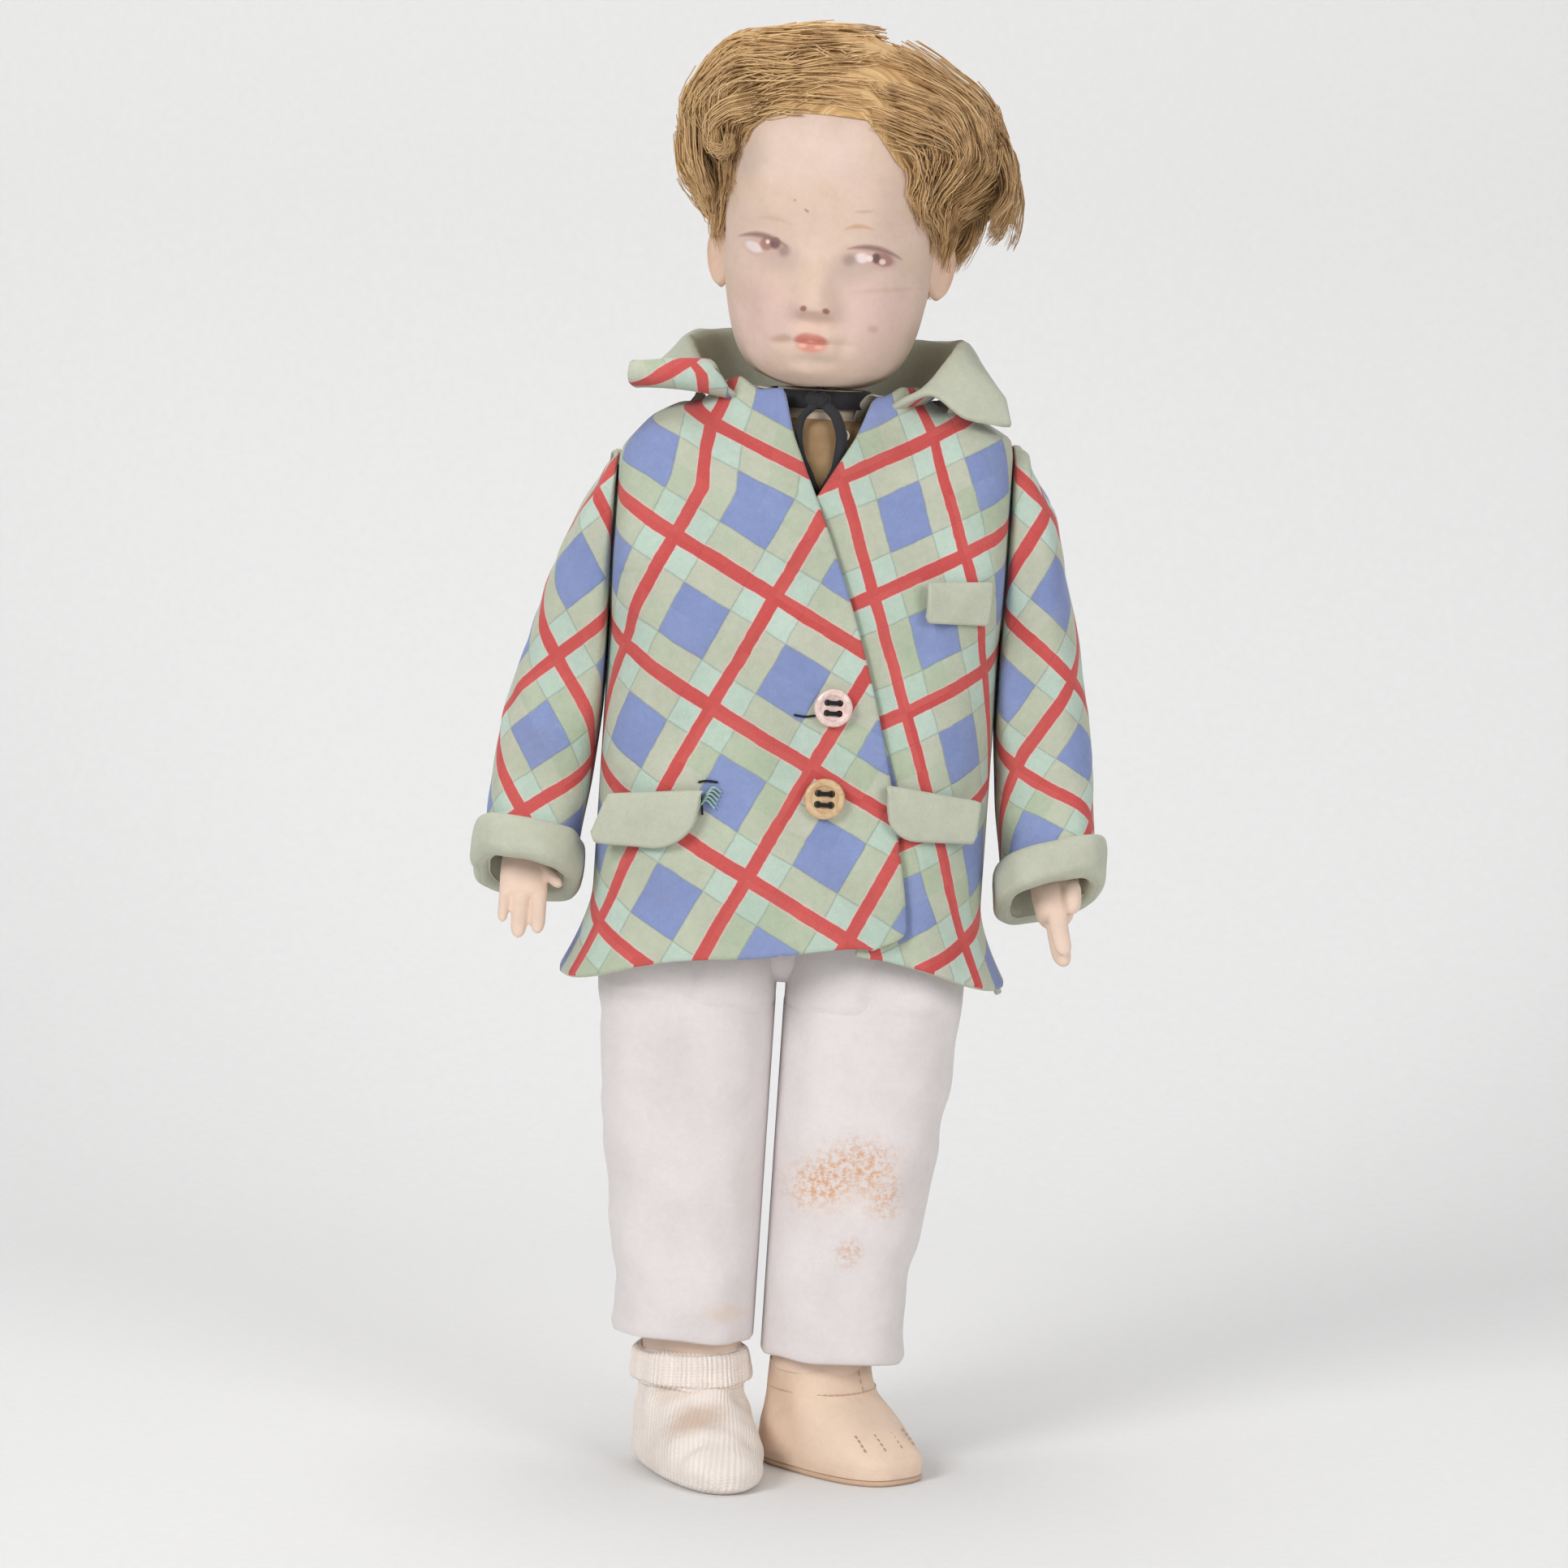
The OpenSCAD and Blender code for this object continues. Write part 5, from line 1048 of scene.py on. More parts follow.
# Loose locks: over the doll's left temple, behind the left ear, over the right temple, a curl beside the
# right brow, and a fill under the right temple
rng = np.random.default_rng(17)
loose = []
for _ in range(20):
    y = rng.uniform(-9, 12)
    j = rng.normal(size=4) * 1.6
    loose.append([[37 + j[0], y, 405 + j[1]], [45.5 + j[0] * .6, y + 1, 399 + j[1]],
                  [50.5 + j[2] * .6, y, 390 + j[1]],
                  [52 + j[2] * .6, y - 1, 382 + j[3]], [48.5 + j[2], y - 1, 374 + j[3] * 2]])
for _ in range(14):
    y = rng.uniform(4, 16)
    j = rng.normal(size=3)
    loose.append([[43 + j[0], y, 394], [43.5 + j[0], y, 382], [40 + j[1], y, 371 + j[2]],
                  [36 + j[1], y, 362 + j[2] * 2]])
for _ in range(12):
    y = rng.uniform(-14, 2)
    j = rng.normal(size=3)
    loose.append([[-43.5 + j[0] * .6, y, 392 + j[1]], [-43 + j[0] * .6, y - 1, 386 + j[1]],
                  [-39.5 + j[2] * .5, y - 2, 380], [-36.5 + j[2] * .4, y - 2, 375.5 + j[1]]])
for _ in range(8):
    j = rng.normal(size=3) * 0.7
    loose.append([[-21 + j[0], -30.5, 404 + j[1]], [-29 + j[0], -27, 402 + j[1]],
                  [-34.5 + j[2], -23, 396 + j[1]],
                  [-34 + j[2], -23, 390.5], [-30.5, -26, 389.5 + j[1]], [-29, -27.5, 392.5 + j[0]]])
for _ in range(14):
    y = rng.uniform(-19, -5)
    j = rng.normal(size=3) * 0.7
    loose.append([[-40.5 + j[0], y, 397 + j[1]], [-40 + j[0], y - 1, 390 + j[1]],
                  [-37.5 + j[2], y - 2, 383], [-34.8 + j[2], y - 2, 377 + j[1]]])
loose = [curve_through(line, LOCK_POINTS) for line in loose]
grown("wig_loose_locks", loose, MOHAIR_TREE,
      {"Strands": 24, "Root Spread": 0.0026, "Tip Spread": 0.6, "Frizz": 0.0012, "Strand Width": 0.0002,
       "Seed": 17, "Finish": MOHAIR}, "head", place=on_head, slot="mohair")

# Felts of the clothes

def stained(t, base):
    """Old orange-brown spills on the doll's left knee, and a faint one at the other hem."""
    at = add(t, "ShaderNodeUVMap", uv_map="cloth").outputs[0]
    rust, pale = paint(214, 160, 118), paint(222, 198, 180)
    speckle = step_down(t, noise(t, at, 0.55, 6.0, 0.75), 0.485, 0.08)

    def speckled(*where):
        return calc(t, "MULTIPLY", spot(t, at, *where), speckle)
    return layers(t, base,
                  (spot(t, at, 23, 89, 17, 10, 10, 0.9, 1.3), pale, 0.3),
                  (speckled(15.3, 88.8, 7.6, 6.0, 10, 0.8, 1.6), rust, 0.95),
                  (speckled(25.6, 96.4, 9.5, 6.2, 8, 0.85, 1.6), rust, 0.85),
                  (speckled(33.6, 87.6, 4.6, 7, 20, 0.85, 1.6), rust, 0.75),
                  (speckled(25.2, 69.1, 3.2, 4.5, -30, 0.7, 1.6), rust, 0.7),
                  (spot(t, at, -10.5, 48, 5, 2.6, 0, 0.8, 1.0), pale, 0.55),
                  (spot(t, at, -30, 120, 8, 12, 0, 0.9, 1.0), paint(214, 206, 204), 0.6))


WHITE = felt("white_felt", paint(224, 217, 216), mottle=0.13, soil=0.05, marks=stained)
SAGE = felt("sage_felt", paint(186, 189, 170), mottle=0.22, soil=0.1)


# The stuffed body under the clothes

BODY_FELT = felt("body_cotton", paint(214, 196, 176), mottle=0.1, soil=0.1)
TORSO = [[-.11, .2, .36, 2], [-.07, .27, .56, 3], [.05, .284, .66, 4], [.19, .284, .8, 4],
         [.225, .8, .94, 2.4],
         [.36, .91, .99, 2.4], [.58, .94, 1, 2.4], [.82, .98, .98, 2.4], [1, 1, .88, 2.4],
         [1.12, .9, .72, 2.2], [1.19, .62, .62, 2]]
TORSO_LOW, TORSO_TALL, TORSO_HALF, TORSO_DEPTH, NECK_R = 160.0, 123.0, 44.0, 27.0, 12.5

torso_rows = []
for k, (r0, r1, r2, e) in enumerate(TORSO):
    half = NECK_R * r1 / .284 if k < 4 else TORSO_HALF * r1
    torso_rows.append([TORSO_LOW + TORSO_TALL * r0, half, TORSO_DEPTH * r2, e, 0])
torso_rows += [[311.5, 17, 14.5, 2, NECK_Y * 0.9], [313.5, 12.8, 12.7, 2, NECK_Y],
               [322.2, 12.5, 12.5, 2, NECK_Y]]


def torso_ring(z, n, off=0.0):
    half, deep, e, cy = faired(torso_rows, np.array([z]))[0]
    return ring(0, cy, z, half + off, deep + off, deep + off, e, n)


torso_z = np.concatenate([np.linspace(146.6, 186, 16), np.linspace(187.5, 306, 40),
                          np.linspace(307, 322.2, 16)])
torso_low = [int(z > 190.0) for z in torso_z[:-1] for _ in range(72)] + [0] * 72 + [1] * 72
torso = stuffed("torso_skin", np.array([torso_ring(z, 72) for z in torso_z]), "torso", [WHITE, BODY_FELT],
                mat_of=torso_low, replaces=("torso_cover", "torso_stuffing"), slot="skin_felt")

ARM_TOP, ARM_LEN, ARM_X, JOINT_X, ARMHOLE_X = 283.0, 101.0, 60.7, 44.8, 58.1
SHOULDER, ARM_SPLAY, ARM_WIDE, FOREARM_FWD = 30.0, 9.0, 19.0, 14.0
ARM = [[-.5, .09, 0, .28, 2.4], [-.4, 0, .18, .62, 3], [-.2, 0, .32, .9, 4], [0, 0, .41, 1, 4],
       [.23, 0, .48, .9, 4]]
FOREARM = [[.366, 0, .95, .658, 0], [.624, .333, 1, .579, .214],
           [.839, .778, .93, .5, .571], [1, 1, .84, .42, 1]]
SLEEVE = [[1.075, .56, 1, .585, 1.107, 1], [.925, .38, .99, .585, .679, .76],
          [.753, .13, .95, .6, .286, .44],
          [.559, .02, .9, .64, .071, .16], [.387, 0, .83, .68, 0, 0], [.194, 0, .7, .73, 0, 0],
          [.043, 0, .58, .76, 0, 0]]
SLEEVE_HEAD = [[-.2, .5, .74], [-.4, .41, .68], [-.56, .3, .56], [-.66, .2, .42], [-.72, .08, .25]]
HEAD_RISE = {RIGHT: 0.79, LEFT: 1.21}
SLEEVE_SLIM = {RIGHT: [[174, 2.2], [197, 2.2], [213, 2.8], [231, 4], [247, 5.5], [265, 6.5], [279, 8],
                       [288, 9.5], [294, 9], [298, 6]],
               LEFT: [[174, 2.6], [197, 2.2], [213, 2.4], [231, 3.5], [247, 4], [279, 3.5], [290, 3.6],
                      [297, 5], [303, 5], [308, 1.5]]}


def tilt_ring(p, cy, cz, degrees):
    """A ring tipped forward or back about its middle."""
    a = math.radians(degrees)
    y, z = p[..., 1] - cy, p[..., 2] - cz
    p = p.copy()
    p[..., 1], p[..., 2] = cy + y * math.cos(a) - z * math.sin(a), cz + y * math.sin(a) + z * math.cos(a)
    return p


def mirror(p, side):
    return p * np.array([side, 1, 1])


def arm(side):
    """The stuffed arm: a square shoulder on its disc, narrowing to the wrist."""
    name = SIDE_NAME[side]
    rows = [[-(ARM_TOP - SHOULDER * r[0]), JOINT_X + SHOULDER * r[1], ARMHOLE_X + SHOULDER * r[2],
             SHOULDER / 2 * r[3], 0, r[4]] for r in ARM]
    for r0, r1, r2, r3, r4 in FOREARM:
        x0 = ARM_X + ARM_SPLAY * r1
        rows.append([ARM_LEN * r0 - ARM_TOP, x0, x0 + ARM_WIDE * r2, ARM_WIDE * r3, -FOREARM_FWD * r4, 2.2])
    rows = sorted(rows)
    heights = np.linspace(rows[0][0], rows[-1][0], 44)
    rings = []
    for h, (x0, x1, deep, cy, e) in zip(heights, faired(rows, heights)):
        x1 = max(x1 - np.interp(-h, [240, 252, 264, 284, 290], [0, 1.5, 4.5, 6.5, 7.5]), x0 + 5)
        rings.append(mirror(ring((x0 + x1) / 2, cy, -h, (x1 - x0) / 2, deep, deep, e, 40), side))
    covered = [int(-h > 200.0) for h in heights[:-1] for _ in range(40)] + [1] * 40 + [0] * 40
    made = stuffed(f"{name}_arm_skin", np.array(rings), f"{name}_arm", [BODY_FELT, SAGE], mat_of=covered,
                   replaces=(f"{name}_arm_cover", f"{name}_arm_stuffing"), slot="skin_felt")


for side in SIDES:
    arm(side)

LEG = [[0, 0, 1, .7], [.12, 0, 1.06, .77], [.27, .1, 1.16, .84], [.45, .2, 1.18, .88], [.6, .3, 1.2, .95],
       [.72, .74, 1.15, .98], [.84, 1, 1.138, 1], [.98, 1, 1.138, 1], [1.06, 1, 1.138, .93],
       [1.115, 1, .987, .76], [1.15, 1, .665, .46], [1.163, 1, .26, .2]]
ANKLE_X, HIP_X, ANKLE_Z, HIP_Z = 19.5, 34.0, 30.4, 160.0
LEG_HALF, LEG_DEEP = 14.5, 21.5


def leg(side):
    """The stuffed leg, from the ankle up to its rounded top."""
    name = SIDE_NAME[side]
    rings = []
    heights = np.concatenate([np.linspace(0, 1.06, 40), np.linspace(1.075, 1.163, 9)])
    for h, (r1, r2, r3) in zip(heights, faired(LEG, heights)):
        cx = ANKLE_X + (HIP_X - ANKLE_X) * r1
        z = ANKLE_Z + (HIP_Z - ANKLE_Z) * h
        deep = LEG_DEEP * r3
        rings.append(mirror(ring(cx, 0, z, LEG_HALF * r2, deep, deep, 2.2, 44), side))
    made = stuffed(f"{name}_leg_skin", np.array(rings), f"{name}_leg", [HAND_FELT],
                   replaces=(f"{name}_leg_cover", f"{name}_leg_stuffing"), slot="skin_felt")


for side in SIDES:
    leg(side)

# Jacket, in patchwork check felt

CHECK = check_felt()
JACKET = [[0, 1, 1.09, 1.08], [.034, 1, 1.08, 1.07], [.08, 1, 1.05, 1.05], [.13, 1, 1.025, 1.03],
          [.2, 1, 1.01, 1.01], [.265, 1, 1, 1], [.41, 1, .985, .985], [.55, 1, .97, .97],
          [.68, 1, .945, .945],
          [.8, 1, .87, .89], [.875, 1, .765, .8], [.905, .985, .7, .74], [.935, .85, .635, .69],
          [.962, .69, .585, .65], [.985, .555, .56, .62], [1, .511, .56, .61]]
BOXY = [[0, 3.2], [.6, 3.4], [.72, 6], [.9, 6], [.96, 3], [1, 2.6]]
HEM_Z, SKIRT_Z, V_Z, NECK_EDGE_Z = 147.0, 190.0, 289.0, 318.0
JACKET_HALF, JACKET_FRONT, JACKET_BACK, HEM_FLARE, LAP_WIDE = 57.7, 38.5, 37.0, 8.3, 34.0


def jacket_sizes(z):
    share = (z - HEM_Z) / (NECK_EDGE_Z - HEM_Z)
    w, f, b = faired(JACKET, np.array([share]))[0]
    e = np.interp(share, [r[0] for r in BOXY], [r[1] for r in BOXY])
    flare = HEM_FLARE * max(0.0, 1 - share / 0.14) ** 1.5
    return JACKET_HALF * w + flare, JACKET_FRONT * f, JACKET_BACK * b, e


def jacket_line(z, t0, t1, n):
    """A level line on the jacket from one angle to another, n points at equal steps."""
    half, front, back, e = jacket_sizes(z)
    t = np.linspace(t0, t1, 900)
    c, s = np.cos(t), np.sin(t)
    reach = np.where(s < 0, front, back)
    lift = 10 * np.clip((SKIRT_Z - z) / (SKIRT_Z - HEM_Z), 0, 1) * np.maximum(0, -s) ** 4
    lift = lift + 3.6 * smooth(308, NECK_EDGE_Z, z) * np.maximum(0, -s) ** 2
    line = np.stack([half * spow(c, 2 / e), reach * spow(s, 2 / e), z + lift], -1)
    x = line[:, 0]
    line[:, 2] += 9.0 * smooth(24, 44, x) * smooth(268, 300, z)
    line[:, 2] += 5.0 * smooth(28, 42, -x) * smooth(JACKET_HALF, 48, -x) * smooth(280, 302, z)
    line[:, 2] += 5.0 * smooth(17, 25, np.abs(x)) * smooth(38, 31, np.abs(x)) * smooth(308, NECK_EDGE_Z,
                                                                                       z) * smooth(0.02,
                                                                                                   0.3, -s)
    return evenly(line, n)


def front_angle(x, z):
    half, _, _, e = jacket_sizes(z)
    return math.radians(270) + np.sign(x) * math.asin(min(1.0, abs(x) / half) ** (e / 2))


def jacket_y(x, z):
    half, front, _, e = jacket_sizes(z)
    return -front * (1 - (abs(x) / half) ** e) ** (1 / e)


def side_y(z):
    return (math.sqrt(max(17.0 ** 2 - (z - ARM_TOP) ** 2, 0)) if abs(z - ARM_TOP) < 17 else 0) + GAP


def side_angle(z, front):
    _, f, b, e = jacket_sizes(z)
    return math.asin(min(1.0, side_y(z) / (f if front else b)) ** (e / 2))


def lap_edge(z):
    if z > V_Z:
        return -0.37 * LAP_WIDE * np.clip((z - V_Z) / (NECK_EDGE_Z - V_Z), 0, 1) + 1
    return 1 + LAP_WIDE * (1 - ((z - HEM_Z) / (V_Z - HEM_Z)) ** 1.8)


def left_edge(z):
    return 17 * np.clip((z - V_Z) / (NECK_EDGE_Z - V_Z), 0, 1) + 1 if z > V_Z else lap_edge(z)


def folds(p):
    """Soft creases of a worn jacket: drag lines at the arms and slack at the waist."""
    x, z = p[..., 0], p[..., 2]
    pull = 0.9 * np.exp(-((np.abs(x) - 47) / 7) ** 2) * np.sin((z - 250) / 7.5) * smooth(300, 280,
                                                                                         z) * smooth(205,
                                                                                                     240, z)
    slack = 0.5 * ripple(p, 48, 21) + 0.22 * ripple(p, 17, 22)
    return slack + pull * 0.6


def check_map(u, v, anchor, first, second):
    """The cloth's map: how many repeats of the check a point is from one crossing of stripes."""
    m = np.linalg.inv(np.array([[first[0], second[0]], [first[1], second[1]]]))
    d = np.stack([u - anchor[0], v - anchor[1]], -1)
    return d @ m.T


RIGHT_LAY = ((-25.8, 228.8), (30.3, -16.0), (-16.6, -33.0))
LEFT_LAY = ((19.2, 263.9), (11.7, -33.2), (26.0, 13.6))
BACK_LAY = ((6.0, 236.0), (31.5, -18.5), (-18.0, -32.0))


def panel(name, heights, edges, lay, body, cut=(), cols=64, deep=None, replaces=(), lay_x=0.0,
          hem_rise=0.0):
    """A jacket panel between two edge angles at each height, with its felt thickness."""
    outer, u = [], []
    for z in heights:
        t0, t1 = edges(z)
        line = jacket_line(z, t0, t1, cols)
        fine = jacket_line(z, t0, t1, 400)
        run = run_along(fine[:, :2])
        middle = run[np.argmin(np.abs(fine[:, 0] - lay_x))]
        sign = 1.0 if fine[-1, 0] > fine[0, 0] else -1.0
        u.append(lay_x + sign * (np.linspace(0, run[-1], cols) - middle))
        line[:, 2] += hem_rise * smooth(-20, 34, line[:, 0]) * np.clip((SKIRT_Z - z) / (SKIRT_Z - HEM_Z), 0,
                                                                       1)
        outer.append(line)
    outer, u = np.array(outer), np.array(u)
    n = normals_of(outer, False)
    n = n * np.sign(np.einsum("ijk,ijk->ij", n, outer * np.array([1, 1, 0])))[..., None]
    free = smooth(57.6, 51.0, np.abs(outer[..., 0]))
    depth = folds(outer) * 0.8 * free - 0.1 - 0.4 * free
    if deep is not None:
        depth = depth - deep(outer)
    outer = outer + n * depth[..., None]
    inner = outer - n * CLOTH
    uv = check_map(u, outer[..., 2], *lay)
    made = felt_sheet(name, outer, inner, body, [CHECK, SAGE], uv, cut=cut, two_sided=True,
                      replaces=replaces, slot="check_felt")
    cut_sheet(made, outer)
    return made


upper_z = np.concatenate([np.linspace(SKIRT_Z, 262, 34), np.linspace(263.5, 303, 34),
                          np.linspace(303.8, NECK_EDGE_Z, 18)])
skirt_z = np.concatenate([np.linspace(HEM_Z, 158, 12), np.linspace(159.5, SKIRT_Z, 16)])


def hem_corner(z):
    return 9 * np.clip(1 - (z - HEM_Z) / 12, 0, 1) ** 2


def tucked(outer):
    """The left front dips under the lap beside its edge."""
    edge = np.array([[lap_edge(min(max(p[2], HEM_Z), V_Z)) for p in row] for row in outer])
    rise = smooth(8.0, 0.0, outer[..., 0] - edge)
    return (CLOTH + 0.5) * rise * smooth(V_Z + 6, V_Z - 4, outer[..., 2])


panel("jacket_right_front", upper_z, lambda z: (math.pi + side_angle(z, True), front_angle(lap_edge(z), z)),
      RIGHT_LAY, "torso", cut=("first_row",), cols=70, replaces=("jacket_front_right",))
panel("jacket_left_front", upper_z,
      lambda z: (front_angle(left_edge(z) - (1.0 + 13 * np.clip((V_Z - z) / 20, 0, 1)), z),
                 2 * math.pi - side_angle(z, True)),
      LEFT_LAY, "torso", cut=("first_row",), cols=70, deep=tucked, replaces=("jacket_front_left",),
      lay_x=20.0)
panel("jacket_back", np.concatenate([skirt_z[:-1], upper_z]),
      lambda z: (side_angle(z, False), math.pi - side_angle(z, False)), BACK_LAY, "torso", cols=90,
      replaces=("jacket_back_panel",))
skirt_right = panel("jacket_right_skirt", skirt_z,
                    lambda z: (math.pi + side_angle(z, True), front_angle(0.0, z)),
                    RIGHT_LAY, "torso", cut=("last_row", "last_col"), cols=44,
                    replaces=("jacket_skirt_right",), hem_rise=6.5)
skirt_lap = panel("jacket_lap_skirt", skirt_z,
                  lambda z: (front_angle(0.0, z), front_angle(lap_edge(z) - hem_corner(z), z)),
                  RIGHT_LAY, "torso", cut=("last_row", "first_col"), cols=26, hem_rise=6.5)
skirt_left = panel("jacket_left_skirt", skirt_z,
                   lambda z: (front_angle(lap_edge(z) - 13, z), 2 * math.pi - side_angle(z, True)),
                   LEFT_LAY, "torso", cut=("last_row",), cols=44, deep=tucked,
                   replaces=("jacket_skirt_left",), lay_x=20.0, hem_rise=4.0)
waist = tuple(stand([0, 0, SKIRT_Z]) * MM)
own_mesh(skirt_right)
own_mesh(skirt_lap)
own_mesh(skirt_left)

# Collar: a stand that turns over all round; the doll's left leaf points out over the shoulder and
# the right leaf is curled up, so that its checked back shows

COLLAR_STATIONS = [
    [[20.7, -17.4, 318.2], [26, -22, 321.6], [31.5, -24.5, 323.6], [43, -28, 317.4], [55, -25, 315.8]],
    [[28, -9.6, 318.2], [35.8, -14.1, 326], [39.6, -15.7, 336], [45.2, -18, 331], [53, -20, 322.6]],
    [[28.7, 0, 318.2], [37, 0, 327], [41, 0, 338.2], [45.2, 0, 334], [49.5, 0, 325]],
    [[21.5, 17, 318.2], [26, 21.5, 327], [29, 24.5, 337.6], [33, 28, 333.5], [35.5, 30, 324]],
    [[0, 21.8, 318.4], [0, 31, 327], [0, 36.5, 337], [0, 42, 333], [0, 47, 323.7]],
    [[-21.5, 17, 318.2], [-26, 21.5, 327], [-29, 24.5, 337.4], [-33, 28, 333.5], [-35.5, 30, 324]],
    [[-28.7, 2, 318.2], [-37, 2.6, 327], [-40, 4.2, 334.5], [-44.4, 4, 329], [-51, 3, 323.5]],
    [[-28, -7, 318.2], [-31, -8, 321.6], [-36, -9.5, 324.6], [-43.5, -10, 321.6], [-54, -9.5, 320]],
    [[-25.6, -13, 318.2], [-28.5, -16, 319.2], [-33, -18, 320], [-43, -18.5, 320.6], [-55, -17.5, 320.8]],
    [[-25.2, -17, 318.6], [-28.5, -20, 321.6], [-33, -21.8, 323.6], [-43, -22.4, 323.9],
     [-55.6, -20.8, 323.2]],
    [[-30, -20.6, 322.4], [-32, -20.6, 326], [-35, -20.2, 327.4], [-44, -20.2, 327.4],
     [-55.2, -18.6, 326.2]],
    [[-31.6, -17.4, 326.6], [-33.4, -17, 327.8], [-36, -16, 327.6], [-44, -15.6, 327],
     [-53.6, -14.6, 325.4]]]
ROLL_STATION = 10

stations = np.array(COLLAR_STATIONS, float)
gone = run_along(stations[:, 3])
collar_at = np.linspace(0, gone[-1], 150)
spread = np.stack([faired(np.column_stack([gone, stations[:, k]]), collar_at) for k in range(5)], 1)
collar = np.array([curve_through(row, 26) for row in spread])
n = normals_of(collar, False)
if np.mean(n[60:90, 2, 0] * collar[60:90, 2, 0] + n[60:90, 2, 1] * collar[60:90, 2, 1]) < 0:
    n = -n
collar = collar + n * (0.3 * ripple(collar, 19, 31))[..., None]
run = run_along(collar[:, 13])
across = run_along(collar[60])
u, v = np.meshgrid(run, across, indexing="ij")
roll_u = np.interp(gone[ROLL_STATION], collar_at, run)
collar_uv = check_map(u, v, (roll_u, 17.0), (31.0, 12.0), (-14.0, 31.0))
made = felt_sheet("jacket_collar_turned", collar + n * CLOTH / 2, collar - n * CLOTH / 2, "torso",
                  [CHECK, SAGE], collar_uv, two_sided=True, replaces=("jacket_collar",), slot="sage_felt")
cut_sheet(made, collar)

# Sleeves with thick turned-up cuffs

SLEEVE_WIDE, SLEEVE_DEEP, SLEEVE_TILT, CUFF_TALL, WRIST_X = 35.0, 30.0, 25.0, 12.6, 77.5
CUFF_SLANT = {RIGHT: 0.12, LEFT: 0.29}
CUFF_UP = {RIGHT: 0.0, LEFT: 3.6}


def sleeve_rows(side):
    """The sleeve's sizes by height: both sides, depth, how far forward, and tilt."""
    rows = [[ARM_LEN * r[0] - ARM_TOP, ARMHOLE_X + ARM_SPLAY * r[1], ARMHOLE_X + SLEEVE_WIDE * r[2],
             SLEEVE_DEEP * r[3], -FOREARM_FWD * r[4], -SLEEVE_TILT * r[5]] for r in SLEEVE]
    rows += [[SHOULDER * r[0] * HEAD_RISE[side] - ARM_TOP, ARMHOLE_X, ARMHOLE_X + SLEEVE_WIDE * r[1],
              SLEEVE_DEEP * r[2], 0, 0] for r in SLEEVE_HEAD]
    for row in rows:
        row[2] = max(row[2] - np.interp(-row[0], *np.array(SLEEVE_SLIM[side]).T), ARMHOLE_X + 1.4)
    return sorted(rows)


def sleeve_ring(rows, h, n, off, inset=-0.15, slant=0.0):
    """One ring of the sleeve: square beside the armhole, round outside, level or slanted at the cuff."""
    x0, x1, deep, cy, turn = faired(rows, np.array([h]))[0]
    x0 += inset
    t = full_turn(n)
    c, s = np.cos(t), np.sin(t)
    power = np.where(c < 0, 2.8 + 6.0 * smooth(212, 240, -h), 2.8)
    half = (x1 - x0) / 2 - off
    p = np.stack([(x0 + x1) / 2 + half * spow(c, 2 / power), cy + (deep - off) * spow(s, 2 / power),
                  -h + 0 * t], -1)
    p = tilt_ring(p, cy, -h, turn)
    low = smooth(226, 200, -h)
    p[:, 0] += (WRIST_X - p[:, 0]) * 0.03 * low
    p[:, 2] += slant * (p[:, 0] - WRIST_X) * low
    return p


SLEEVE_LAY = {RIGHT: ((-72.0, 239.1), (17.5, -29.0), (-24.6, -22.3)),
              LEFT: ((80.3, 242.3), (16.1, 29.4), (27.0, -21.0))}


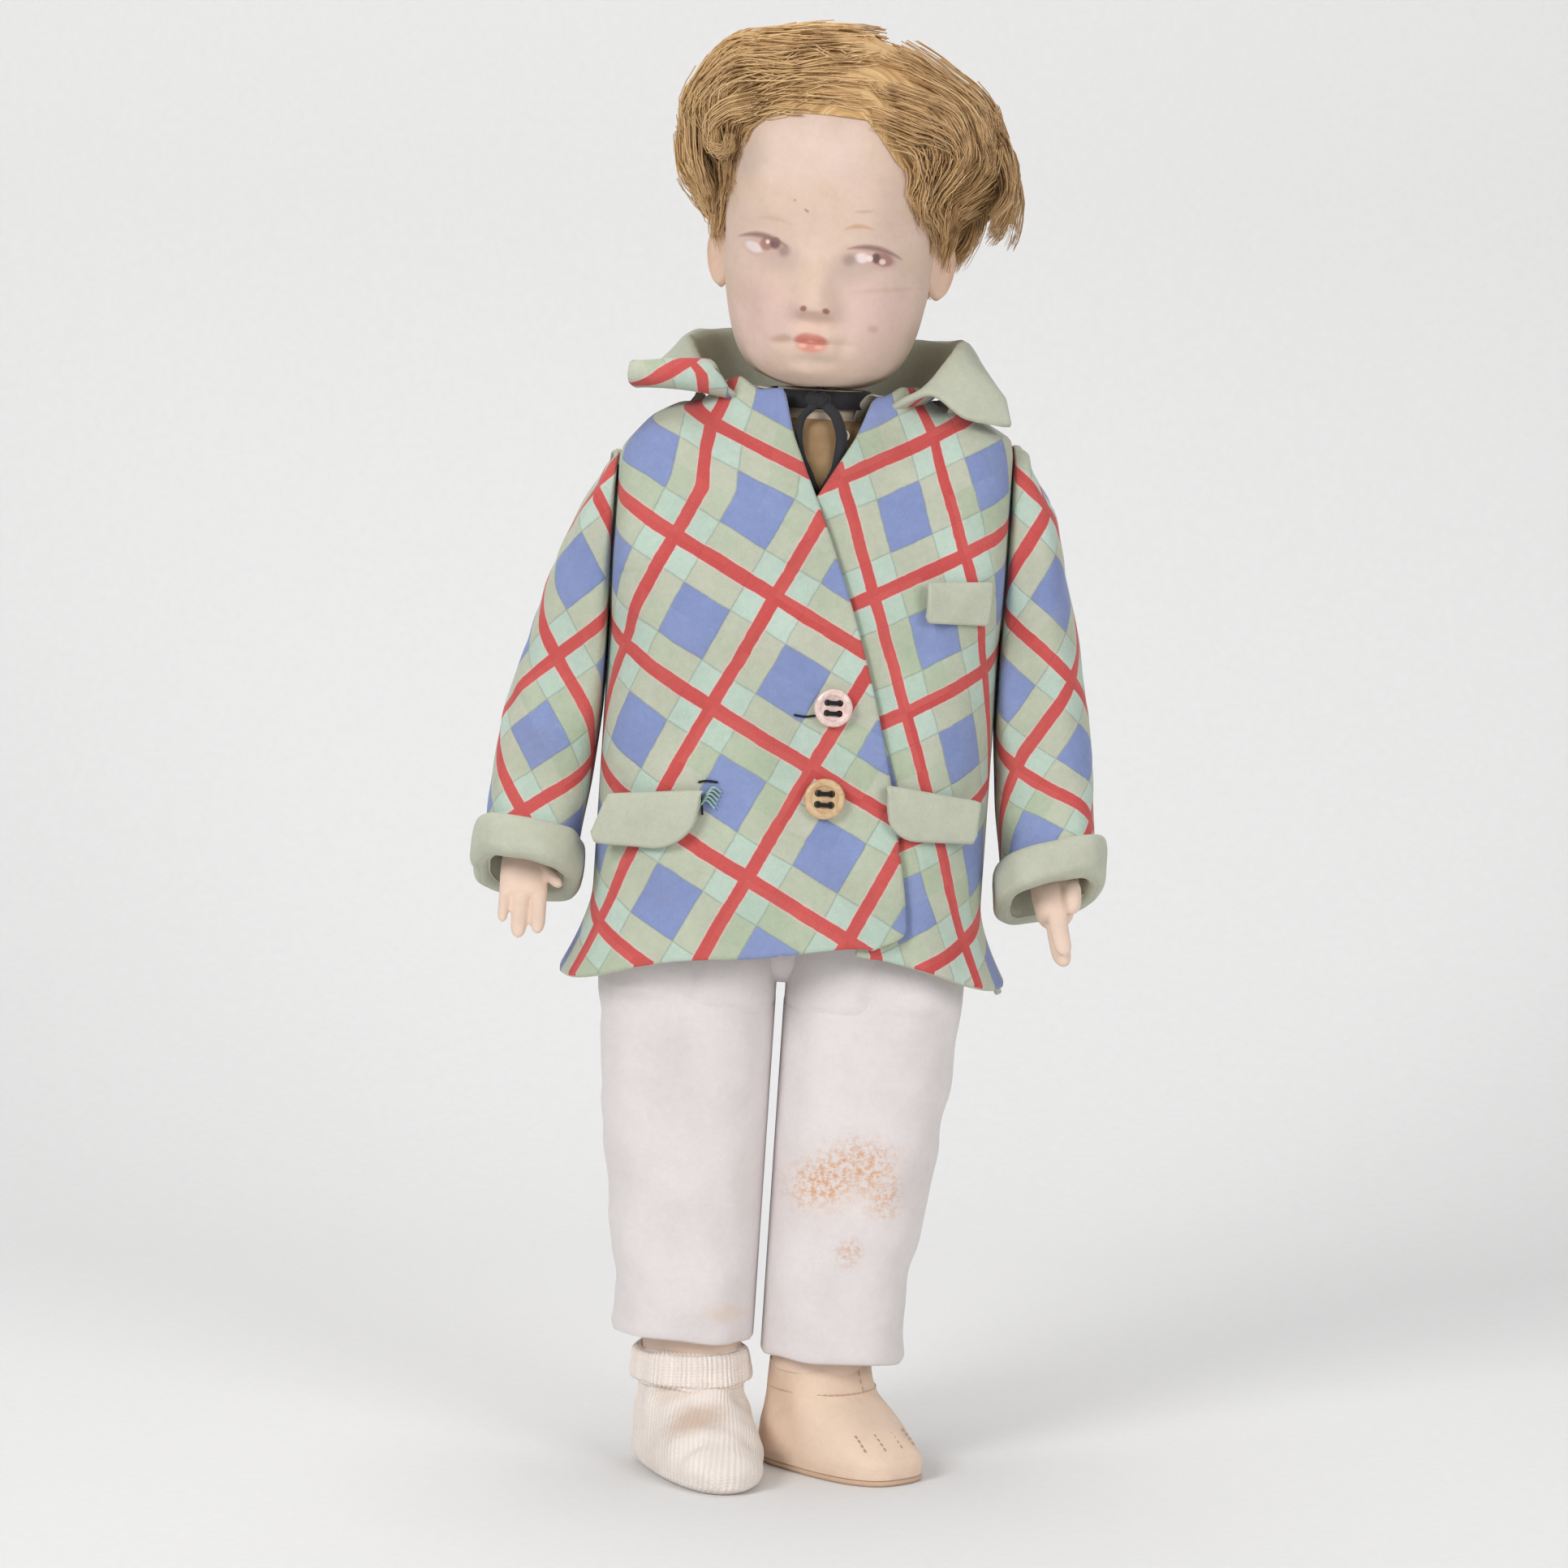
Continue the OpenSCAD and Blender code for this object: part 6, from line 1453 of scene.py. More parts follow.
def sleeve(side):
    name = SIDE_NAME[side]
    rows = sleeve_rows(side)
    cols = 80
    hs = np.concatenate([np.linspace(rows[0][0] + 0.2, rows[2][0], 14),
                         np.linspace(rows[2][0] + 1.2, rows[-1][0], 62)])
    outer = np.array([mirror(sleeve_ring(rows, h, cols, 0.0, slant=CUFF_SLANT[side]), side) for h in hs])
    outer[..., 2] += CUFF_UP[side] * smooth(240, 190, outer[..., 2])
    n = outward(outer, level=False)
    free = smooth(ARMHOLE_X + 1, ARMHOLE_X + 9, np.abs(outer[..., 0]))
    crease = 0.7 * ripple(outer, 40, 41 + side) + 0.3 * ripple(outer, 15, 43 + side)
    outer = outer + n * ((crease - 0.3) * free)[..., None]
    inner = outer - n * CLOTH
    u = np.zeros(outer.shape[:2])
    for r, line in enumerate(outer):
        k = int(np.argmin(line[:, 1]))
        loop = np.roll(line, -k, 0)
        run = run_along(loop)
        whole = run[-1] + np.linalg.norm(loop[0] - loop[-1])
        run = np.where(run > whole / 2, run - whole, run)
        way = 1.0 if loop[3, 0] > loop[0, 0] else -1.0
        u[r] = np.roll(loop[0, 0] + way * run, k)
    seam = int(np.argmin(np.abs(outer[40, :, 0])))
    order = np.roll(np.arange(cols), -seam)
    order = np.append(order, order[0])
    u_open = u[:, order].copy()
    half = cols // 2
    for r in range(len(u_open)):
        jumps = np.diff(u_open[r])
        big = np.argmax(np.abs(jumps))
        if big < half:
            u_open[r, :big + 1] = u_open[r, big + 1] - np.cumsum(np.linalg.norm(
                np.diff(outer[r, order[:big + 2]], axis=0),
                axis=1)[::-1])[::-1] * np.sign(u_open[r, -2] - u_open[r, half])
        else:
            u_open[r, big + 1:] = u_open[r, big] + np.cumsum(np.linalg.norm(
                np.diff(outer[r, order[big:]], axis=0), axis=1)) * np.sign(u_open[r, half] - u_open[r, 1])
    uv = check_map(u_open, -hs[:, None] + 0 * u_open, *SLEEVE_LAY[side])
    made = felt_sheet(f"{name}_sleeve_cloth", outer[:, order], inner[:, order], f"{name}_arm",
                      [CHECK, SAGE], uv, two_sided=True, cut=("last_row", "first_col", "last_col"),
                      replaces=(f"{name}_sleeve",), slot="check_felt")
    cut_sheet(made, outer, True)

    low = ARM_LEN * 1.086 - ARM_TOP
    cut_line = [[1.6, 7.0], [1.5, 3.0], [0.9, 0.9], [-0.9, -0.2], [-2.6, 0.6], [-3.4, 2.6], [-3.5, 8.0],
                [-3.2, CUFF_TALL - 2.0],
                [-2.4, CUFF_TALL - 0.3], [-1.2, CUFF_TALL], [-0.1, CUFF_TALL - 0.6], [0.4, CUFF_TALL - 4]]
    prof = curve_through(cut_line, 40)
    rings = np.array([mirror(sleeve_ring(rows, low - up, 72, off, 0.3 if off > 0 else 0.9,
                                         CUFF_SLANT[side]), side)
                      for off, up in prof])
    rings[..., 2] += CUFF_UP[side]
    rings += 0.28 * ripple(rings, 13, 47 + side)[..., None]
    centre = rings.mean(1, keepdims=True)
    way = rings - centre
    way = way / np.linalg.norm(way, axis=-1, keepdims=True)
    back = rings - way
    made = felt_sheet(f"{name}_cuff_turned", rings, back, f"{name}_arm", [SAGE], wrap=True,
                      replaces=(f"{name}_cuff",), slot="sage_felt")
    cut_sheet(made, rings, True)


for side in SIDES:
    sleeve(side)

# Hands: cut and stuffed felt, with the fingers stitched apart

HAND_X = 77.7
HAND_TURN = {RIGHT: 0.0, LEFT: 92.0}
HAND_SWING = {RIGHT: -1.0, LEFT: 7.0}
HAND_UP = {RIGHT: 0.0, LEFT: 2.3}
HAND_THICK = {RIGHT: 1.0, LEFT: 1.35}
PALM = [[-0.5, 6.4, 4.8], [3, 6.8, 5.0], [7, 7.1, 4.8], [10, 7.1, 4.4], [13, 6.9, 3.9], [14.6, 6.3, 2.9],
        [15.4, 4.6, 1.6]]
FINGERS = [[-4.75, 2.4, 2.3, -26.6], [0.6, 2.65, 2.45, -28.2], [5.3, 1.75, 2.0, -23.6]]
THUMB = {RIGHT: [[-3.8, -0.6, -2.5, 2.0], [-5.8, -1.6, -5.5, 2.3], [-7.9, -2.4, -8.4, 2.3],
                 [-9.5, -2.8, -11.0, 2.0], [-10.2, -3.0, -12.2, 1.2], [-10.4, -3.0, -12.6, 0.3]],
         LEFT: [[-4.6, -3.6, -1.0, 2.2], [-6.2, -4.4, -4.0, 2.6], [-7.4, -4.9, -7.5, 2.7],
                [-7.8, -4.9, -11.5, 2.4], [-7.6, -4.6, -14.0, 1.5], [-7.5, -4.5, -14.6, 0.4]]}


def hand(side):
    name = SIDE_NAME[side]
    wrist_z = ARM_TOP - ARM_LEN - GAP
    turn, swing, nod = (math.radians(a) for a in (HAND_TURN[side], HAND_SWING[side], -SLEEVE_TILT))

    def at_wrist(p):
        x, y, z = p[..., 0], p[..., 1], p[..., 2]
        x, y = x * math.cos(turn) - y * math.sin(turn), x * math.sin(turn) + y * math.cos(turn)
        y, z = y * math.cos(nod) - z * math.sin(nod), y * math.sin(nod) + z * math.cos(nod)
        x, z = x * math.cos(swing) - z * math.sin(swing), x * math.sin(swing) + z * math.cos(swing)
        return mirror(np.stack([x + HAND_X, y - FOREARM_FWD, z + wrist_z + HAND_UP[side]], -1), side)

    hs, thick = np.linspace(-0.5, 15.4, 24), HAND_THICK[side]
    forms = [[ring(0, 0, -h, w, d * thick, d * thick, 2.2, 30) for h, (w, d) in zip(hs, faired(PALM, hs))]]
    for x, w, d, tip in FINGERS:
        rings = []
        for s in np.linspace(0, 1, 22):
            cap = math.sqrt(max(1 - max(0, (s - 0.78) / 0.222) ** 2, 0.0))
            deep = max(d * thick * (1 - 0.14 * s) * cap, .05)
            rings.append(ring(x * (1 + 0.04 * s), -1.6 * s * s, -8 + (tip + 8) * s,
                              max(w * (1 - 0.1 * s) * cap, .05), deep, deep, 2.1, 24))
        forms.append(rings)
    line = np.array(THUMB[side])
    forms.append([ring(x, y, z, r, r, r, 2, 20) for x, y, z, r in
                  faired(np.column_stack([np.linspace(0, 1, len(line)), line]), np.linspace(0, 1, 20))])
    points, faces, start = [], [], 0
    for rings in forms:
        form_points, form_faces = closed_form(rings, start)
        points.append(form_points)
        faces += form_faces
        start += len(form_points)
    rough = bpy.data.meshes.new("hand_forms")
    rough.from_pydata((stand(at_wrist(np.concatenate(points))) * MM).tolist(), [], faces)
    obj = shown(f"{name}_hand_felt", rough)
    knit = obj.modifiers.new("one_skin", "REMESH")
    knit.mode, knit.voxel_size = "VOXEL", 0.0005
    ease = obj.modifiers.new("ease", "SMOOTH")
    ease.factor, ease.iterations = 0.5, 5
    mesh = worked_mesh(obj)
    obj.modifiers.clear()
    obj.data = mesh
    mesh.materials.clear()
    mesh.materials.append(HAND_FELT)
    shade_smooth(mesh)
    dress(obj, f"{name}_arm", (f"{name}_hand", f"{name}_thumb"), "skin_felt")


for side in SIDES:
    hand(side)

# Pocket flaps, breast welt and buttons

FLAP_X, FLAP_HALF, FLAP_TURN = 40.0, 13.5, 14.0


def trim_board(cx, cz, half, tall, turn, y_at, thick, lean=0.0, corners=((1.0, 1.0), (1.0, 1.0)),
               spread=0.0, seed=51):
    """A cut felt strip lying on the jacket's front: grids of its face and its back.

    lean tips the top edge, corners gives each lower corner's reach and rise, from the doll's right,
    and spread moves the foot of the doll's right end.
    """
    rows, cols = 22, 44
    u = np.linspace(-half, half, cols)[None, :]
    v = np.linspace(0, 1, rows)[:, None]
    low = np.zeros_like(u)
    for end, (reach, rise) in zip((-1, 1), corners):
        d = np.clip((reach - (half - end * u)) / reach, 0, 1)
        low = np.maximum(low, rise * (1 - np.sqrt(1 - d * d)))
    top = lean * u / half
    z = top + v * (low - tall - top)
    x = u + spread * v * (0.5 - 0.5 * u / half)
    drape = 0.5 * np.sin(v * 3.0) + 0.25 * ripple(np.stack([x, 0 * x, z], -1), 12, seed)
    outer = np.stack([x, -thick - drape, z], -1)
    a = math.radians(turn)

    def spun(p):
        return np.stack([cx + p[..., 0] * math.cos(a) - p[..., 1] * math.sin(a),
                         y_at + p[..., 0] * math.sin(a) + p[..., 1] * math.cos(a), cz + p[..., 2]], -1)
    return spun(outer), spun(outer + np.array([0, thick, 0]))


FLAPS = {RIGHT: dict(cz=202.4, tall=15.0, lean=1.6, y_at=-35.33, corners=((2.0, 2.0), (12.0, 13.5)),
                     spread=-4.6),
         LEFT: dict(cz=207.2, tall=12.8, lean=-1.7, y_at=-35.21, corners=((9.5, 9.0), (1.5, 1.5)))}
for side, cut in FLAPS.items():
    name = SIDE_NAME[side]
    outer, inner = trim_board(side * FLAP_X, half=FLAP_HALF, turn=side * FLAP_TURN, thick=CLOTH,
                              seed=52 + side, **cut)
    made = felt_sheet(f"{name}_pocket_flap", outer, inner, f"{name}_flap", [SAGE],
                      replaces=(f"pocket_flap_{name}",), slot="sage_felt")
    cut_sheet(made, outer)

WELT_X, WELT_Z = 43.6, 263.5
outer, inner = trim_board(WELT_X, WELT_Z + 5.4, 9.5, 11.0, 19.0, jacket_y(WELT_X, WELT_Z) - 0.2, 1.8,
                          lean=0.5, seed=57)
made = felt_sheet("breast_welt_strip", outer, inner, "torso", [SAGE], replaces=("breast_welt",),
                  slot="sage_felt")
cut_sheet(made, outer)


def shell_finish(name, first, second, rough, coat):
    def build(t):
        at = object_place(t)
        wave = add(t, "ShaderNodeTexNoise",
                   {"Vector": at, "Scale": 260.0, "Detail": 4.0, "Distortion": 2.0}).outputs[0]
        colour = blend_colours(t, step_down(t, wave, 0.5, 0.16), first, second)
        return colour, noise(t, at, 900.0, 3.0)
    return finish(name, build, rough=rough, coat=coat, bump=0.08, specular=0.5)


PEARL = shell_finish("pearl_button", paint(222, 190, 182), paint(238, 214, 206), 0.28, 0.4)
TAN = shell_finish("tan_button", paint(196, 160, 116), paint(214, 182, 140), 0.4, 0.2)
WHITE_PEARL = shell_finish("small_white_button", paint(232, 226, 214), paint(246, 242, 234), 0.3, 0.4)


def thread_finish(name, colour):
    def build(t):
        at = object_place(t)
        ply = add(t, "ShaderNodeTexWave", {"Vector": at, "Scale": 2400.0, "Distortion": 1.5},
                  bands_direction="DIAGONAL")
        # painted shade in the grooves between the plies of the twist
        dim = tuple(c * 0.75 for c in colour[:3]) + (1.0,)
        return blend_colours(t, ply.outputs["Fac"], dim, colour), ply.outputs["Fac"]
    return finish(name, build, rough=0.75, bump=0.4, relief=0.0002)


BLACK_THREAD = thread_finish("black_thread", paint(34, 32, 34))
MINT_THREAD = thread_finish("mint_thread", paint(170, 205, 186))
SEAM_THREAD = thread_finish("seam_thread", paint(222, 188, 160))
TOE_THREAD = thread_finish("toe_thread", paint(206, 166, 138))


HOLE_X, HOLE_Z = 0.16, 0.136


def button(name, x, z, wide, mat, node, holes=True, y=None, lean=0.0, thick=2.4, slot="pearl_button"):
    """A turned shell button: a rolled rim, a dished middle and four sewing holes."""
    r = wide / 2
    back = (jacket_y(x, z) if y is None else y) - 0.3
    prof = [[0.02, 0], [r * .86, 0], [r * .97, .25 * thick], [r, .55 * thick], [r * .95, .86 * thick],
            [r * .84, thick],
            [r * .7, .92 * thick], [r * .6, .7 * thick], [r * .45, .6 * thick], [0.02, .56 * thick]]
    line = evenly(np.array(prof), 60)
    t = full_turn(96)
    rings = np.array([np.stack([q * np.cos(t), 0 * t - h, q * np.sin(t)], -1) for q, h in line])
    if lean:
        a = math.radians(lean)
        yy, zz = rings[..., 1].copy(), rings[..., 2].copy()
        rings[..., 1], rings[...,
                             2] = yy * math.cos(a) - zz * math.sin(a), yy * math.sin(a) + zz * math.cos(a)
    rings = rings + np.array([x, back, z])
    obj = stuffed(name, rings, "torso", [mat], sharp=40)
    if holes:
        bore, tt = 0.09 * wide, t[::6]
        for hx, hz in ((-HOLE_X, -HOLE_Z), (-HOLE_X, HOLE_Z), (HOLE_X, -HOLE_Z), (HOLE_X, HOLE_Z)):
            tool = np.array([np.stack([x + hx * wide + bore * np.cos(tt), 0 * tt + back + d,
                                       z + hz * wide + bore * np.sin(tt)], -1) for d in (1.0, -thick - 1)])
            tool_points, tool_faces = closed_form(tool)
            mesh = bpy.data.meshes.new("drill")
            mesh.from_pydata((stand(tool_points) * MM).tolist(), [], tool_faces)
            drill = shown("drill", mesh)
            mod = obj.modifiers.new("hole", "BOOLEAN")
            mod.object, mod.operation, mod.solver = drill, "DIFFERENCE", "EXACT"
            mesh = worked_mesh(obj)
            obj.modifiers.clear()
            obj.data = mesh
            bpy.data.objects.remove(drill)
    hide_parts(node)
    return back


UPPER_BUTTON, LOWER_BUTTON = (9.6, 231.0, 11.2), (8.8, 204.5, 12.0)
upper_back = button("upper_button_pearl", *UPPER_BUTTON, PEARL, "button_upper")
lower_back = button("lower_button_tan", *LOWER_BUTTON, TAN, "button_lower", slot="tan_button")
button("shirt_button_white", 7.4, 309.0, 3.8, WHITE_PEARL, "shirt_button", holes=False, y=-18.4, lean=-20.0,
       thick=1.2)

sewing = []
for (x, z, wide), back in ((UPPER_BUTTON, upper_back), (LOWER_BUTTON, lower_back)):
    for up in (-HOLE_Z, HOLE_Z):
        for k in (-0.35, 0.0, 0.35):
            x0, x1 = x - HOLE_X * wide, x + HOLE_X * wide
            zz = z + up * wide + k
            sewing.append(curve_through([[x0, back - 0.6, zz], [x0, back - 1.7, zz], [x, back - 2.25, zz],
                                         [x1, back - 1.7, zz], [x1, back - 0.6, zz]], 14))


def wire_piece(name, lines, radius, body, mat, replaces=(), slot=None):
    """Round threads along some lines, as one mesh."""
    source = drawn_lines(name, lines, stand)
    wire = source.data
    wire.bevel_depth, wire.bevel_resolution, wire.use_fill_caps = radius * MM, 2, True
    mesh = worked_mesh(source)
    bpy.data.objects.remove(source)
    mesh.name = name
    mesh.materials.clear()
    mesh.materials.append(mat)
    shade_smooth(mesh)
    return dress(shown(name, mesh), body, replaces, slot)


wire_piece("button_sewing", sewing, 0.3, "torso", BLACK_THREAD, ("button_threads",), "black_thread")


def on_jacket(x, z, out=0.2):
    return [x, jacket_y(x, z) + 0.3 - out, z]


torn = [curve_through([on_jacket(-27.6 + .5 * k, 199 + 1.1 * k, .3),
                       on_jacket(-25.4 + .5 * k, 201.8 + k, .9 + .2 * k),
                       on_jacket(-22.8 + .4 * k, 199.6 + 1.2 * k, .4)], 14) for k in range(5)]
wire_piece("torn_buttonhole_thread", torn, 0.3, "torso", MINT_THREAD)
cuts = [curve_through([on_jacket(-28.0, 206.8, .35), on_jacket(-25.4, 207.4, .55),
                       on_jacket(-22.4, 207.2, .35)], 10),
        curve_through([on_jacket(-27.2, 203.6, .35), on_jacket(-26.6, 200.4, .55),
                       on_jacket(-26.2, 197.4, .3)], 10),
        curve_through([on_jacket(-1.6, 228.2, .3), on_jacket(1.4, 227.9, .5), on_jacket(4.6, 228.4, .3)],
                      12)]
wire_piece("buttonhole_stitching", cuts, 0.32, "torso", BLACK_THREAD)

# Trousers, in off-white felt

TROUSER = [[0, 0, 0, .82], [.12, 0, .04, .82], [.35, 0, .36, .86], [.6, 0, .72, .93], [.8, 0, .9, .99],
           [.915, 0, .98, 1], [.945, 1, .99, 1.01], [1, 1, 1, 1.01]]
CROTCH_Z, DOME_TOP = 150.0, 184.0
TROUSER_HEM = {RIGHT: 39.6, LEFT: 36.0}


def trouser(side):
    name = SIDE_NAME[side]
    hem = TROUSER_HEM[side]
    hs = np.concatenate([np.linspace(0, .915, 60), np.linspace(.92, 1, 8)])
    cols = 88
    rings = []
    for h, (r1, r2, r3) in zip(hs, faired(TROUSER, hs)):
        x0, x1 = 1.2 + 11.9 * r1, 44.2 + 10.3 * r2
        deep = 24.9 * r3 + CLOTH
        rings.append(ring((x0 + x1) / 2, 0, hem + (CROTCH_Z - hem) * h, (x1 - x0) / 2, deep, deep, 2.6,
                          cols))
    for s in np.sin(np.linspace(0.1, math.pi / 2 - 0.06, 14)):
        f = math.sqrt(1 - s * s)
        rings.append(ring(33.8, 0, CROTCH_Z + (DOME_TOP - CROTCH_Z) * s, 20.7 * f, 27.3 * f, 27.3 * f, 2.6,
                          cols))
    outer = mirror(np.array(rings), side)
    n = outward(outer)
    z = outer[..., 2]
    loose = smooth(146, 132, z) * smooth(1.0, 6.0, np.abs(outer[..., 0]))
    crease = 0.5 * ripple(outer * np.array([1, 1, 1.6]), 44, 61 + side) + 0.3 * ripple(outer, 15, 63 + side)
    drag = 0.5 * np.sin((z + 0.8 * np.abs(outer[..., 0])) / 8.5) * smooth(84, 60, z)
    hem_wave = 0.7 * ripple(outer, 24, 65 + side) * smooth(hem + 8, hem, z)
    outer = outer + n * ((crease + drag) * loose - 0.7 * loose)[..., None]
    outer[..., 2] += hem_wave
    inner = outer - n * CLOTH
    uv = np.stack([outer[..., 0], outer[..., 2]], -1)
    far = outer[..., 1] > 0
    uv[far] = [200.0, 0.0]
    made = felt_sheet(f"{name}_trouser_cloth", outer, inner, f"{name}_leg", [WHITE], uv, wrap=True,
                      cut=("last_row",), replaces=(f"{name}_trouser_leg",), slot="white_felt")
    cut_sheet(made, outer, True)


for side in SIDES:
    trouser(side)

seat_rings = np.array([ring(0, 0, z, 52.5 - 3 * s, 26.4 + 1.2 * s, 26.4 + 1.2 * s, 4, 96)
                       for s, z in zip(np.linspace(0, 1, 14), np.linspace(187, 207.5, 14))])
seat_in = np.array([ring(0, 0, z, 50.3 - 3 * s, 24.2 + 1.2 * s, 24.2 + 1.2 * s, 4, 96)
                    for s, z in zip(np.linspace(0, 1, 14), np.linspace(187, 207.5, 14))])
made = felt_sheet("trouser_waist", seat_rings, seat_in, "torso", [WHITE], wrap=True,
                  replaces=("trouser_seat",),
                  uv=np.stack([seat_rings[..., 0], seat_rings[..., 2] + 300], -1), slot="white_felt")
cut_sheet(made, seat_rings, True)

for side in SIDES:
    z, x = np.meshgrid(np.linspace(138.4, 164, 22), np.linspace(1.4, 28, 34), indexing="ij")
    proud = 1.6 * smooth(28, 21, x) * smooth(138.4, 143, z) - 0.9
    y = -27.1 * (1 - (np.abs(x - 27.7) / 26.5) ** 2.6) ** (1 / 2.6) - proud
    front = mirror(np.stack([x, y, z], -1), side)
    made = felt_sheet(f"trouser_front_{SIDE_NAME[side]}", front, front + np.array([0, 1.4, 0]), "torso",
                      [WHITE], front[..., [0, 2]], slot="white_felt")
    cut_sheet(made, front)
    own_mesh(made)

around = full_turn(60)
crotch = []
for x in np.linspace(-12.6, 12.6, 21):
    r = 10.0 + 6.0 * smooth(5, 12.6, abs(x))
    crotch.append(np.stack([x + 0 * around, r * np.cos(around), HIP_Z + r * np.sin(around)], -1))
crotch = np.array(crotch)
made = stuffed("trouser_crotch", crotch, "torso", [WHITE],
               np.stack([crotch[..., 0] + 300, crotch[..., 2]], -1), slot="white_felt")

# Feet: one bare, one in a knitted sock

FOOT = [[0, .9, .93, .9], [.08, .97, .975, .965], [.2, 1, .98, 1], [.42, .97, .82, 1], [.62, .92, .6, .97],
        [.8, .86, .45, .94]]
FOOT_TALL, FOOT_HALF, TOE, HEEL = 28.0, 17.5, 42.0, 17.0
FOOT_TURN = {RIGHT: 15.0, LEFT: 36.0}


def foot_frame(side):
    c = stand([side * ANKLE_X, 0, 30.0])
    a = math.radians(FOOT_TURN[side])

    def turned(p):
        x, y = p[..., 0], p[..., 1]
        return np.stack([c[0] + x * math.cos(a) - y * math.sin(a), c[1] + x * math.sin(a) + y * math.cos(a),
                         p[..., 2]], -1)
    return turned


def foot_rows():
    rows = [[FOOT_TALL * r[0], FOOT_HALF * r[1], TOE * r[2], HEEL * r[3]] for r in FOOT]
    return rows + [[28.0, 14.6, 15.9, 15.2], [31.0, 14.4, 15.0, 15.0]]


def foot_power(z):
    return 2.2 + 0.7 * smooth(24, 12, z)


def foot_ring(z, n, off=0.0):
    half, toe, heel = faired(foot_rows(), np.array([z]))[0]
    half = half * (1 - 0.05 * smooth(24, 14, z))
    return ring(0, 0, z, half + off, toe + off, heel + off, foot_power(z), n)


def foot_marks(t, base):
    """Soiled toes and heel on the bare felt foot."""
    at = object_place(t)
    soil = step_down(t, noise(t, at, 55.0, 4.0, 0.6), 0.45, 0.12)
    return layers(t, base, (soil, paint(216, 184, 160), 0.3))


FOOT_FELT = felt("foot_felt", paint(233, 207, 184), mottle=0.12, soil=0.1, marks=foot_marks)
SOLE_FELT = felt("sole_felt", paint(206, 176, 150), mottle=0.16, soil=0.2)
turned = foot_frame(LEFT)
foot_z = np.concatenate([np.linspace(2.0, 6, 6), np.linspace(7, 31.5, 30)])
rings = np.array([turned(foot_ring(z, 90)) for z in foot_z])
n = normals_of(rings, True)
rings = rings + (0.35 * ripple(rings, 16, 71))[..., None] * np.where(rings[..., 2:] < 4, 0, n)
foot = stuffed("left_foot_felt", rings, "left_leg", [FOOT_FELT], place=on_table, replaces=("left_foot",),
               slot="skin_felt")
sole_rings = np.array([turned(foot_ring(2.0, 90, off)) + np.array([0, 0, dz]) for off, dz in
                       ((-3, -2.0), (-0.6, -1.95), (0.1, -1.3), (0.1, -0.7), (-0.6, -0.1), (-3, 0.05))])
stuffed("left_sole_board", sole_rings, "left_leg", [SOLE_FELT], place=on_table, replaces=("left_sole",),
        slot="sole_felt")

toe_lines = []
for t in (-0.62, -0.22, 0.2, 0.6):
    line = []
    for s in np.linspace(0, 1, 8):
        z = 10.4 + 3.2 * s
        half, toe, _ = faired(foot_rows(), np.array([z]))[0]
        x = half * 0.85 * t
        y = -toe * (1 - (abs(x) / half) ** foot_power(z)) ** (1 / foot_power(z)) - 0.1
        line.append([x, y, z])
    toe_lines.append(turned(np.array(line)))
grown("toe_stitching", toe_lines, STITCH_TREE,
      {"Spacing": 0.0016, "Length": 0.0014, "Thread": 0.0003, "Finish": TOE_THREAD},
      "left_leg", place=on_table, slot="tan_cotton")
ankle_line = turned(np.concatenate([foot_ring(23.6, 60, 0.05), foot_ring(23.6, 60, 0.05)[:1]]))
front_line = []
for z in np.linspace(24.4, 31, 10):
    half, toe, _ = faired(foot_rows(), np.array([z]))[0]
    front_line.append([3.0, -toe * (1 - (3.0 / half) ** 2.2) ** (1 / 2.2) - 0.2, z])
grown("foot_seam_stitching", [ankle_line, turned(np.array(front_line))], STITCH_TREE,
      {"Spacing": 0.0018, "Length": 0.0017, "Thread": 0.0002, "Finish": SEAM_THREAD}, "left_leg",
      place=on_table, slot="tan_cotton")


def knit_group():
    """Machine knit: columns of small loops, read from the sock's own map in millimetres."""
    t, i, o = group("knit_loops",
                    [("Map", "Vector", None), ("Wale", "Float", 1.1), ("Course", "Float", 0.9)],
                    [("Height", "Float")])
    p = add(t, "ShaderNodeSeparateXYZ", {0: i["Map"]}).outputs
    wale = calc(t, "SINE", calc(t, "MULTIPLY", calc(t, "DIVIDE", p[0], i["Wale"]), 6.2832))
    skew = calc(t, "ADD", p[1], calc(t, "MULTIPLY", calc(t, "ABSOLUTE", wale), 0.35))
    course = calc(t, "SINE", calc(t, "MULTIPLY", calc(t, "DIVIDE", skew, i["Course"]), 6.2832))
    t.links.new(calc(t, "ADD", calc(t, "MULTIPLY", wale, 0.6), calc(t, "MULTIPLY", course, 0.35)),
                o["Height"])
    return t


KNIT = knit_group()


def sock_finish():
    def build(t):
        at = add(t, "ShaderNodeUVMap", uv_map="cloth").outputs[0]
        loops = place_group(t, KNIT, {"Map": at})["Height"]
        # painted shade in the hollows of the knit and painted light on the tops of its loops
        shade = blend_colours(t, calc(t, "MULTIPLY", calc(t, "ADD", loops, 1.0), 0.5), paint(240, 225, 214),
                              paint(251, 243, 236))
        shade = layers(t, shade, (spot(t, at, -1, 29, 6.5, 7, 0, 0.8, 1.0), paint(196, 156, 122), 0.55),
                       (spot(t, at, -6, 12, 8, 3, 0, 0.8, 1.0), paint(222, 200, 178), 0.5))
        nap = place_group(t, FELT_NAP, {"Colour": shade, "Mottle": 0.1, "Soil": 0.08, "Fibre": 2200.0})
        return nap["Colour"], calc(t, "ADD", loops, calc(t, "MULTIPLY", nap["Height"], 0.5))
    return finish("sock_knit", build, rough=0.92, sheen=0.15, bump=0.45, relief=0.0005)


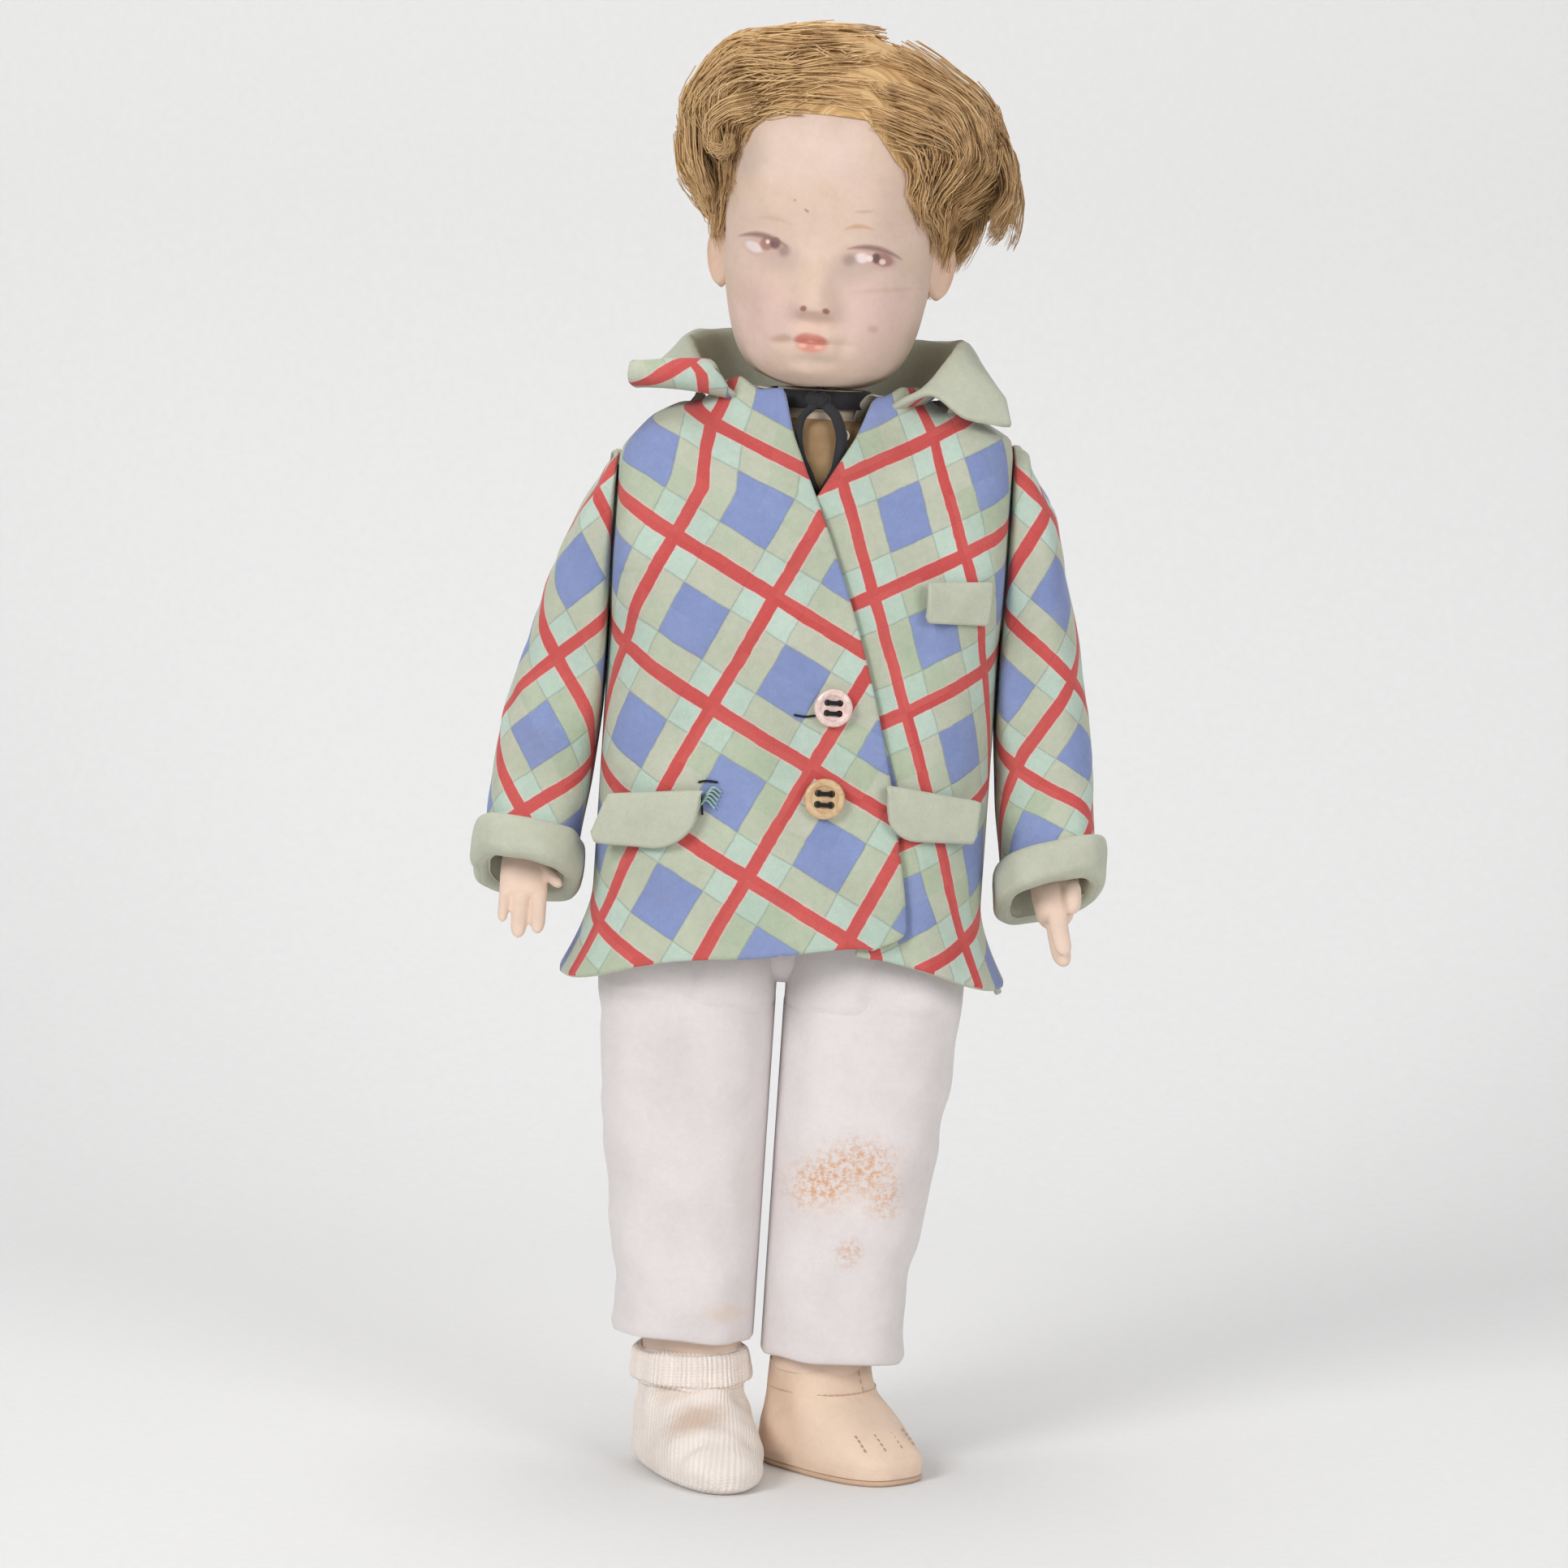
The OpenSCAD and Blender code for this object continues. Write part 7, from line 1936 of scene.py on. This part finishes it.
SOCK = sock_finish()
turned = foot_frame(RIGHT)
cols = 360
sock_z = np.concatenate([np.linspace(0.2, 3.5, 7), np.linspace(4.5, 34.2, 44)])
off = 1.0
rings = []
for z in sock_z:
    half, toe, heel = faired(foot_rows() + [[36, 14.7, 15.1, 15.1]], np.array([max(z, 0.4)]))[0]
    tuck = -1.6 * (1 - min(z / 2.5, 1)) ** 2
    reach = 8.0 * smooth(24, 8, z)
    r = ring(0, 0, z, half * 0.95 + off + tuck, toe + reach + off + tuck, heel + off + tuck, 2.2, cols)
    rings.append(r)
rings = np.array(rings)
run = np.linspace(0, 1, cols, endpoint=False) * 2 * math.pi
toe_fold = 1.3 * hump(rings[..., 1] + 36, 2.4) * smooth(4, 12,
                                                        rings[..., 2]) * np.sin(rings[..., 0] / 3.0 + 1)
slack = 0.5 * ripple(rings, 13, 81) + 0.35 * np.sin(rings[..., 2] * 0.9 + 2.2
                                                    * np.sin(run * 2)) * smooth(14, 26, rings[..., 2])
wales = 0.07 * np.sin(run * 78)
n = outward(rings)
rings = rings + n * ((toe_fold + slack) * smooth(1.5, 5, rings[..., 2]) + wales
                     * smooth(0.5, 3, rings[..., 2]))[..., None]
rings[..., 2] = np.maximum(rings[..., 2], 0.02)
around = (run[None, :] / (2 * math.pi) * 96 - 24) + 0 * rings[..., 0]
length = 36 - rings[..., 2] + np.maximum(-15 - rings[..., 1], 0)
made = stuffed("right_sock_knit", turned(rings), "right_leg", [SOCK], np.stack([around, length], -1),
               place=on_table, replaces=("right_sock", "right_foot", "right_sole"), slot="sock_knit")
cuff_prof = curve_through([[0.2, 34.6], [1.1, 35.4], [2.3, 34.7], [2.9, 31], [3.0, 27.4], [2.5, 25.8],
                           [1.4, 26.0]], 30)
cuff = []
for o, z in cuff_prof:
    half, toe, heel = faired(foot_rows() + [[40, 14.9, 15.4, 15.4]], np.array([z]))[0]
    toe = min(toe, 16.5)
    cuff.append(ring(0, 0, z, half + o, toe + o, heel + o, 2.2, cols))
cuff = np.array(cuff)
n = outward(cuff)
cuff = cuff + n * (0.26 * np.sin(run * 72) + 0.45 * ripple(cuff, 15, 83))[..., None]
cuff[..., 2] += 0.6 * ripple(cuff, 26, 84)
uv = np.stack([around[:1] + 0 * cuff[..., 0], cuff[..., 2] + 100], -1)
made = felt_sheet("right_sock_fold", turned(cuff), turned(cuff - n), "right_leg", [SOCK], uv, wrap=True,
                  place=on_table, slot="sock_knit")
cut_sheet(made, cuff, True)

# Shirt front, shirt collar and neck ribbon


def woven_finish(name, warp, weft, pitch, rough=0.85, sheen=0.0, bump=0.4):
    def build(t):
        at = object_place(t)
        p = add(t, "ShaderNodeSeparateXYZ", {0: at}).outputs
        a = calc(t, "SINE", calc(t, "MULTIPLY", p[0], 6283.2 / pitch))
        b = calc(t, "SINE", calc(t, "MULTIPLY", p[2], 6283.2 / pitch))
        over = calc(t, "MULTIPLY", a, b)
        cloud = noise(t, at, 160.0, 4.0, 0.6)
        tone = calc(t, "ADD", calc(t, "MULTIPLY", over, 0.3), cloud, True)
        return blend_colours(t, tone, warp, weft), over
    return finish(name, build, rough=rough, sheen=sheen, bump=bump, relief=0.0002)


SHIRT = woven_finish("tan_cotton", paint(136, 104, 70), paint(182, 152, 114), 0.7)
PALE = woven_finish("pale_cotton", paint(206, 196, 180), paint(236, 230, 218), 0.6)
RIBBON = woven_finish("black_ribbon", paint(20, 20, 24), paint(40, 40, 46), 0.5, rough=0.5, sheen=0.3,
                      bump=0.3)

shirt_z = np.concatenate([np.linspace(216, 300, 40), np.linspace(301, 313.2, 16)])
outer, inner = [], []
for z in shirt_z:
    for off, rows in ((1.3, outer), (0.4, inner)):
        full = torso_ring(z, 360, off)
        keep = full[(full[:, 1] < -0.1)]
        keep = keep[np.argsort(keep[:, 0])]
        inside = np.abs(keep[:, 0]) < np.abs(keep[:, 0]).max() * 0.86
        rows.append(evenly(keep[inside], 60))
outer, inner = np.array(outer), np.array(inner)
outer[..., 1] -= 0.35 * (ripple(outer, 11, 91) + 1) * smooth(222, 240, outer[..., 2]) * 0.5
made = felt_sheet("shirt_front_cloth", outer, inner, "torso", [SHIRT], replaces=("shirt_front",),
                  slot="tan_cotton")
cut_sheet(made, outer)

ct = np.radians(np.linspace(-38, 218, 110))
col_rows = []
for s in np.linspace(0, 1, 12):
    side_share = np.abs(np.cos(ct)) ** 2
    r = 13.2 + (2.2 + 7.5 * side_share) * s ** 1.4 + 0.5 * np.sin(ct * 9) * s
    z = 313.0 + 8.6 * np.sin(s * 1.75) - 0.5 * s + 0.4 * np.sin(ct * 7 + 1) * s
    z = np.minimum(z, 322.0)
    col_rows.append(np.stack([r * np.cos(ct), NECK_Y + r * np.sin(ct), z], -1))
outer = np.array(col_rows)
n = normals_of(outer, False)
made = felt_sheet("shirt_collar_cloth", outer, outer - n * 0.5, "torso", [PALE], replaces=("shirt_collar",),
                  slot="pale_cotton")
cut_sheet(made, outer)


def ribbon_strip(name, points, wide, body, replaces):
    """A ribbon laid along some points, facing the front, with its width at each step."""
    line = curve_through(points, len(wide))
    along = np.gradient(line, axis=0)
    along /= np.linalg.norm(along, axis=1, keepdims=True)
    across = np.cross(along, [0.0, -1.0, 0.0])
    across /= np.linalg.norm(across, axis=1, keepdims=True)
    face = np.cross(across, along)
    s = np.linspace(-0.5, 0.5, 7)
    outer = line[:, None] + across[:, None] * (s[None, :] * wide[:, None])[..., None]
    outer = outer + face[:, None] * (0.35 * np.cos(s * 3.0))[None, :, None]
    made = felt_sheet(name, outer, outer - face[:, None] * 0.45, body, [RIBBON], replaces=replaces,
                      slot="black_ribbon")
    cut_sheet(made, outer)


bt = full_turn(120)
band_out, band_in = [], []
for s in np.linspace(0, 1, 7):
    bulge = 0.35 * math.sin(math.pi * s)
    r = 14.9 + bulge + 0.2 * np.sin(bt * 3)
    z = 317.0 + 5.0 * s + 0.5 * np.sin(bt + 0.6)
    z = np.minimum(z, 322.2)
    band_out.append(np.stack([r * np.cos(bt), NECK_Y + r * np.sin(bt), z], -1))
    band_in.append(np.stack([(r - .5) * np.cos(bt), NECK_Y + (r - .5) * np.sin(bt), z], -1))
made = felt_sheet("ribbon_band_tied", np.array(band_out), np.array(band_in), "torso", [RIBBON], wrap=True,
                  replaces=("ribbon_band",), slot="black_ribbon")
cut_sheet(made, np.array(band_out), True)

knot = []
for s in np.linspace(0, math.pi, 24):
    t = full_turn(40)
    r = math.sin(s)
    pinch = 1 - 0.25 * math.exp(-((s - 1.57) / 0.25) ** 2)
    knot.append(np.stack([-0.7 - 3.6 * math.cos(s) + 0 * t, -18.4 + 2.2 * r * pinch * np.cos(t),
                          319.3 + 2.5 * r * pinch * np.sin(t) + 0.2 * np.sin(t * 4)], -1))
knot = np.array(knot)
stuffed("ribbon_knot_tied", knot + 0.2 * ripple(knot, 5, 95)[..., None], "torso", [RIBBON],
        replaces=("ribbon_knot",), slot="black_ribbon")
loop = np.array([[-1.5, -19.4, 317.6], [-5.0, -20.2, 313.4], [-5.6, -20.8, 309.0], [-4.4, -21.4, 303.0],
                 [-1.6, -22.2, 297.4],
                 [0.4, -23.0, 293.4], [1.9, -23.4, 292.4], [3.6, -23.0, 294.8], [6.4, -22.0, 301.0],
                 [7.0, -21.0, 307.4], [5.0, -20.2, 314.4], [1.6, -19.4, 317.8]])
ribbon_strip("ribbon_loop_hung", loop,
             np.interp(np.linspace(0, 1, 60), [0, .3, .5, .7, 1], [2.0, 1.8, 1.8, 3.2, 2.8]), "torso",
             ("ribbon_loop",))

# Plain CAD parts that stay: the joint discs and pins


def disc_finish():
    def build(t):
        at = object_place(t)
        fibre = noise(t, at, 800.0, 5.0, 0.7)
        return blend_colours(t, fibre, paint(120, 92, 66), paint(170, 138, 104)), fibre
    return finish("fibre_board", build, rough=0.85, bump=0.3)


def pin_finish():
    def build(t):
        at = object_place(t)
        scratch = noise(t, at, 1800.0, 3.0)
        return blend_colours(t, scratch, paint(150, 150, 152), paint(190, 190, 192)), scratch
    return finish("pin_steel", build, rough=0.35, metal=1.0, bump=0.1)


DISC, PIN = disc_finish(), pin_finish()
for node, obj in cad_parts.items():
    if not obj.hide_render:
        obj.data.materials.clear()
        obj.data.materials.append(PIN if "pin" in node else DISC)

# Stage, light and camera


def stage_finish():
    def build(t):
        at = object_place(t)
        grain = noise(t, at, 300.0, 3.0)
        return blend_colours(t, grain, paint(226, 225, 224), paint(232, 231, 230)), None
    made = finish("pale_table", build, rough=0.8)
    t = made.node_tree
    surface = next(n for n in t.nodes if n.type == "OUTPUT_MATERIAL").inputs["Surface"]
    behind = add(t, "ShaderNodeNewGeometry").outputs["Backfacing"]
    clear = add(t, "ShaderNodeBsdfTransparent").outputs[0]
    seen = add(t, "ShaderNodeMixShader", {0: behind, 1: surface.links[0].from_socket, 2: clear}).outputs[0]
    t.links.new(seen, surface)
    return made


floor_mesh = bpy.data.meshes.new("pale_floor")
TABLE_FRONT, TABLE_BACK, SWEEP_R, STAGE_HALF = -1.0, 0.35, 0.4, 2.2
sweep = [[TABLE_FRONT, 0.0], [TABLE_BACK, 0.0]]
sweep += [[TABLE_BACK + SWEEP_R * math.sin(a), SWEEP_R - SWEEP_R * math.cos(a)]
          for a in np.linspace(0.05, math.pi / 2, 20)]
sweep += [[TABLE_BACK + SWEEP_R, STAGE_HALF]]
floor_points = [[x, y, z] for y, z in sweep for x in (-STAGE_HALF, STAGE_HALF)]
floor_faces = [(2 * k, 2 * k + 1, 2 * k + 3, 2 * k + 2) for k in range(len(sweep) - 1)]
floor_mesh.from_pydata(floor_points, [], floor_faces)
floor_mesh.materials.append(stage_finish())
floor_mesh.polygons.foreach_set("use_smooth", np.ones(len(floor_faces), bool))
floor = shown("pale_floor", floor_mesh)


def aimed(name, data, place, aim):
    """A lamp or camera set at a place and pointed at its aim."""
    obj = shown(name, data)
    obj.location = place
    obj.rotation_mode = "QUATERNION"
    obj.rotation_quaternion = (Vector(aim) - Vector(place)).to_track_quat("-Z", "Y")
    return obj


MIDDLE = (0.0, 0.0, 0.22)
for name, place, wide, watts in (("lamp_left", (-1.1, -1.3, 1.1), 0.8, 18.0),
                                 ("lamp_right", (1.0, -1.4, 0.8), 0.8, 10.5),
                                 ("lamp_top", (0.0, 0.1, 1.7), 0.9, 8.5)):
    lamp = bpy.data.lights.new(name, "AREA")
    lamp.shape, lamp.size, lamp.energy = "DISK", wide, watts
    aimed(name, lamp, place, MIDDLE)

world = bpy.data.worlds.new("plain_room")
world.use_nodes = True
room = world.node_tree.nodes["Background"]
room.inputs["Color"].default_value = (0.9, 0.92, 0.95, 1)
room.inputs["Strength"].default_value = 0.35
far_wall = add(world.node_tree, "ShaderNodeBackground",
               {"Color": (0.82, 0.82, 0.82, 1), "Strength": 1.0}).outputs[0]
camera_ray = add(world.node_tree, "ShaderNodeLightPath").outputs["Is Camera Ray"]
room_seen = add(world.node_tree, "ShaderNodeMixShader",
                {0: camera_ray, 1: room.outputs[0], 2: far_wall}).outputs[0]
world.node_tree.links.new(room_seen, world.node_tree.nodes["World Output"].inputs["Surface"])
scene.world = world
scene.view_settings.view_transform = "Standard"

camera = bpy.data.cameras.new("camera")
camera.sensor_width, camera.lens = 36.0, 116.0
scene.camera = aimed("camera", camera, (-0.002, -1.5, 0.338), (-0.002, 0, 0.204))
